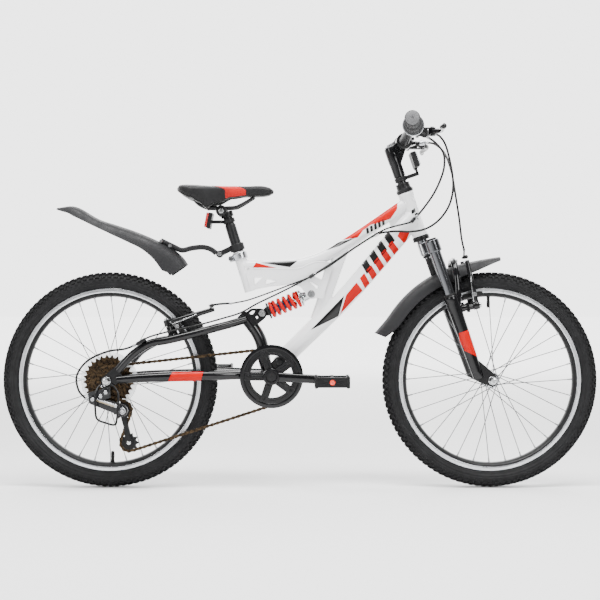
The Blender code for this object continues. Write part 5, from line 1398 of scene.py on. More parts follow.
def lever_set(name, side):
    """The clamp and its lugs on the bar, the barrel adjuster, and the blade on its pin."""
    pivot = mirrored(LEVER_PIVOT, side)
    node = f"{name}_lever_mount"
    low, high = sorted((side * 0.1175, side * 0.1335))
    bm = bmesh.new()
    collar(bm, LEVER_BAR, Y_AXIS, low, high, BAR_RADIUS + GAP, 0.0168, 44, 0.0012)
    piece(f"{name}_lever_clamp", bm, "satin_black", node, stands=True)
    bm = bmesh.new()
    body = Vector((0.2770, side * 0.1255, pivot.z))
    block(bm, body, (0.0250, 0.0150, 0.0190), X_AXIS, Z_AXIS, 0.9)
    for level in (0.0080, -0.0080):
        block(bm, pivot + Vector((-0.0070, 0.0, level)), (0.0290, 0.0130, 0.0028))
    piece(f"{name}_lever_body", bm, "satin_black", node, bevel=0.0012, segments=3)
    bm = bmesh.new()
    rod(bm, pivot - Z_AXIS * 0.0104, pivot + Z_AXIS * 0.0096, 0.0029, 24, 0.0004)
    socket_head(bm, pivot + Z_AXIS * 0.0094, Z_AXIS, 0.0046, 0.0022)
    clamp_bolt = Vector((0.2660, side * 0.1255, pivot.z - 0.0100))
    socket_head(bm, clamp_bolt, -Z_AXIS, 0.0040, 0.0036)
    piece(f"{name}_lever_bolts", bm, "zinc", node)
    start = Vector((0.2840, side * 0.124, pivot.z + 0.001))
    end = Vector((0.3060, side * 0.0880, pivot.z + 0.002))
    along = (end - start).normalized()
    length = (end - start).length
    bm = bmesh.new()
    turned(bm, [(0.0062, 0.0), (0.0062, length * 0.45), (0.0052, length * 0.55)], start, along, 28)
    piece(f"{name}_barrel_seat", bm, "satin_black", node)
    bm = bmesh.new()
    profile = [(0.0030, length * 0.50)]
    for index in range(5):
        base = length * (0.56 + 0.055 * index)
        profile += [(0.0046, base), (0.0054, base + 0.0006), (0.0054, base + 0.0014), (0.0046, base + 0.0019)]
    profile += [(0.0040, length * 0.88), (0.0036, length * 0.98)]
    turned(bm, profile, start, along, 28)
    piece(f"{name}_barrel_adjuster", bm, "alloy", node, sharp=28.0)
    route = [
        pivot,
        pivot + Vector((0.0140, side * 0.0180, 0.0)),
        pivot + Vector((0.0180, side * 0.0420, -0.0010)),
        pivot + Vector((0.0150, side * 0.0750, -0.0020)),
        pivot + Vector((0.0100, side * 0.1050, -0.0030)),
        pivot + Vector((0.0130, side * 0.1260, -0.0040)),
    ]
    bm = bmesh.new()
    path = smooth_path(route, 8)
    radii = smooth_values([0.0060, 0.0058, 0.0057, 0.0057, 0.0057, 0.0064], 8)
    sweep(bm, path, radii, 24, flatness=0.80)
    tip = path[-1]
    turned(
        bm, [(0.0052, -0.0010), (0.0058, 0.0010), (0.0044, 0.0032), (0.0018, 0.0042)], tip,
        (path[-1] - path[-2]).normalized(), 24,
    )
    piece(f"{name}_lever_blade", bm, "black", f"{name}_brake_lever", stands=True)
    bm = bmesh.new()
    collar(bm, pivot, Z_AXIS, -0.0058, 0.0058, 0.0031, 0.0078, 32, 0.0008)
    piece(f"{name}_lever_eye", bm, "black", f"{name}_brake_lever")


def shifter_housing():
    """The fixed half of the twist shifter, with the barrel that its cable leaves by."""
    node = "right_lever_mount"
    bm = bmesh.new()
    profile = [
        (BAR_RADIUS + GAP, -0.1646), (0.0206, -0.1646), (0.0214, -0.1636), (0.0214, -0.1500),
        (0.0208, -0.1492), (0.0208, -0.1482), (0.0214, -0.1474), (0.0206, -0.1370), (0.0182, -0.1334),
        (BAR_RADIUS + GAP, -0.1334),
    ]
    turned(bm, profile, LEVER_BAR, Y_AXIS, 52, ring=True)
    rod(bm, (0.2600, -0.1480, 0.8230), (0.2720, -0.1470, 0.8172), 0.0066, 28, 0.0008)
    piece("shifter_body", bm, "plastic", node, sharp=30.0)
    bm = bmesh.new()
    start = Vector((0.2720, -0.1470, 0.8172))
    end = Vector((0.2850, -0.1460, 0.8110))
    along = (end - start).normalized()
    turned(
        bm, [(0.0052, 0.0), (0.0055, 0.0015), (0.0055, 0.0090), (0.0046, 0.0120), (0.0032, 0.0144)], start,
        along, 10,
    )
    piece("shifter_barrel", bm, "plastic", node)


def front_reflector():
    """The band on the stem's quill, its bent bracket, and the lens in its housing facing forward."""
    bm = bmesh.new()
    collar(bm, HEAD_FOOT, HEAD_UP, 0.1480, 0.1580, QUILL_RADIUS + GAP, 0.0146, 40, 0.0008)
    piece("reflector_band", bm, "plastic", "front_reflector", stands=True)
    bm = bmesh.new()
    block(bm, steered(0.1530, 0.0290), (0.0310, 0.0120, 0.0080), HEAD_AHEAD, HEAD_UP)
    block(bm, steered(0.1690, 0.0420), (0.0052, 0.0120, 0.0340), HEAD_AHEAD, HEAD_UP)
    for index in range(5):
        block(
            bm, steered(0.1572, 0.0200 + 0.0048 * index), (0.0024, 0.0118, 0.0016), HEAD_AHEAD, HEAD_UP,
            0.7,
        )
    block(bm, steered(0.1860, 0.0450), (0.0125, 0.0550, 0.0370), HEAD_AHEAD, HEAD_UP, 0.96)
    piece("reflector_bracket", bm, "plastic", "front_reflector", bevel=0.0010, segments=3)
    bm = bmesh.new()
    block(bm, steered(0.1860, 0.0522), (0.0036, 0.0500, 0.0320), HEAD_AHEAD, HEAD_UP, 0.97)
    piece("front_lens", bm, "lens_clear", "front_reflector", bevel=0.0008)
    bm = bmesh.new()
    socket_head(bm, steered(0.1660, 0.0394), -HEAD_AHEAD, 0.0036, 0.0022)
    piece("reflector_screw", bm, "zinc", "front_reflector")


def cockpit():
    """Everything that the rider's hands reach, with the reflector."""
    handlebar()
    grip("left", LEFT, 0.0040)
    grip("right", RIGHT, 0.0520)
    twist_shifter()
    stem()
    lever_set("left", LEFT)
    lever_set("right", RIGHT)
    shifter_housing()
    front_reflector()


# ---------------------------------------------------------------- mudguards

REAR_GUARD = [
    (-0.5757, 0.6603, 0.012, 0.003), (-0.5304, 0.6629, 0.026, 0.021), (-0.4759, 0.6335, 0.031, 0.018),
    (-0.4360, 0.6200, 0.033, 0.023), (-0.3944, 0.6062, 0.034, 0.028), (-0.3600, 0.5925, 0.034, 0.031),
    (-0.3263, 0.5769, 0.034, 0.040), (-0.2946, 0.5586, 0.034, 0.053), (-0.2760, 0.5420, 0.033, 0.050),
    (-0.2650, 0.5260, 0.033, 0.046),
]


def guard_shell(bm, stations, columns=22):
    """A curved strip of even thickness with a raised rib along its middle and rolled edges."""
    outer_rows = []
    inner_rows = []
    for middle, outward, half_width, drop in stations:
        outer = []
        inner = []
        for column in range(columns + 1):
            across = -1.0 + 2.0 * column / columns
            down = 0.42 * across**2 + 0.58 * abs(across) ** 7
            rib = 0.0009 * math.exp(-((across / 0.22) ** 4))
            roll = 0.0007 * max(0.0, abs(across) - 0.9) / 0.1
            inward = abs(across) ** 3 * FENDER_THICK * 0.9
            surface = middle + Y_AXIS * (across * half_width) - outward * (down * drop - rib + 0.0009)
            surface += Y_AXIS * math.copysign(roll, across)
            under = surface - outward * (FENDER_THICK * (1.0 - 0.6 * abs(across) ** 3))
            under -= Y_AXIS * math.copysign(inward, across)
            outer.append(bm.verts.new(surface))
            inner.append(bm.verts.new(under))
        outer_rows.append(outer)
        inner_rows.append(inner)
    for rows in (outer_rows, inner_rows):
        for first, second in zip(rows, rows[1:]):
            for index in range(columns):
                bm.faces.new((first[index], first[index + 1], second[index + 1], second[index]))
    for column in (0, -1):
        for index in range(len(stations) - 1):
            outer = [outer_rows[index][column], outer_rows[index + 1][column]]
            bm.faces.new(outer + [inner_rows[index + 1][column], inner_rows[index][column]])
    for row in (0, -1):
        outer, inner = outer_rows[row], inner_rows[row]
        for index in range(columns):
            bm.faces.new((outer[index], outer[index + 1], inner[index + 1], inner[index]))


def front_guard():
    """The front mudguard with the peg and the bolt that hold it under the crown."""
    stations = []
    steps = 44
    back_tip = math.radians(68.0)
    front_tip = math.radians(-5.0)
    for step in range(steps + 1):
        share = step / steps
        angle = back_tip + (front_tip - back_tip) * share
        outward = Vector((-math.sin(angle), 0.0, math.cos(angle)))
        flare = 0.012 * max(0.0, 1 - share * 6) ** 2 + 0.010 * max(0.0, share * 4 - 3) ** 2
        radius = FENDER_RADIUS + FENDER_THICK + flare
        taper = 1.0 - 0.45 * max(0.0, share * 5 - 4) ** 2 - 0.20 * max(0.0, 1 - share * 7) ** 2
        drop = 0.031 * taper * (1.0 - 0.55 * max(0.0, share * 3 - 2))
        stations.append((FRONT_AXLE + outward * radius, outward, 0.031 * taper, drop))
    bm = bmesh.new()
    guard_shell(bm, stations)
    piece("front_mudguard", bm, "guard", "front_fender", stands=True, sharp=50.0)
    bm = bmesh.new()
    rod(bm, steered(-0.0363), steered(-0.0860), 0.0070, 28, 0.0006)
    collar(bm, HEAD_FOOT, HEAD_UP, -0.0420, -0.0366, 0.0060, 0.0105, 32, 0.0006)
    piece("front_guard_peg", bm, "plastic", "front_fender")
    bm = bmesh.new()
    hexagon(bm, steered(-0.0420), -HEAD_UP, 0.0, 0.0040, 0.0078)
    piece("front_guard_bolt", bm, "zinc", "front_fender")


def rear_guard():
    """The rear mudguard with its arm, and the hinge and clamp that hold it on the seatpost."""
    middles = smooth_path([(x, 0.0, z) for x, z, _, _ in REAR_GUARD], 6)
    widths = smooth_values([row[2] for row in REAR_GUARD], 6)
    drops = smooth_values([row[3] for row in REAR_GUARD], 6)
    stations = []
    for index, middle in enumerate(middles):
        before = middles[max(index - 1, 0)]
        after = middles[min(index + 1, len(middles) - 1)]
        along = (after - before).normalized()
        stations.append((middle, Vector((-along.z, 0.0, along.x)), widths[index], max(0.001, drops[index])))
    bm = bmesh.new()
    guard_shell(bm, stations)
    piece("rear_mudguard", bm, "guard", "rear_fender", stands=True, sharp=50.0)
    route = [
        (-0.1985, 0.0, 0.5530), (-0.2120, 0.0, 0.5625), (-0.2306, 0.0, 0.5672), (-0.2560, 0.0, 0.5650),
        (-0.2800, 0.0, 0.5600), (-0.3010, 0.0, 0.5690), (-0.3300, 0.0, 0.5830),
    ]
    bm = bmesh.new()
    sweep(bm, smooth_path(route, 8), 0.0062, 24)
    piece("rear_guard_arm", bm, "guard", "rear_fender")
    bm = bmesh.new()
    collar(bm, FENDER_HINGE, Y_AXIS, -0.0045, 0.0045, 0.0033, 0.0085, 32, 0.0008)
    piece("rear_guard_eye", bm, "guard", "rear_fender")
    bm = bmesh.new()
    for x, z in ((-0.3080, 0.5700), (-0.3290, 0.5810)):
        for side in (LEFT, RIGHT):
            place = Vector((x, side * 0.0058, z))
            socket_head(bm, place, Y_AXIS * side, 0.0042, 0.0030, 20)
    piece("rear_guard_screws", bm, "zinc", "rear_fender")
    bm = bmesh.new()
    collar(bm, SEAT_TUBE_TOP, POST_LEAN, 0.0030, 0.0200, POST_RADIUS + GAP, 0.0173, 44, 0.0012)
    back = Vector((-0.9, 0.0, -0.436))
    up = Vector((-0.436, 0.0, 0.9))
    for side in (LEFT, RIGHT):
        block(bm, Vector((-0.1800, side * 0.0070, 0.5560)), (0.0360, 0.0038, 0.0120), back, up)
    piece("guard_clamp", bm, "plastic", "fender_clamp", stands=True, bevel=0.0008)
    bm = bmesh.new()
    cross_rod(bm, FENDER_HINGE, -0.0100, 0.0100, 0.0029, 20)
    socket_head(bm, Vector((FENDER_HINGE.x, -0.0092, FENDER_HINGE.z)), -Y_AXIS, 0.0052, 0.0034)
    cross_rod(bm, FENDER_HINGE, 0.0092, 0.0128, 0.0052, 6, 0.0004)
    piece("guard_hinge_bolt", bm, "zinc", "fender_clamp")


# ---------------------------------------------------------------- saddle

SADDLE_STATIONS = [
    (-0.2885, 0.028, 0.7072, 0.6985), (-0.2800, 0.052, 0.7134, 0.6920),
    (-0.2550, 0.068, 0.7140, 0.6800), (-0.2250, 0.066, 0.7120, 0.6840),
    (-0.1950, 0.052, 0.7105, 0.6880), (-0.1600, 0.034, 0.7105, 0.6900),
    (-0.1250, 0.025, 0.7115, 0.6880), (-0.0908, 0.022, 0.7122, 0.6870),
    (-0.0720, 0.018, 0.7080, 0.6900), (-0.0635, 0.009, 0.7020, 0.6950),
]
SADDLE_WINGS = [
    (-0.2885, 0.0), (-0.2550, 0.002), (-0.2360, 0.015), (-0.2188, 0.029), (-0.1950, 0.021),
    (-0.1600, 0.009), (-0.1250, 0.003), (-0.0635, 0.0),
]
SADDLE_PATH = smooth_path([(x, half_width, top) for x, half_width, top, _ in SADDLE_STATIONS], 12)
SADDLE_FLOORS = smooth_values([row[3] for row in SADDLE_STATIONS], 12)


def saddle_section(x):
    """Half width, top and bottom of the padding at this distance ahead."""
    for index in range(len(SADDLE_PATH) - 1):
        start, end = SADDLE_PATH[index], SADDLE_PATH[index + 1]
        if x <= end.x or index == len(SADDLE_PATH) - 2:
            share = min(1.0, max(0.0, (x - start.x) / max(1e-9, end.x - start.x)))
            middle = start.lerp(end, share)
            floor = SADDLE_FLOORS[index] * (1 - share) + SADDLE_FLOORS[index + 1] * share
            return middle.y, middle.z, floor
    return 0.0, 0.0, 0.0


def saddle_wing(x):
    """How far the skirt hangs under the padding on each side at this distance ahead."""
    for (start, low), (end, high) in zip(SADDLE_WINGS, SADDLE_WINGS[1:]):
        if start <= x <= end:
            share = (x - start) / (end - start)
            return low + (high - low) * share * share * (3 - 2 * share)
    return 0.0


def saddle_point(x, angle, lift=0.0):
    """A point on the padding. The angle goes round from the left edge over the top."""
    half_width, top, floor = saddle_section(x)
    rise = (top - floor) / 2
    side = math.cos(angle)
    up = math.sin(angle)
    power = 0.72 if up > 0 else 0.50
    across = math.copysign(abs(side) ** 0.86, side) * half_width
    height = math.copysign(abs(up) ** power, up) * rise
    wide = max(0.0, min(1.0, (half_width - 0.030) / 0.03))
    groove = 0.0016 * wide * math.exp(-((across / 0.009) ** 2)) if up > 0 else 0.0
    skirt = 0.0010 * math.sin(x * 150.0) * max(0.0, -up) * wide
    outer = max(0.0, min(1.0, (abs(side) - 0.15) / 0.45))
    skirt -= saddle_wing(x) * min(1.0, max(0.0, -up) / 0.45) * outer * outer * (3 - 2 * outer)
    place = Vector((x, across, (top + floor) / 2 + height - groove + skirt))
    outward = Vector((0.0, side / max(half_width, 0.006), up / max(rise, 0.006))).normalized()
    return place + outward * lift


def saddle_cover():
    """The padded black cover; the red band is a panel made apart from it."""
    steps = 72
    bm = bmesh.new()
    rings = []
    for point in SADDLE_PATH:
        ring = [bm.verts.new(saddle_point(point.x, 2 * math.pi * step / steps)) for step in range(steps)]
        rings.append(ring)
    for first, second in zip(rings, rings[1:]):
        join_rings(bm, first, second)
    for ring in (rings[0], rings[-1]):
        middle = sum((vert.co for vert in ring), Vector()) / steps
        smaller = [bm.verts.new(middle.lerp(vert.co, 0.6)) for vert in ring]
        for vert in smaller:
            vert.co.x += -0.0012 if ring is rings[0] else 0.0012
        join_rings(bm, ring, smaller)
        bm.faces.new(smaller)
    cover = piece("saddle_padding", bm, "cover", "saddle", stands=True, sharp=80.0)


def saddle_panel(name, lead, trail, finish, low=-0.55, lift=0.0009):
    """A sewn panel over the padding between two slanted edges, given as (x at top, x at the side)."""
    steps = 64
    columns = 14
    bm = bmesh.new()
    rows = []
    under = []
    for column in range(columns + 1):
        share = column / columns
        edge = min(share, 1 - share)
        rise = lift if edge > 0.03 else -0.0004
        row = []
        base = []
        for step in range(steps + 1):
            angle = low + (math.pi - 2 * low) * step / steps
            slant = 1.0 - max(0.0, math.sin(angle))
            start = lead[0] + (lead[1] - lead[0]) * slant
            end = trail[0] + (trail[1] - trail[0]) * slant
            x = start + (end - start) * share
            end_rise = rise if 0 < step < steps else -0.0004
            row.append(bm.verts.new(saddle_point(x, angle, end_rise)))
            base.append(bm.verts.new(saddle_point(x, angle, -0.0012)))
        rows.append(row)
        under.append(base)
    for grid in (rows, under):
        for first, second in zip(grid, grid[1:]):
            for index in range(steps):
                bm.faces.new((first[index], first[index + 1], second[index + 1], second[index]))
    for column in (0, -1):
        for index in range(steps):
            pair = [rows[column][index], rows[column][index + 1]]
            bm.faces.new(pair + [under[column][index + 1], under[column][index]])
    for index in range(columns):
        for end in (0, -1):
            pair = [rows[index][end], rows[index + 1][end]]
            bm.faces.new(pair + [under[index + 1][end], under[index][end]])
    panel = piece(name, bm, finish, "saddle", sharp=70.0)


def saddle_seams():
    """Stitch rows beside the panels' edges, and the piping round the foot of the cover."""
    bm = bmesh.new()
    for lead in ((-0.2085, -0.1790), (-0.1450, -0.1230)):
        for step in range(6, 40):
            angle = -0.35 + (math.pi + 0.70) * step / 45
            places = []
            for part in (0.0, 0.55):
                turn = angle + (math.pi + 0.70) / 45 * part
                slant = 1.0 - max(0.0, math.sin(turn))
                places.append(saddle_point(lead[0] + (lead[1] - lead[0]) * slant, turn, 0.0004))
            sweep(bm, places, 0.00042, 6)
    piece("saddle_stitches", bm, "cover", "saddle")
    bm = bmesh.new()
    path = []
    count = 90
    for side in (LEFT, RIGHT):
        order = range(count + 1) if side == LEFT else range(count, -1, -1)
        for step in order:
            x = -0.2860 + (0.2860 - 0.0640) * step / count
            place = saddle_point(x, -0.50)
            path.append(Vector((place.x, place.y * side, place.z)))
    sweep(bm, path, 0.0012, 8, closed=True)
    piece("saddle_piping", bm, "rubber", "saddle")


def saddle_base():
    """The moulded shell under the padding, the rails and their clamp, the post and the reflector."""
    bm = bmesh.new()
    rows = []
    for step in range(31):
        x = -0.2780 + (0.2780 - 0.0700) * step / 30
        half_width, _, floor = saddle_section(x)
        wide = half_width * 0.80
        row = []
        for column in range(13):
            across = -1.0 + 2.0 * column / 12
            row.append(Vector((x, across * wide, floor + 0.0008 - 0.0016 * (1 - across**4))))
        rows.append(row)
    top = [[bm.verts.new(place + Z_AXIS * 0.0040) for place in row] for row in rows]
    low = [[bm.verts.new(place) for place in row] for row in rows]
    for grid in (top, low):
        for first, second in zip(grid, grid[1:]):
            for index in range(12):
                bm.faces.new((first[index], first[index + 1], second[index + 1], second[index]))
    for row in (0, -1):
        for index in range(12):
            bm.faces.new((top[row][index], top[row][index + 1], low[row][index + 1], low[row][index]))
    for index in range(30):
        for end in (0, -1):
            bm.faces.new((top[index][end], top[index + 1][end], low[index + 1][end], low[index][end]))
    piece("saddle_base_shell", bm, "plastic", "saddle", sharp=45.0)
    bm = bmesh.new()
    for side in (LEFT, RIGHT):
        route = [
            (-0.2500, side * 0.0240, 0.6800), (-0.2400, side * 0.0235, 0.6690),
            (-0.2150, side * 0.0220, 0.6600), (-0.1600, side * 0.0220, 0.6600),
            (-0.1400, side * 0.0200, 0.6660), (-0.1080, side * 0.0100, 0.6850),
        ]
        sweep(bm, smooth_path(route, 8), 0.0035, 20)
    piece("saddle_rail_pair", bm, "satin_black", "saddle_rails", stands=True)
    bm = bmesh.new()
    clamp = Vector((-0.1850, 0.0, 0.6520))
    turned(
        bm, [(0.0140, 0.0863), (0.0150, 0.0873), (0.0150, 0.0980), (0.0138, 0.0990)], SEAT_TUBE_TOP,
        POST_LEAN, 40,
    )
    cross_rod(bm, clamp, -0.0150, 0.0150, 0.0118, 36, 0.0010)
    for side in (LEFT, RIGHT):
        for low_side, high_side, radius in ((0.0160, 0.0205, 0.0130), (0.0215, 0.0290, 0.0130)):
            low_end, high_end = sorted((side * low_side, side * high_side))
            cross_rod(bm, clamp, low_end, high_end, radius, 36, 0.0010)
    piece("saddle_clamp", bm, "satin_black", "saddle_rails")
    bm = bmesh.new()
    bolt = clamp + Vector((0.0, 0.0, -0.001))
    cross_rod(bm, bolt, -0.0350, 0.0350, 0.0036, 20)
    for side in (LEFT, RIGHT):
        low_end, high_end = sorted((side * 0.0290, side * 0.0345))
        cross_rod(bm, bolt, low_end, high_end, 0.0065, 6, 0.0006)
    piece("saddle_clamp_bolt", bm, "zinc", "saddle_rails")
    bm = bmesh.new()
    outline = [
        (POST_RADIUS - 0.0006, -0.0880), (POST_RADIUS, -0.0874), (POST_RADIUS, 0.0655),
        (POST_RADIUS - 0.0005, 0.0668), (0.0112, 0.0695), (0.0110, 0.0720), (0.0110, 0.0860),
    ]
    turned(bm, outline, SEAT_TUBE_TOP, POST_LEAN, 44)
    piece("seat_post", bm, "satin_black", "seatpost", stands=True)
    bm = bmesh.new()
    collar(bm, SEAT_TUBE_TOP, POST_LEAN, 0.0720, 0.0820, 0.0113, 0.0143, 40, 0.0008)
    block(bm, Vector((-0.1950, 0.0, 0.6270)), (0.0280, 0.0100, 0.0078))
    ahead = Vector((0.983, 0.0, -0.183))
    up = Vector((0.183, 0.0, 0.983))
    block(bm, Vector((-0.2130, 0.0, 0.6294)), (0.0090, 0.0510, 0.0370), ahead, up)
    piece("rear_reflector_housing", bm, "plastic", "rear_reflector", stands=True, bevel=0.0010, segments=3)
    bm = bmesh.new()
    block(bm, Vector((-0.2195, 0.0, 0.6306)), (0.0076, 0.0490, 0.0350), ahead, up)
    piece("rear_lens", bm, "lens_red", "rear_reflector", bevel=0.0016, segments=3)


def saddle():
    """The saddle with its base, cover, seams and rails."""
    saddle_cover()
    saddle_panel("saddle_red_band", (-0.2055, -0.1760), (-0.1480, -0.1260), "cover_red")
    saddle_seams()
    saddle_base()


# ---------------------------------------------------------------- rear triangle and shock

SEATSTAY = [
    (-0.4225, 0.0680, 0.2780), (-0.4008, 0.0680, 0.3028), (-0.3818, 0.0670, 0.3207),
    (-0.3494, 0.0640, 0.3408), (-0.3074, 0.0580, 0.3489), (-0.2574, 0.0480, 0.3607),
    (-0.2071, 0.0330, 0.3740), (-0.1620, 0.0190, 0.3860), (-0.1290, 0.0080, 0.3960),
]
CHAINSTAY = [
    (-0.4250, 0.0685, 0.2570), (-0.3700, 0.0630, 0.2610), (-0.2800, 0.0510, 0.2640),
    (-0.2200, 0.0440, 0.2650), (-0.1780, 0.0360, 0.2652), (-0.1420, 0.0275, 0.2650),
    (-0.0680, 0.0230, 0.2637),
]
CHAINSTAY_RADII = [0.0092, 0.0105, 0.0118, 0.0120, 0.0110, 0.0098, 0.0098]
UPRIGHT = [
    (-0.1340, 0.0, 0.4070), (-0.1168, 0.0, 0.3847), (-0.1030, 0.0, 0.3660), (-0.0930, 0.0, 0.3450),
    (-0.0870, 0.0, 0.3200), (-0.0840, 0.0, 0.2980), (-0.0740, 0.0, 0.2680),
]
SHOCK_BRACKET = [
    (-0.1491, 0.4001), (-0.1322, 0.4167), (-0.1273, 0.4129), (-0.1168, 0.4219), (-0.0910, 0.4222),
    (-0.0795, 0.4150), (-0.0785, 0.4040), (-0.0850, 0.3970), (-0.0991, 0.3850), (-0.1180, 0.3760),
]
PIVOT_PLATE = [
    (-0.0350, 0.2860), (-0.0330, 0.3020), (-0.0420, 0.3110), (-0.0560, 0.3080), (-0.0860, 0.2700),
    (-0.0820, 0.2500), (-0.0600, 0.2450), (-0.0490, 0.2560),
]
REAR_DROPOUT = [
    (-0.4180, 0.2900), (-0.4120, 0.2620), (-0.4220, 0.2480), (-0.4400, 0.2400), (-0.4580, 0.2410),
    (-0.4620, 0.2570), (-0.4520, 0.2680), (-0.4300, 0.2860),
]
HANGER_TAB = [(-0.4380, 0.2440), (-0.4380, 0.2230), (-0.4460, 0.2190), (-0.4560, 0.2220), (-0.4580, 0.2440)]
STAY_MARK = [(-0.3069, 0.2530), (-0.2967, 0.2745), (-0.2250, 0.2745), (-0.2313, 0.2530)]


def swingarm():
    """Stays, upright, plates, and the bottom bracket shell with its cups."""
    bm = bmesh.new()
    for side in (LEFT, RIGHT):
        route = [Vector((x, side * y, z)) for x, y, z in SEATSTAY]
        sweep(bm, smooth_path(route, 7), 0.0095, 28)
        route = [Vector((x, side * y, z)) for x, y, z in CHAINSTAY]
        sweep(bm, smooth_path(route, 7), smooth_values(CHAINSTAY_RADII, 7), 28)
    stays = piece("stays", bm, "black", "swingarm", stands=True)
    bm = bmesh.new()
    sweep(bm, smooth_path(UPRIGHT, 7), 0.0145, 36)
    upright = piece("swingarm_upright", bm, "black", "swingarm")
    bm = bmesh.new()
    shell = [
        (0.0090, -0.0340), (0.0192, -0.0340), (0.0200, -0.0332), (0.0200, 0.0332), (0.0192, 0.0340),
        (0.0090, 0.0340),
    ]
    turned(bm, shell, BRACKET, Y_AXIS, 44, ring=True)
    bracket = piece("bracket_shell", bm, "black", "swingarm")
    rings = bmesh.new()
    for side in (LEFT, RIGHT):
        outline = [
            (0.0090, 0.0335), (0.0182, 0.0335), (0.0182, 0.0360), (0.0168, 0.0372), (0.0120, 0.0372),
            (0.0090, 0.0366),
        ]
        turned(rings, outline, BRACKET, Y_AXIS * side, 36, ring=True)
        for spot in spot_ring(BRACKET + Y_AXIS * (side * 0.0366), Y_AXIS * side, 0.0176, 12):
            block(rings, spot, (0.0016, 0.0016, 0.0030))
    piece("bracket_cups", rings, "zinc", "swingarm", sharp=30.0)
    plates = bmesh.new()
    for side in (LEFT, RIGHT):
        low, high = sorted((side * 0.0308, side * 0.0358))
        prism(plates, rounded(PIVOT_PLATE, 0.007), low, high)
        low, high = sorted((side * 0.0105, side * 0.0140))
        prism(plates, rounded(SHOCK_BRACKET, 0.004), low, high)
        low, high = sorted((side * 0.0638, side * 0.0688))
        prism(plates, rounded(REAR_DROPOUT, 0.005), low, high)
        if side == RIGHT:
            prism(plates, rounded(HANGER_TAB, 0.005), low, high)
    plate = piece("swingarm_plates", plates, "black", "swingarm")
    cutter = bmesh.new()
    prism(
        cutter,
        rounded([(-0.1240, 0.4080), (-0.1130, 0.4165), (-0.1060, 0.4165), (-0.1120, 0.4080)], 0.0018),
        -0.03, 0.03,
    )
    cross_rod(cutter, (-0.1385, 0.0, 0.4010), -0.03, 0.03, 0.0030, 24)
    cross_rod(cutter, (-0.1020, 0.0, 0.4010), -0.03, 0.03, 0.0030, 24)
    cross_rod(cutter, PIVOT, -0.05, 0.05, 0.0063, 32)
    cross_rod(cutter, REAR_AXLE, -0.08, 0.08, 0.0053, 32)
    drill(plate, cutter)
    ease(plate, 0.0007)
    swingarm_fittings(stays, upright, bracket)


def swingarm_fittings(stays, upright, bracket):
    """Brake bosses, welds, the shock's lower bolt, a cable stop, the stay decals and the pivot bolt."""
    axis = brake_axis(REAR_BRAKE_PIVOT, REAR_BRAKE_TOP, False)
    bm = bmesh.new()
    for side in (LEFT, RIGHT):
        pivot = mirrored(REAR_BRAKE_PIVOT, side)
        rod(bm, pivot - axis * 0.0350, pivot - axis * 0.0078, 0.0070, 28, 0.0008)
        rod(bm, pivot - axis * 0.0100, pivot + axis * 0.0070, 0.0042, 20)
        start = pivot - axis * 0.0330 - Y_AXIS * side * 0.002
        rod(bm, start, pivot - axis * 0.0300 + Y_AXIS * side * 0.014, 0.0070, 24)
    piece("rear_brake_bosses", bm, "black", "swingarm")
    bm = bmesh.new()
    surface = surface_of(upright)
    shell = surface_of(bracket)
    for side in (LEFT, RIGHT):
        weld(
            bm, (-0.2071, side * 0.0330, 0.3740), (-0.1290, side * 0.0080, 0.3960), 0.0096, surface, 0.0011,
            56, 20,
        )
        weld(
            bm, (-0.1420, side * 0.0275, 0.2650), (-0.0600, side * 0.0228, 0.2636), 0.0098, shell, 0.0011,
            56, 20,
        )
    weld(bm, (-0.0860, 0.0, 0.3100), (-0.0740, 0.0, 0.2640), 0.0146, shell, 0.0013)
    piece("swingarm_welds", bm, "black", "swingarm")
    bm = bmesh.new()
    for side in (LEFT, RIGHT):
        place = SHOCK_FOOT + Y_AXIS * (side * 0.0140)
        collar(bm, place, Y_AXIS * side, 0.0, 0.0009, 0.0036, 0.0080, 32, 0.0003)
        socket_head(bm, place + Y_AXIS * (side * 0.0009), Y_AXIS * side, 0.0066, 0.0040)
    cross_rod(bm, SHOCK_FOOT, -0.0145, 0.0145, 0.0038, 20)
    piece("shock_foot_bolt", bm, "zinc", "swingarm")
    bm = bmesh.new()
    stop = Vector((-0.3620, -0.0775, 0.3490))
    along = Vector((-0.0300, -0.0040, -0.0180)).normalized()
    collar(bm, stop, along, -0.0060, 0.0180, 0.0011, 0.0041, 24, 0.0006)
    block(bm, stop + Vector((0.0, 0.0060, -0.0030)), (0.0110, 0.0110, 0.0040), along, along.cross(Y_AXIS))
    piece("stay_cable_stop", bm, "satin_black", "swingarm")
    surface = surface_of(stays)
    for side, word in ((LEFT, "left"), (RIGHT, "right")):
        decal(f"stay_mark_{word}", rounded(STAY_MARK, 0.001, 2), side, surface, "decal_red", "swingarm")
    bm = bmesh.new()
    turned(bm, [(0.0058, -0.0365), (0.0058, 0.0365)], PIVOT, Y_AXIS, 24)
    for side in (LEFT, RIGHT):
        place = PIVOT + Y_AXIS * (side * 0.0359)
        collar(bm, place, Y_AXIS * side, 0.0, 0.0010, 0.0050, 0.0118, 36, 0.0003)
        socket_head(bm, place + Y_AXIS * (side * 0.0010), Y_AXIS * side, 0.0098, 0.0036)
    piece("swing_pivot_bolt", bm, "graphite", "pivot_bolt", stands=True)


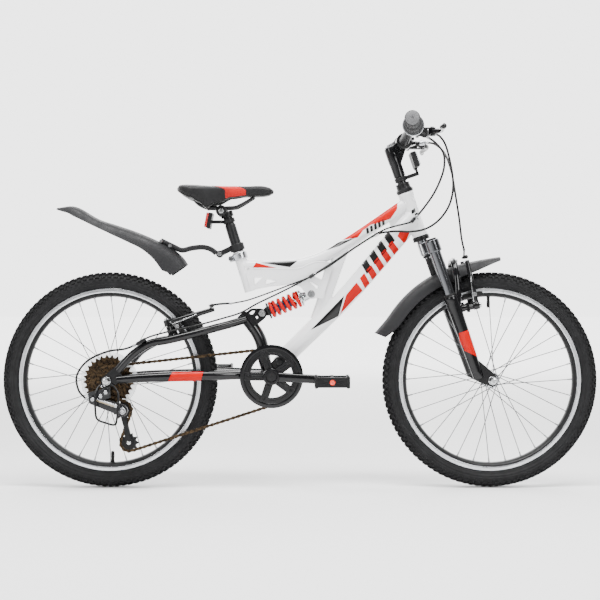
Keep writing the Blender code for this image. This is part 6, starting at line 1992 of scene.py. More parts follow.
def shock():
    """Upper eye with its spring seat, and the shaft; lower eye with its seat, and the body; the red coil."""
    up = SHOCK_UP
    length = SHOCK_LENGTH
    bm = bmesh.new()
    collar(bm, SHOCK_TOP, Y_AXIS, -0.0128, 0.0128, 0.0043, 0.0100, 44, 0.0008)
    seat = [
        (0.0130, 0.0968), (0.0190, 0.0968), (0.0198, 0.0974), (0.0198, 0.0998), (0.0186, 0.1010),
        (0.0150, 0.1022), (0.0122, 0.1040), (0.0112, 0.1075), (0.0104, length - 0.0075),
        (0.0080, length - 0.0060),
    ]
    turned(bm, seat, SHOCK_FOOT, up, 48)
    piece("shock_upper_eye", bm, "chrome", "shock_upper", stands=True)
    bm = bmesh.new()
    turned(bm, [(0.0058, 0.0400), (0.0058, 0.1000)], SHOCK_FOOT, up, 32)
    piece("shock_shaft", bm, "chrome", "shock_upper")
    bm = bmesh.new()
    collar(bm, SHOCK_FOOT, Y_AXIS, -0.0100, 0.0100, 0.0048, 0.0100, 40, 0.0008)
    seat = [
        (0.0085, 0.0070), (0.0104, 0.0100), (0.0112, 0.0138), (0.0188, 0.0146), (0.0198, 0.0152),
        (0.0198, 0.0180), (0.0190, 0.0190), (0.0100, 0.0192),
    ]
    turned(bm, seat, SHOCK_FOOT, up, 48)
    piece("shock_lower_eye", bm, "satin_black", "shock_lower", stands=True)
    bm = bmesh.new()
    body = [
        (0.0063, 0.0205), (0.0104, 0.0190), (0.0106, 0.0500), (0.0098, 0.0506), (0.0098, 0.0516),
        (0.0106, 0.0522),
    ]
    body += [(0.0106, 0.0740), (0.0100, 0.0760), (0.0063, 0.0760)]
    turned(bm, body, SHOCK_FOOT, up, 40, ring=True)
    piece("shock_body", bm, "damper", "shock_lower")
    turns = 5.0
    wire = 0.0040
    side, across = side_axes(up)
    points = []
    steps = 260
    for step in range(steps + 1):
        share = step / steps
        angle = 2 * math.pi * (turns + 1.3) * share
        # The end coils lie flat against the seats, and the turns between them are evenly open
        level = min(1.0, max(0.0, (share * (turns + 1.3) - 0.65) / turns))
        flat = 0.0015 * (share * (turns + 1.3) - min(max(share * (turns + 1.3), 0.65), turns + 0.65))
        height = 0.0233 + 0.0014 + flat + (0.0927 - 0.0233 - 0.0028) * level
        outward = side * math.cos(angle) + across * math.sin(angle)
        points.append(SHOCK_FOOT + up * height + outward * 0.0165)
    bm = bmesh.new()
    sweep(bm, points, wire, 18)
    seats = (SHOCK_FOOT + up * 0.0250, SHOCK_FOOT + up * 0.0910)
    piece(
        "shock_coil", bm, "coil", "shock_spring", stands=True,
        crosses=("shock_lower", "shock_upper", *seats),
    )


# ---------------------------------------------------------------- chain line


def belt_points():
    """The chain's line as (point, outward normal) pairs round the ring, cog and two pulleys."""
    pulley = pitch_radius(PULLEY_TEETH)
    rounds = [
        (BRACKET, pitch_radius(RING_TEETH), 1, RING_SIDE, 60),
        (TENSION_PULLEY, pulley, 1, DRIVEN_SIDE, 24),
        (GUIDE_PULLEY, pulley, -1, DRIVEN_SIDE, 24),
        (REAR_AXLE, pitch_radius(DRIVEN_COG), 1, DRIVEN_SIDE, 36),
    ]
    headings = []
    for index, (centre, radius, turn, _, _) in enumerate(rounds):
        other, other_radius, other_turn, _, _ = rounds[(index + 1) % 4]
        across = math.hypot(other.x - centre.x, other.z - centre.z)
        lean = math.asin((radius * turn - other_radius * other_turn) / across)
        headings.append(math.atan2(other.z - centre.z, other.x - centre.x) - lean)
    points = []
    for index, (centre, radius, turn, side, steps) in enumerate(rounds):
        start = headings[index - 1]
        end = headings[index]
        swept = (start - end) % (2 * math.pi) if turn > 0 else -((end - start) % (2 * math.pi))
        for step in range(steps + 1):
            heading = start - swept * step / steps
            normal = Vector((-math.sin(heading), 0.0, math.cos(heading)))
            point = centre + normal * (radius * turn)
            point.y = side
            points.append((point, normal))
    return points


def chain_pins():
    """Evenly spaced pins along the belt, each with the outward direction of the chain there."""
    belt = belt_points()
    lengths = [0.0]
    for index in range(len(belt)):
        after = belt[(index + 1) % len(belt)][0]
        lengths.append(lengths[-1] + (after - belt[index][0]).length)
    count = 2 * round(lengths[-1] / CHAIN_PITCH / 2)
    pins = []
    place = 0
    for pin in range(count):
        target = lengths[-1] * pin / count
        while lengths[place + 1] < target:
            place += 1
        share = (target - lengths[place]) / max(1e-9, lengths[place + 1] - lengths[place])
        start, start_normal = belt[place]
        end, end_normal = belt[(place + 1) % len(belt)]
        pins.append((start.lerp(end, share), start_normal.lerp(end_normal, share).normalized()))
    return pins


def link_plate(bm, first, second, low, high):
    """A figure-of-eight side plate between two pins, from low to high off the chain's middle."""
    along = (second - first).normalized()
    up = along.cross(Y_AXIS)
    length = (second - first).length
    outline = []
    for step in range(9):
        angle = math.radians(125) - math.radians(250) * step / 8
        outline.append((length + 0.0040 * math.cos(angle), 0.0040 * math.sin(angle)))
    outline.append((length / 2, -0.0027))
    for step in range(9):
        angle = math.radians(-55) - math.radians(250) * step / 8
        outline.append((0.0040 * math.cos(angle), 0.0040 * math.sin(angle)))
    outline.append((length / 2, 0.0027))
    rings = []
    for level in (low, high):
        ring = [bm.verts.new(first + along * ahead + up * rise + Y_AXIS * level) for ahead, rise in outline]
        rings.append(ring)
    join_rings(bm, rings[0], rings[1])
    bm.faces.new(rings[0])
    bm.faces.new(rings[1])


def chain():
    """The links, pins and rollers, laid round the chain's path."""
    pins = chain_pins()
    plates = bmesh.new()
    rollers = bmesh.new()
    for index, (point, _) in enumerate(pins):
        after = pins[(index + 1) % len(pins)][0]
        near, far = (0.0021, 0.0029) if index % 2 else (0.0012, 0.0020)
        link_plate(plates, point, after, near, far)
        link_plate(plates, point, after, -far, -near)
        turned(rollers, [(0.0037, -0.0011), (0.0037, 0.0011)], point, Y_AXIS, 14)
        turned(
            rollers, [(0.0017, -0.0033), (0.0019, -0.0030), (0.0019, 0.0030), (0.0017, 0.0033)], point,
            Y_AXIS, 10,
        )
    piece("chain_plates", plates, "chain", "chain", stands=True)
    piece("chain_rollers", rollers, "chain", "chain")
    return [point for point, _ in pins]


def valley_angle(pins, centre, radius):
    """The angle at which a chain roller sits on a wheel, so that its teeth fall between the rollers."""
    best = None
    for pin in pins:
        gap = pin - centre
        error = abs(math.hypot(gap.x, gap.z) - radius)
        if best is None or error < best[0]:
            best = (error, math.atan2(gap.z, gap.x))
    return best[1]


def toothed(bm, centre, side, thick, teeth, inner, phase, tip=0.0030, root=0.0036, blunt=0.0):
    """A flat toothed ring. phase is the angle of one valley."""
    pitch = pitch_radius(teeth)
    samples = (
        (0.00, -root), (0.14, -root * 0.92), (0.26, -root * 0.45), (0.36, tip * 0.35),
        (0.44 - blunt, tip * 0.93), (0.50, tip), (0.56 + blunt, tip * 0.93), (0.64, tip * 0.35),
        (0.74, -root * 0.45), (0.86, -root * 0.92),
    )
    outer = []
    for tooth in range(teeth):
        for share, rise in samples:
            angle = phase + 2 * math.pi * (tooth + share) / teeth
            outer.append((pitch + rise, angle))
    rings = []
    for is_outer, level in ((False, -1), (True, -1), (True, 1), (False, 1)):
        ring = []
        for radius, angle in outer:
            reach = radius if is_outer else inner
            thin = thick / 2 * (0.62 if is_outer and radius > pitch + tip * 0.3 else 1.0)
            ahead, _, rise = centre + X_AXIS * (reach * math.cos(angle)) + Z_AXIS * (reach * math.sin(angle))
            place = Vector((ahead, side + level * thin, rise))
            ring.append(bm.verts.new(place))
        rings.append(ring)
    for index in range(4):
        join_rings(bm, rings[index], rings[(index + 1) % 4])


def cogs(pins):
    """The freewheel's six cogs and its body."""
    phase = valley_angle(pins, REAR_AXLE, pitch_radius(DRIVEN_COG))
    bm = bmesh.new()
    for index, teeth in enumerate(COG_TEETH):
        side = FIRST_COG_SIDE + COG_SPACING * index
        toothed(bm, REAR_AXLE, side, 0.0019, teeth, 0.0180, phase + 0.07 * index * (teeth != DRIVEN_COG))
    piece("freewheel_cogs", bm, "bronze", "freewheel", stands=True, sharp=30.0)
    bm = bmesh.new()
    outline = [(0.0054, -0.0302), (0.0190, -0.0302), (0.0196, -0.0312), (0.0192, -0.0560), (0.0172, -0.0578)]
    outline += [(0.0168, -0.0590), (0.0110, -0.0590), (0.0106, -0.0570), (0.0054, -0.0568)]
    turned(bm, outline, REAR_AXLE, Y_AXIS, 40, ring=True)
    piece("freewheel_body", bm, "bronze", "freewheel")


def chainset(pins):
    """Right crank with its five-armed spider, the chainring and its round guard, and the left crank."""
    bm = bmesh.new()
    inner = [
        (0.0500, RING_SIDE + 0.0010), (0.0580, RING_SIDE + 0.0010), (0.0580, RING_SIDE - 0.0010),
        (0.0596, -0.0470), (0.0500, -0.0470),
    ]
    turned(bm, inner, BRACKET, Y_AXIS, 96, ring=True)
    phase = valley_angle(pins, BRACKET, pitch_radius(RING_TEETH))
    toothed(bm, BRACKET, RING_SIDE, 0.0021, RING_TEETH, 0.0570, phase)
    piece("chainring_teeth", bm, "satin_black", "chainring", stands=True, sharp=30.0)
    bm = bmesh.new()
    guard = [
        (0.0500, -0.0472), (0.0728, -0.0472), (0.0740, -0.0478), (0.0742, -0.0490), (0.0730, -0.0504),
        (0.0700, -0.0512), (0.0640, -0.0506), (0.0632, -0.0500), (0.0560, -0.0500), (0.0552, -0.0508),
        (0.0506, -0.0508), (0.0498, -0.0500),
    ]
    turned(bm, guard, BRACKET, Y_AXIS, 120, ring=True)
    piece("chain_guard_ring", bm, "black", "chainring", sharp=30.0)
    for side, word in ((RIGHT, "right"), (LEFT, "left")):
        crank(side, word)
    bm = bmesh.new()
    for index in range(5):
        angle = math.radians(36 + 72 * index)
        outward = Vector((math.cos(angle), 0.0, math.sin(angle)))
        up = outward.cross(Y_AXIS)
        centre = BRACKET + outward * 0.0330
        centre.y = -0.0527
        block(bm, centre, (0.0500, 0.0048, 0.0185), outward, up)
        pad = BRACKET + outward * 0.0560
        pad.y = -0.0524
        block(bm, pad, (0.0140, 0.0068, 0.0195), outward, up)
        ridge = BRACKET + outward * 0.0340
        ridge.y = -0.0556
        block(bm, ridge, (0.0260, 0.0030, 0.0060), outward, up)
    piece("spider", bm, "black", "crank_right", bevel=0.0010, segments=3)
    bm = bmesh.new()
    for index in range(5):
        angle = math.radians(36 + 72 * index)
        place = BRACKET + Vector((math.cos(angle), 0.0, math.sin(angle))) * 0.0560
        place.y = -0.0554
        socket_head(bm, place, -Y_AXIS, 0.0040, 0.0014, 24)
    piece("spider_bolts", bm, "satin_black", "crank_right")
    bm = bmesh.new()
    turned(bm, [(0.0084, -0.0585), (0.0084, 0.0585)], BRACKET, Y_AXIS, 4)
    turned(bm, [(0.0084, -0.0400), (0.0084, 0.0400)], BRACKET, Y_AXIS, 32)
    piece("spindle", bm, "zinc", "bottom_bracket_spindle", stands=True)


def crank(side, word):
    """One crank arm with its cap at the spindle and the pin of its pedal."""
    ahead = (RIGHT_PEDAL - BRACKET) if side == RIGHT else (LEFT_PEDAL - BRACKET)
    ahead.y = 0.0
    ahead.normalize()
    pedal_place = RIGHT_PEDAL if side == RIGHT else LEFT_PEDAL
    end = Vector((pedal_place.x, side * 0.0685, pedal_place.z))
    reach = math.hypot(pedal_place.x - BRACKET.x, pedal_place.z - BRACKET.z)
    inner = 0.0500 if side == RIGHT else 0.0400
    route = [
        BRACKET + ahead * 0.005 + Y_AXIS * (side * 0.0590),
        BRACKET + ahead * (reach * 0.25) + Y_AXIS * (side * 0.0612),
        BRACKET + ahead * (reach * 0.5) + Y_AXIS * (side * 0.0640),
        BRACKET + ahead * (reach * 0.8) + Y_AXIS * (side * 0.0668),
        end,
    ]
    bm = bmesh.new()
    radii = smooth_values([0.0116, 0.0108, 0.0103, 0.0100, 0.0100], 8)
    sweep(bm, smooth_path(route, 8), radii, 32, flatness=0.55)
    out = Y_AXIS * side
    boss = [
        (0.0090, inner), (0.0184, inner), (0.0194, inner + 0.0010), (0.0196, 0.0620), (0.0192, 0.0664),
        (0.0180, 0.0680), (0.0160, 0.0682), (0.0156, 0.0674), (0.0128, 0.0674), (0.0122, 0.0682),
        (0.0120, 0.0668), (0.0090, 0.0664),
    ]
    turned(bm, boss, BRACKET, out, 52, ring=True)
    eye = [
        (0.0110, 0.0612), (0.0125, 0.0622), (0.0127, 0.0700), (0.0120, 0.0748), (0.0104, 0.0755),
        (0.0060, 0.0755),
    ]
    turned(bm, eye, Vector((end.x, 0.0, end.z)), out, 40)
    piece(f"{word}_crank_arm", bm, "black", f"crank_{word}", stands=True)
    bm = bmesh.new()
    cap_outline = [(0.0118, 0.0655), (0.0118, 0.0670), (0.0108, 0.0680), (0.0050, 0.0682), (0.0036, 0.0674)]
    turned(bm, cap_outline, BRACKET, out, 40)
    piece(f"{word}_crank_cap", bm, "plastic", f"crank_{word}", sharp=30.0)
    bm = bmesh.new()
    place = Vector((end.x, 0.0, end.z))
    turned(bm, [(0.0078, 0.0752), (0.0078, 0.0768), (0.0070, 0.0772)], place, out, 6)
    turned(bm, [(0.0044, 0.0700), (0.0044, 0.1450)], place, out, 24)
    piece(f"{word}_pedal_pin", bm, "zinc", f"crank_{word}")
    pedal(side, word, place)


def pedal(side, word, place):
    """An open platform with toothed treads, cross ribs and a reflector at each face and at its outer end."""
    node = f"pedal_{word}"
    bm = bmesh.new()
    barrel = [
        (0.0048, 0.0780), (0.0110, 0.0780), (0.0120, 0.0790), (0.0120, 0.0860), (0.0098, 0.0890),
        (0.0096, 0.1460), (0.0118, 0.1500), (0.0118, 0.1548), (0.0048, 0.1548),
    ]
    turned(bm, barrel, place, Y_AXIS * side, 40, ring=True)
    piece(f"{word}_pedal_barrel", bm, "plastic", node, stands=True)
    bm = bmesh.new()
    for ahead in (1, -1):
        centre = place + Vector((ahead * 0.0360, side * 0.1180, 0.0))
        block(bm, centre, (0.0070, 0.0760, 0.0200))
        for level in (1, -1):
            rail = centre + Z_AXIS * (level * 0.0105)
            block(bm, rail, (0.0078, 0.0760, 0.0030))
            for index in range(9):
                tooth = rail + Vector((0.0, side * (-0.0336 + 0.0084 * index), level * 0.0024))
                block(bm, tooth, (0.0072, 0.0042, 0.0024), X_AXIS, Z_AXIS * level, 0.6)
    for reach in (0.0840, 0.1520):
        block(bm, place + Vector((0.0, side * reach, 0.0)), (0.0796, 0.0076, 0.0236))
    for reach in (0.1010, 0.1180, 0.1350):
        block(bm, place + Vector((0.0, side * reach, 0.0)), (0.0660, 0.0030, 0.0120))
    for ahead in (0.5, -0.5):
        block(bm, place + Vector((ahead * 0.040, side * 0.118, 0.0)), (0.0028, 0.066, 0.0110))
    piece(f"{word}_pedal_cage", bm, "plastic", node, bevel=0.0008)
    bm = bmesh.new()
    for ahead in (1, -1):
        centre = place + Vector((ahead * 0.0383, side * 0.1180, 0.0))
        block(bm, centre, (0.0018, 0.0440, 0.0130), X_AXIS, Z_AXIS)
    piece(f"{word}_pedal_reflector_strips", bm, "lens_amber", node)
    bm = bmesh.new()
    collar(bm, place, Y_AXIS * side, 0.1552, 0.1570, 0.0068, 0.0092, 36, 0.0003)
    for ahead in (1, -1):
        for level in (1, -1):
            rib = place + Vector((ahead * 0.0210, side * 0.1566, level * 0.0052))
            lean = Vector((1.0, 0.0, ahead * level * 0.34)).normalized()
            block(bm, rib, (0.0240, 0.0020, 0.0026), lean, Z_AXIS)
        block(bm, place + Vector((ahead * 0.0350, side * 0.1566, 0.0)), (0.0034, 0.0020, 0.0200))
    piece(f"{word}_pedal_end_ribs", bm, "plastic", node, bevel=0.0004)
    bm = bmesh.new()
    disc = [(0.0066, 0.1546), (0.0066, 0.1556), (0.0060, 0.1563), (0.0020, 0.1565)]
    turned(bm, disc, place, Y_AXIS * side, 36)
    piece(f"{word}_pedal_reflectors", bm, "lens_amber", node)


# ---------------------------------------------------------------- derailleur


def derailleur():
    """The parallelogram with its bolts and barrel, and the cage with the bolts of its pulleys."""
    upper = Vector((-0.4480, 0.0, 0.2290))
    middle = Vector((-0.4780, 0.0, 0.2130))
    lower = Vector((-0.4100, 0.0, 0.1860))
    bm = bmesh.new()
    cross_rod(bm, upper, -0.0836, -0.0692, 0.0104, 40, 0.0014)
    cross_rod(bm, middle, -0.0836, -0.0692, 0.0090, 36, 0.0014)
    cross_rod(bm, lower, -0.0836, -0.0622, 0.0128, 40, 0.0016)
    piece("derailleur_knuckles", bm, "graphite", "derailleur_body", stands=True)
    bm = bmesh.new()
    prism(
        bm, rounded([(-0.4390, 0.2420), (-0.4900, 0.2280), (-0.4880, 0.2040), (-0.4370, 0.2160)], 0.004),
        -0.0806, -0.0712,
    )
    prism(
        bm, rounded([(-0.4860, 0.2230), (-0.4020, 0.1990), (-0.4040, 0.1700), (-0.4880, 0.2030)], 0.005),
        -0.0796, -0.0702,
    )
    piece("derailleur_links", bm, "graphite", "derailleur_body", bevel=0.0016, segments=3)
    bm = bmesh.new()
    prism(
        bm, rounded([(-0.4760, 0.2165), (-0.4220, 0.2000), (-0.4230, 0.1925), (-0.4770, 0.2110)], 0.003),
        -0.0816, -0.0794,
    )
    piece("derailleur_plate", bm, "alloy", "derailleur_body", bevel=0.0008)
    bm = bmesh.new()
    prism(
        bm, rounded([(-0.4700, 0.2112), (-0.4280, 0.1975), (-0.4282, 0.1950), (-0.4702, 0.2088)], 0.001),
        -0.0821, -0.0812,
    )
    piece("derailleur_stripe", bm, "gold", "derailleur_body")
    bm = bmesh.new()
    hexagon(bm, Vector((upper.x, -0.0832, upper.z)), -Y_AXIS, 0.0, 0.0044, 0.0048)
    socket_head(bm, Vector((middle.x, -0.0834, middle.z)), -Y_AXIS, 0.0046, 0.0030)
    socket_head(bm, Vector((lower.x, -0.0834, lower.z)), -Y_AXIS, 0.0042, 0.0030)
    collar(bm, lower, -Y_AXIS, 0.0826, 0.0842, 0.0058, 0.0078, 36, 0.0003)
    cable_bolt = Vector((-0.4600, -0.0810, 0.2200))
    hexagon(bm, cable_bolt, -Y_AXIS, 0.0, 0.0046, 0.0048)
    for place in ((-0.4520, 0.2420), (-0.4575, 0.2395)):
        rod(bm, (place[0], -0.0760, place[1]), (place[0] - 0.0030, -0.0760, place[1] + 0.0062), 0.0020, 14)
    start = Vector((-0.4895, -0.0766, 0.2115))
    end = Vector((-0.4780, -0.0762, 0.2150))
    rod(bm, start, end, 0.0036, 24, 0.0005)
    piece("derailleur_bolts", bm, "alloy", "derailleur_body")
    bm = bmesh.new()
    along = (TENSION_PULLEY - GUIDE_PULLEY).normalized()
    up = along.cross(Y_AXIS)
    length = (TENSION_PULLEY - GUIDE_PULLEY).length
    for side in (DRIVEN_SIDE - 0.0062, DRIVEN_SIDE + 0.0062):
        outline = []
        for step in range(13):
            angle = math.radians(100) - math.radians(200) * step / 12
            outline.append((length + 0.0078 * math.cos(angle), 0.0078 * math.sin(angle)))
        outline.append((length * 0.5, -0.0052))
        for step in range(13):
            angle = math.radians(-80) - math.radians(200) * step / 12
            outline.append((0.0080 * math.cos(angle), 0.0080 * math.sin(angle)))
        outline.append((length * 0.5, 0.0052))
        rings = []
        for level in (-0.0007, 0.0007):
            ring = []
            for ahead, rise in outline:
                place = GUIDE_PULLEY + along * ahead + up * rise
                ring.append(bm.verts.new(Vector((place.x, side + level, place.z))))
            rings.append(ring)
        join_rings(bm, rings[0], rings[1])
        bm.faces.new(rings[0])
        bm.faces.new(rings[1])
    piece("derailleur_cage_plates", bm, "satin_black", "derailleur_cage", stands=True, bevel=0.0003)
    bm = bmesh.new()
    for place in (GUIDE_PULLEY, TENSION_PULLEY):
        cross_rod(bm, place, DRIVEN_SIDE - 0.0072, DRIVEN_SIDE + 0.0072, 0.0025, 20)
        socket_head(bm, Vector((place.x, DRIVEN_SIDE - 0.0068, place.z)), -Y_AXIS, 0.0046, 0.0020)
    cross_rod(bm, GUIDE_PULLEY, -0.0617, DRIVEN_SIDE - 0.0072, 0.0060, 28)
    piece("pulley_bolts", bm, "chrome", "derailleur_cage")


def pulleys(pins):
    """The two jockey wheels."""
    for word, centre in (("guide", GUIDE_PULLEY), ("tension", TENSION_PULLEY)):
        phase = valley_angle(pins, centre, pitch_radius(PULLEY_TEETH))
        bm = bmesh.new()
        toothed(bm, centre, DRIVEN_SIDE, 0.0022, PULLEY_TEETH, 0.0090, phase, 0.0024, 0.0036)
        outline = [
            (0.0031, -0.0030), (0.0092, -0.0030), (0.0096, -0.0024), (0.0096, 0.0024), (0.0092, 0.0030),
            (0.0031, 0.0030),
        ]
        middle = Vector((centre.x, DRIVEN_SIDE, centre.z))
        turned(bm, outline, middle, Y_AXIS, 32, ring=True)
        piece(f"{word}_pulley_wheel", bm, "plastic", f"{word}_pulley", stands=True, sharp=30.0)
        bm = bmesh.new()
        collar(bm, middle, -Y_AXIS, 0.0028, 0.0036, 0.0031, 0.0064, 28, 0.0002)
        piece(f"{word}_pulley_washer", bm, "alloy", f"{word}_pulley")


def derailleur_cover():
    """The bent wire that guards the derailleur."""
    bm = bmesh.new()
    collar(bm, REAR_AXLE, Y_AXIS, -0.0706, -0.0691, 0.0053, 0.0132, 40, 0.0003)
    route = [
        (-0.4594, -0.0700, 0.2472), (-0.4594, -0.0740, 0.2472), (-0.4670, -0.0850, 0.2380),
        (-0.4700, -0.0960, 0.2200), (-0.4690, -0.1000, 0.1850), (-0.4640, -0.1000, 0.1680),
        (-0.4450, -0.1000, 0.1600), (-0.4256, -0.1000, 0.1560), (-0.4200, -0.1000, 0.1680),
        (-0.4170, -0.0960, 0.2200), (-0.4240, -0.0850, 0.2370), (-0.4378, -0.0740, 0.2472),
        (-0.4378, -0.0700, 0.2472),
    ]
    sweep(bm, smooth_path(route, 8), 0.0024, 18)
    piece("derailleur_guard_wire", bm, "satin_black", "derailleur_guard", stands=True)


# ---------------------------------------------------------------- brakes

PAD_RADIUS = 0.2060
PAD_INNER = 0.0148
PAD_OUTER = 0.0245


def brake_arm(word, where, side, pivot, top, axle, pad_rise, pad_sink, ahead):
    """A V-brake arm on its pivot, with its bolt and return spring, and the pad on its threaded stud."""
    axis = brake_axis(pivot, top, ahead)
    flat_pivot = Vector((pivot.x, 0.0, pivot.z))
    along = (top - flat_pivot).normalized()
    length = (top - flat_pivot).length
    place = mirrored(pivot, side)
    out = Y_AXIS * side
    node = f"{where}_brake_{word}_arm"
    route = [
        place,
        place + along * 0.0200 + out * 0.0020,
        place + along * 0.0500 + out * 0.0040,
        place + along * (length - 0.020) + out * 0.0010,
        place + along * length - out * 0.0010,
    ]
    bm = bmesh.new()
    sweep(
        bm, smooth_path(route, 8), smooth_values([0.0072, 0.0068, 0.0060, 0.0052, 0.0048], 8), 24,
        flatness=0.86,
    )
    profile = [
        (0.0046, -0.0073), (0.0082, -0.0073), (0.0090, -0.0064), (0.0090, 0.0064), (0.0082, 0.0073),
        (0.0046, 0.0073),
    ]
    turned(bm, profile, place, axis, 36, ring=True)
    stub = place + along * pad_rise + out * 0.0020
    if pad_sink:
        rod(bm, stub, stub - axis * (pad_sink + 0.005), 0.0065, 28, 0.0008)
    piece(f"{where}_{word}_brake_arm", bm, "black", node, stands=True)
    bm = bmesh.new()
    collar(bm, place, axis, 0.0073, 0.0084, 0.0030, 0.0072, 28, 0.0003)
    socket_head(bm, place + axis * 0.0082, axis, 0.0058, 0.0036)
    anchor = place + along * (length - 0.006)
    if word == "left":
        hexagon(bm, anchor + axis * 0.0040, axis, 0.0, 0.0046, 0.0048)
        collar(bm, anchor, axis, 0.0034, 0.0046, 0.0020, 0.0060, 24, 0.0002)
    spring = [
        place + along * 0.0100 - axis * 0.0050 + out * 0.0070,
        place + along * 0.0300 - axis * 0.0040 + out * 0.0098,
        place + along * 0.0550 - axis * 0.0020 + out * 0.0098,
        place + along * 0.0700 + out * 0.0070,
        place + along * 0.0730 + out * 0.0030,
    ]
    sweep(bm, smooth_path(spring, 6), 0.0009, 10)
    screw = place + along * 0.0080 + out * 0.0072
    rod(bm, screw, screw + out * 0.0046, 0.0019, 14)
    piece(f"{where}_{word}_brake_metal", bm, "chrome", node)
    radial = (flat_pivot + along * pad_rise - axis * pad_sink - axle).normalized()
    tangent = radial.cross(Y_AXIS)
    middle = axle + radial * PAD_RADIUS
    pad_node = f"{where}_brake_{word}_pad"
    bm = bmesh.new()
    rings = []
    low, high = PAD_INNER, PAD_OUTER - 0.0012
    for level, narrow in ((low, 1.0), (high - 0.0015, 1.0), (high, 0.86)):
        ring = []
        for step in range(25):
            share = -1.0 + 2.0 * step / 24
            width = 0.0046 * (1.0 - 0.45 * abs(share) ** 5) * narrow
            turn = share * 0.0240 / PAD_RADIUS
            ray = radial * math.cos(turn) + tangent * math.sin(turn)
            ring.append(axle + ray * (PAD_RADIUS + width) + out * level)
        for step in range(25):
            share = 1.0 - 2.0 * step / 24
            width = 0.0046 * (1.0 - 0.45 * abs(share) ** 5) * narrow
            turn = share * 0.0240 / PAD_RADIUS
            ray = radial * math.cos(turn) + tangent * math.sin(turn)
            ring.append(axle + ray * (PAD_RADIUS - width) + out * level)
        rings.append([bm.verts.new(spot) for spot in ring])
    for first, second in zip(rings, rings[1:]):
        join_rings(bm, first, second)
    bm.faces.new(rings[0])
    bm.faces.new(rings[-1])
    pad = piece(f"{where}_{word}_brake_shoe", bm, "pad", pad_node, stands=True, sharp=32.0)
    cutter = bmesh.new()
    for index in range(3):
        turn = (index - 1) * 0.0120 / PAD_RADIUS
        ray = radial * math.cos(turn) + tangent * math.sin(turn)
        block(
            cutter, axle + ray * PAD_RADIUS + out * (low + 0.0008), (0.0011, 0.0040, 0.0200),
            ray.cross(Y_AXIS), ray,
        )
    drill(pad, cutter)
    bm = bmesh.new()
    flat_middle = Vector((middle.x, 0.0, middle.z))
    turned(bm, [(0.0036, PAD_OUTER - 0.003), (0.0036, 0.0395)], flat_middle, out, 20)
    turned(
        bm, [(0.0078, PAD_OUTER - 0.0012), (0.0078, PAD_OUTER + 0.0008), (0.0060, PAD_OUTER + 0.0030)],
        flat_middle, out, 28,
    )
    piece(f"{where}_{word}_pad_stud", bm, "satin_black", pad_node)
    bm = bmesh.new()
    stud_end = flat_middle + out * 0.0500
    turned(bm, [(0.0062, 0.0), (0.0062, 0.0018)], stud_end + out * 0.0012, out, 28)
    hexagon(bm, stud_end + out * 0.0028, out, 0.0, 0.0044, 0.0052)
    piece(f"{where}_{word}_pad_nut", bm, "zinc", node)


def brakes():
    """The four arms of the front and the rear brake."""
    front = (FRONT_BRAKE_PIVOT, FRONT_BRAKE_TOP, FRONT_AXLE, 0.0300, 0.0, True)
    rear = (REAR_BRAKE_PIVOT, REAR_BRAKE_TOP, REAR_AXLE, 0.0220, 0.0140, False)
    for word, side in (("left", LEFT), ("right", RIGHT)):
        brake_arm(word, "front", side, *front)
        brake_arm(word, "rear", side, *rear)


# ---------------------------------------------------------------- cables

SHIFT_HOUSING = [
    (0.2856, -0.1459, 0.8106), (0.3050, -0.1430, 0.7980), (0.3253, -0.1300, 0.7752),
    (0.3292, -0.1100, 0.7456), (0.3223, -0.0850, 0.7160), (0.3095, -0.0550, 0.6864),
    (0.2890, -0.0310, 0.6560), (0.2720, -0.0260, 0.6360),
]
SHIFT_WIRE = [
    (0.2720, -0.0260, 0.6360), (0.2600, -0.0280, 0.6250), (0.2000, -0.0300, 0.6080),
    (0.1450, -0.0275, 0.5760), (0.0700, -0.0262, 0.5230), (0.0050, -0.0262, 0.4860),
    (-0.0500, -0.0262, 0.4580), (-0.1000, -0.0262, 0.4340), (-0.1400, -0.0270, 0.4120),
    (-0.1850, -0.0330, 0.3980), (-0.2400, -0.0480, 0.3830), (-0.3000, -0.0640, 0.3700),
    (-0.3500, -0.0760, 0.3560), (-0.3800, -0.0800, 0.3380),
]
SHIFT_TAIL = [
    (-0.3800, -0.0800, 0.3380), (-0.4050, -0.0820, 0.3290), (-0.4450, -0.0820, 0.3230),
    (-0.4900, -0.0810, 0.3020), (-0.5150, -0.0800, 0.2680), (-0.5120, -0.0780, 0.2350),
    (-0.4980, -0.0770, 0.2170), (-0.4890, -0.0765, 0.2110),
]
REAR_HOUSING = [
    (0.3078, -0.0852, 0.8262), (0.3250, -0.0780, 0.8180), (0.3400, -0.0760, 0.7900),
    (0.3531, -0.0800, 0.7205), (0.3484, -0.0760, 0.6706), (0.3277, -0.0650, 0.6333),
    (0.2970, -0.0500, 0.6098), (0.2600, -0.0400, 0.6020), (0.2197, -0.0320, 0.6030),
    (0.1800, -0.0250, 0.5960), (0.1300, -0.0210, 0.5660), (0.0800, -0.0200, 0.5320),
    (0.0320, -0.0200, 0.5010),
]
REAR_WIRE = [
    (0.0320, -0.0200, 0.5010), (0.0200, -0.0200, 0.4950), (-0.0251, -0.0200, 0.4771),
    (-0.1121, -0.0200, 0.4450), (-0.1500, -0.0260, 0.4360), (-0.1600, -0.0290, 0.4345),
]
REAR_TAIL = [
    (-0.1600, -0.0290, 0.4345), (-0.1850, -0.0400, 0.4330), (-0.2020, -0.0530, 0.4305),
    (-0.2080, -0.0560, 0.4290), (-0.2100, -0.0500, 0.4290),
]
FRONT_HOUSING = [
    (0.3078, 0.0852, 0.8262), (0.3280, 0.0720, 0.8200), (0.3480, 0.0450, 0.7950),
    (0.3620, 0.0260, 0.7500), (0.3700, 0.0200, 0.7000), (0.3800, 0.0240, 0.6400),
    (0.3880, 0.0380, 0.5900), (0.3960, 0.0520, 0.5620),
]
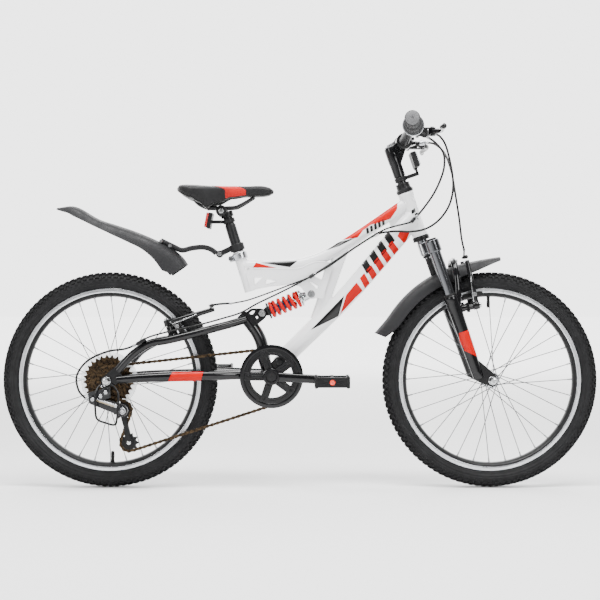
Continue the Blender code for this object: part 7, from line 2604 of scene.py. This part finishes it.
FRONT_NOODLE = [
    (0.3960, 0.0520, 0.5620), (0.3960, 0.0580, 0.5490), (0.3930, 0.0550, 0.5440),
    (0.3915, 0.0480, 0.5435),
]


# Where a cable leaves one body for the next: the two bodies, and two points at the ends of that stretch
TO_FRAME = ("steering", "frame", (0.0, 0.0, 0.80), (0.0, 0.0, 0.64))
TO_LOWERS = ("steering", "fork_slider", (0.0, 0.0, 0.75), (0.0, 0.0, 0.60))
TO_SWINGARM = ("frame", "rear_triangle", (-0.03, 0.0, 0.0), (-0.155, 0.0, 0.0))


def housing(name, node, route, crosses, stands=False):
    """A length of housing with a crimped ferrule on each end."""
    bm = bmesh.new()
    path = smooth_path(route, 8)
    sweep(bm, path, 0.0025, 16)
    piece(name, bm, "sheath", node, stands=stands, crosses=crosses)
    bm = bmesh.new()
    for start, after in ((path[0], path[2]), (path[-1], path[-3])):
        along = (after - start).normalized()
        turned(bm, [(0.0026, -0.0004), (0.0031, 0.0), (0.0031, 0.0064), (0.0026, 0.0074)], start, along, 18)
    piece(f"{name}_ferrules", bm, "zinc", node, crosses=crosses)


def cables():
    """Housings, wires, noodles and boots."""
    housing("shift_upper_housing", "shift_housing", SHIFT_HOUSING, TO_FRAME, stands=True)
    housing("shift_tail_housing", "shift_cable", SHIFT_TAIL, TO_SWINGARM)
    housing("rear_brake_housing", "rear_brake_cable", REAR_HOUSING, TO_FRAME, stands=True)
    housing("rear_brake_tail_housing", "rear_brake_cable", REAR_TAIL, TO_SWINGARM)
    housing("front_brake_housing", "front_brake_cable", FRONT_HOUSING, TO_LOWERS, stands=True)
    bm = bmesh.new()
    sweep(bm, smooth_path(SHIFT_WIRE, 8), 0.0021, 14)
    piece("shift_middle_housing", bm, "sheath", "shift_cable", stands=True, crosses=TO_SWINGARM)
    bm = bmesh.new()
    sweep(bm, smooth_path(REAR_WIRE, 8), 0.0018, 14)
    piece("rear_brake_middle_housing", bm, "sheath", "rear_brake_cable", crosses=TO_SWINGARM)
    bm = bmesh.new()
    rod(bm, (-0.2100, -0.0500, 0.4290), (-0.2100, 0.0440, 0.4290), 0.0009, 10)
    rod(bm, (-0.2100, 0.0440, 0.4290), (-0.2130, 0.0520, 0.4240), 0.0009, 10)
    piece("rear_brake_wire", bm, "wire", "rear_brake_cable", crosses=TO_SWINGARM)
    bm = bmesh.new()
    rod(bm, (0.3915, 0.0480, 0.5435), (0.3900, -0.0470, 0.5435), 0.0009, 10)
    piece("front_brake_wire", bm, "wire", "front_brake_cable", crosses=TO_LOWERS)
    bm = bmesh.new()
    sweep(bm, smooth_path(FRONT_NOODLE, 8), 0.0025, 18)
    piece("front_noodle", bm, "chrome", "front_brake_cable", crosses=TO_LOWERS)
    boots = (
        ("front", Vector((0.3904, 0.0, 0.5435)), 1, TO_LOWERS),
        ("rear", Vector((-0.2100, 0.0, 0.4290)), -1, TO_SWINGARM),
    )
    for name, centre, sign, crosses in boots:
        bm = bmesh.new()
        profile = [(0.0012, -0.0340)]
        for index in range(9):
            base = -0.0320 + 0.0058 * index
            profile += [(0.0024, base), (0.0046 - 0.0001 * index, base + 0.0029)]
        profile.append((0.0014, 0.0210))
        turned(bm, profile, centre, Y_AXIS * sign, 24)
        piece(f"{name}_noodle_boot", bm, "rubber", f"{name}_brake_cable", sharp=25.0, crosses=crosses)


# ---------------------------------------------------------------- stage

FLOOR_REACH = 30.0
CAMERA_PLACE = (0.0, -3.0, 0.442)
CAMERA_LENS = 75.9
CAMERA_SENSOR = 36.0


def lamp(name, place, aim, size, power, colour=(1.0, 1.0, 1.0)):
    """One soft rectangular lamp, turned to its aim."""
    light = bpy.data.lights.new(name, "AREA")
    light.shape = "RECTANGLE"
    light.size, light.size_y = size
    light.energy = power
    light.color = colour
    obj = bpy.data.objects.new(name, light)
    bpy.context.scene.collection.objects.link(obj)
    obj.location = place
    obj.rotation_euler = (Vector(aim) - Vector(place)).to_track_quat("-Z", "Y").to_euler()


def fade(tree, coordinates, start, end, low, high):
    """A strength that rises smoothly from low to high between two distances along +Y."""
    split = tree.nodes.new("ShaderNodeSeparateXYZ")
    ramp = tree.nodes.new("ShaderNodeMapRange")
    ramp.interpolation_type = "SMOOTHSTEP"
    for socket, value in {"From Min": start, "From Max": end, "To Min": low, "To Max": high}.items():
        ramp.inputs[socket].default_value = value
    tree.links.new(coordinates, split.inputs[0])
    tree.links.new(split.outputs["Y"], ramp.inputs["Value"])
    return ramp.outputs["Result"]


def floor():
    """A pale floor that brightens with distance, so that it fades into the backdrop."""
    material = bpy.data.materials.new("backdrop_paper")
    material.use_nodes = True
    tree = material.node_tree
    shader = tree.nodes["Principled BSDF"]
    shader.inputs["Base Color"].default_value = (0.86, 0.86, 0.86, 1.0)
    shader.inputs["Roughness"].default_value = 0.85
    shader.inputs["Emission Color"].default_value = (1.0, 1.0, 1.0, 1.0)
    place = tree.nodes.new("ShaderNodeTexCoord").outputs["Object"]
    tree.links.new(fade(tree, place, 0.6, 6.0, 0.0, 2.5), shader.inputs["Emission Strength"])
    bm = bmesh.new()
    reach = FLOOR_REACH
    corners = [(-reach, -reach, 0.0), (reach, -reach, 0.0), (reach, reach, 0.0), (-reach, reach, 0.0)]
    bm.faces.new([bm.verts.new(corner) for corner in corners])
    mesh = bpy.data.meshes.new("floor")
    bm.to_mesh(mesh)
    bm.free()
    mesh.materials.append(material)
    obj = bpy.data.objects.new("floor", mesh)
    obj.location = (0.0, 0.0, -0.0005)
    bpy.context.scene.collection.objects.link(obj)


def backdrop():
    """A world that is bright behind the bike and dim behind the camera."""
    world = bpy.data.worlds.new("studio")
    world.use_nodes = True
    tree = world.node_tree
    toward = tree.nodes.new("ShaderNodeTexCoord").outputs["Generated"]
    background = tree.nodes["Background"]
    tree.links.new(fade(tree, toward, -0.1, 0.6, 0.25, 3.6), background.inputs["Strength"])
    background.inputs["Color"].default_value = (1.0, 1.0, 1.0, 1.0)
    bpy.context.scene.world = world


def stage():
    """The floor, the backdrop, four softboxes, and the camera square to the bike."""
    floor()
    backdrop()
    lamp("overhead_softbox", (0.0, -0.7, 2.5), (0.0, 0.0, 0.35), (2.8, 0.8), 160.0)
    lamp("front_softbox", (1.9, -2.9, 1.9), (0.1, 0.0, 0.4), (1.3, 1.3), 70.0)
    lamp("rear_softbox", (-2.3, -2.7, 1.6), (-0.2, 0.0, 0.4), (1.3, 1.3), 46.0)
    lamp("far_softbox", (0.3, 2.6, 1.9), (0.0, 0.0, 0.4), (2.0, 1.2), 30.0)
    camera = bpy.data.cameras.new("photo_camera")
    camera.lens = CAMERA_LENS
    camera.sensor_width = CAMERA_SENSOR
    camera.clip_start = 0.05
    camera.clip_end = 2 * FLOOR_REACH
    obj = bpy.data.objects.new("photo_camera", camera)
    obj.location = CAMERA_PLACE
    obj.rotation_euler = (math.pi / 2, 0.0, 0.0)
    bpy.context.scene.collection.objects.link(obj)
    bpy.context.scene.camera = obj


# ---------------------------------------------------------------- build


def build():
    """Makes every piece, then the floor, the light and the camera."""
    wheels()
    front_frame()
    fork()
    cockpit()
    front_guard()
    rear_guard()
    saddle()
    swingarm()
    shock()
    pins = chain()
    cogs(pins)
    chainset(pins)
    derailleur()
    pulleys(pins)
    derailleur_cover()
    brakes()
    cables()
    stage()


build()
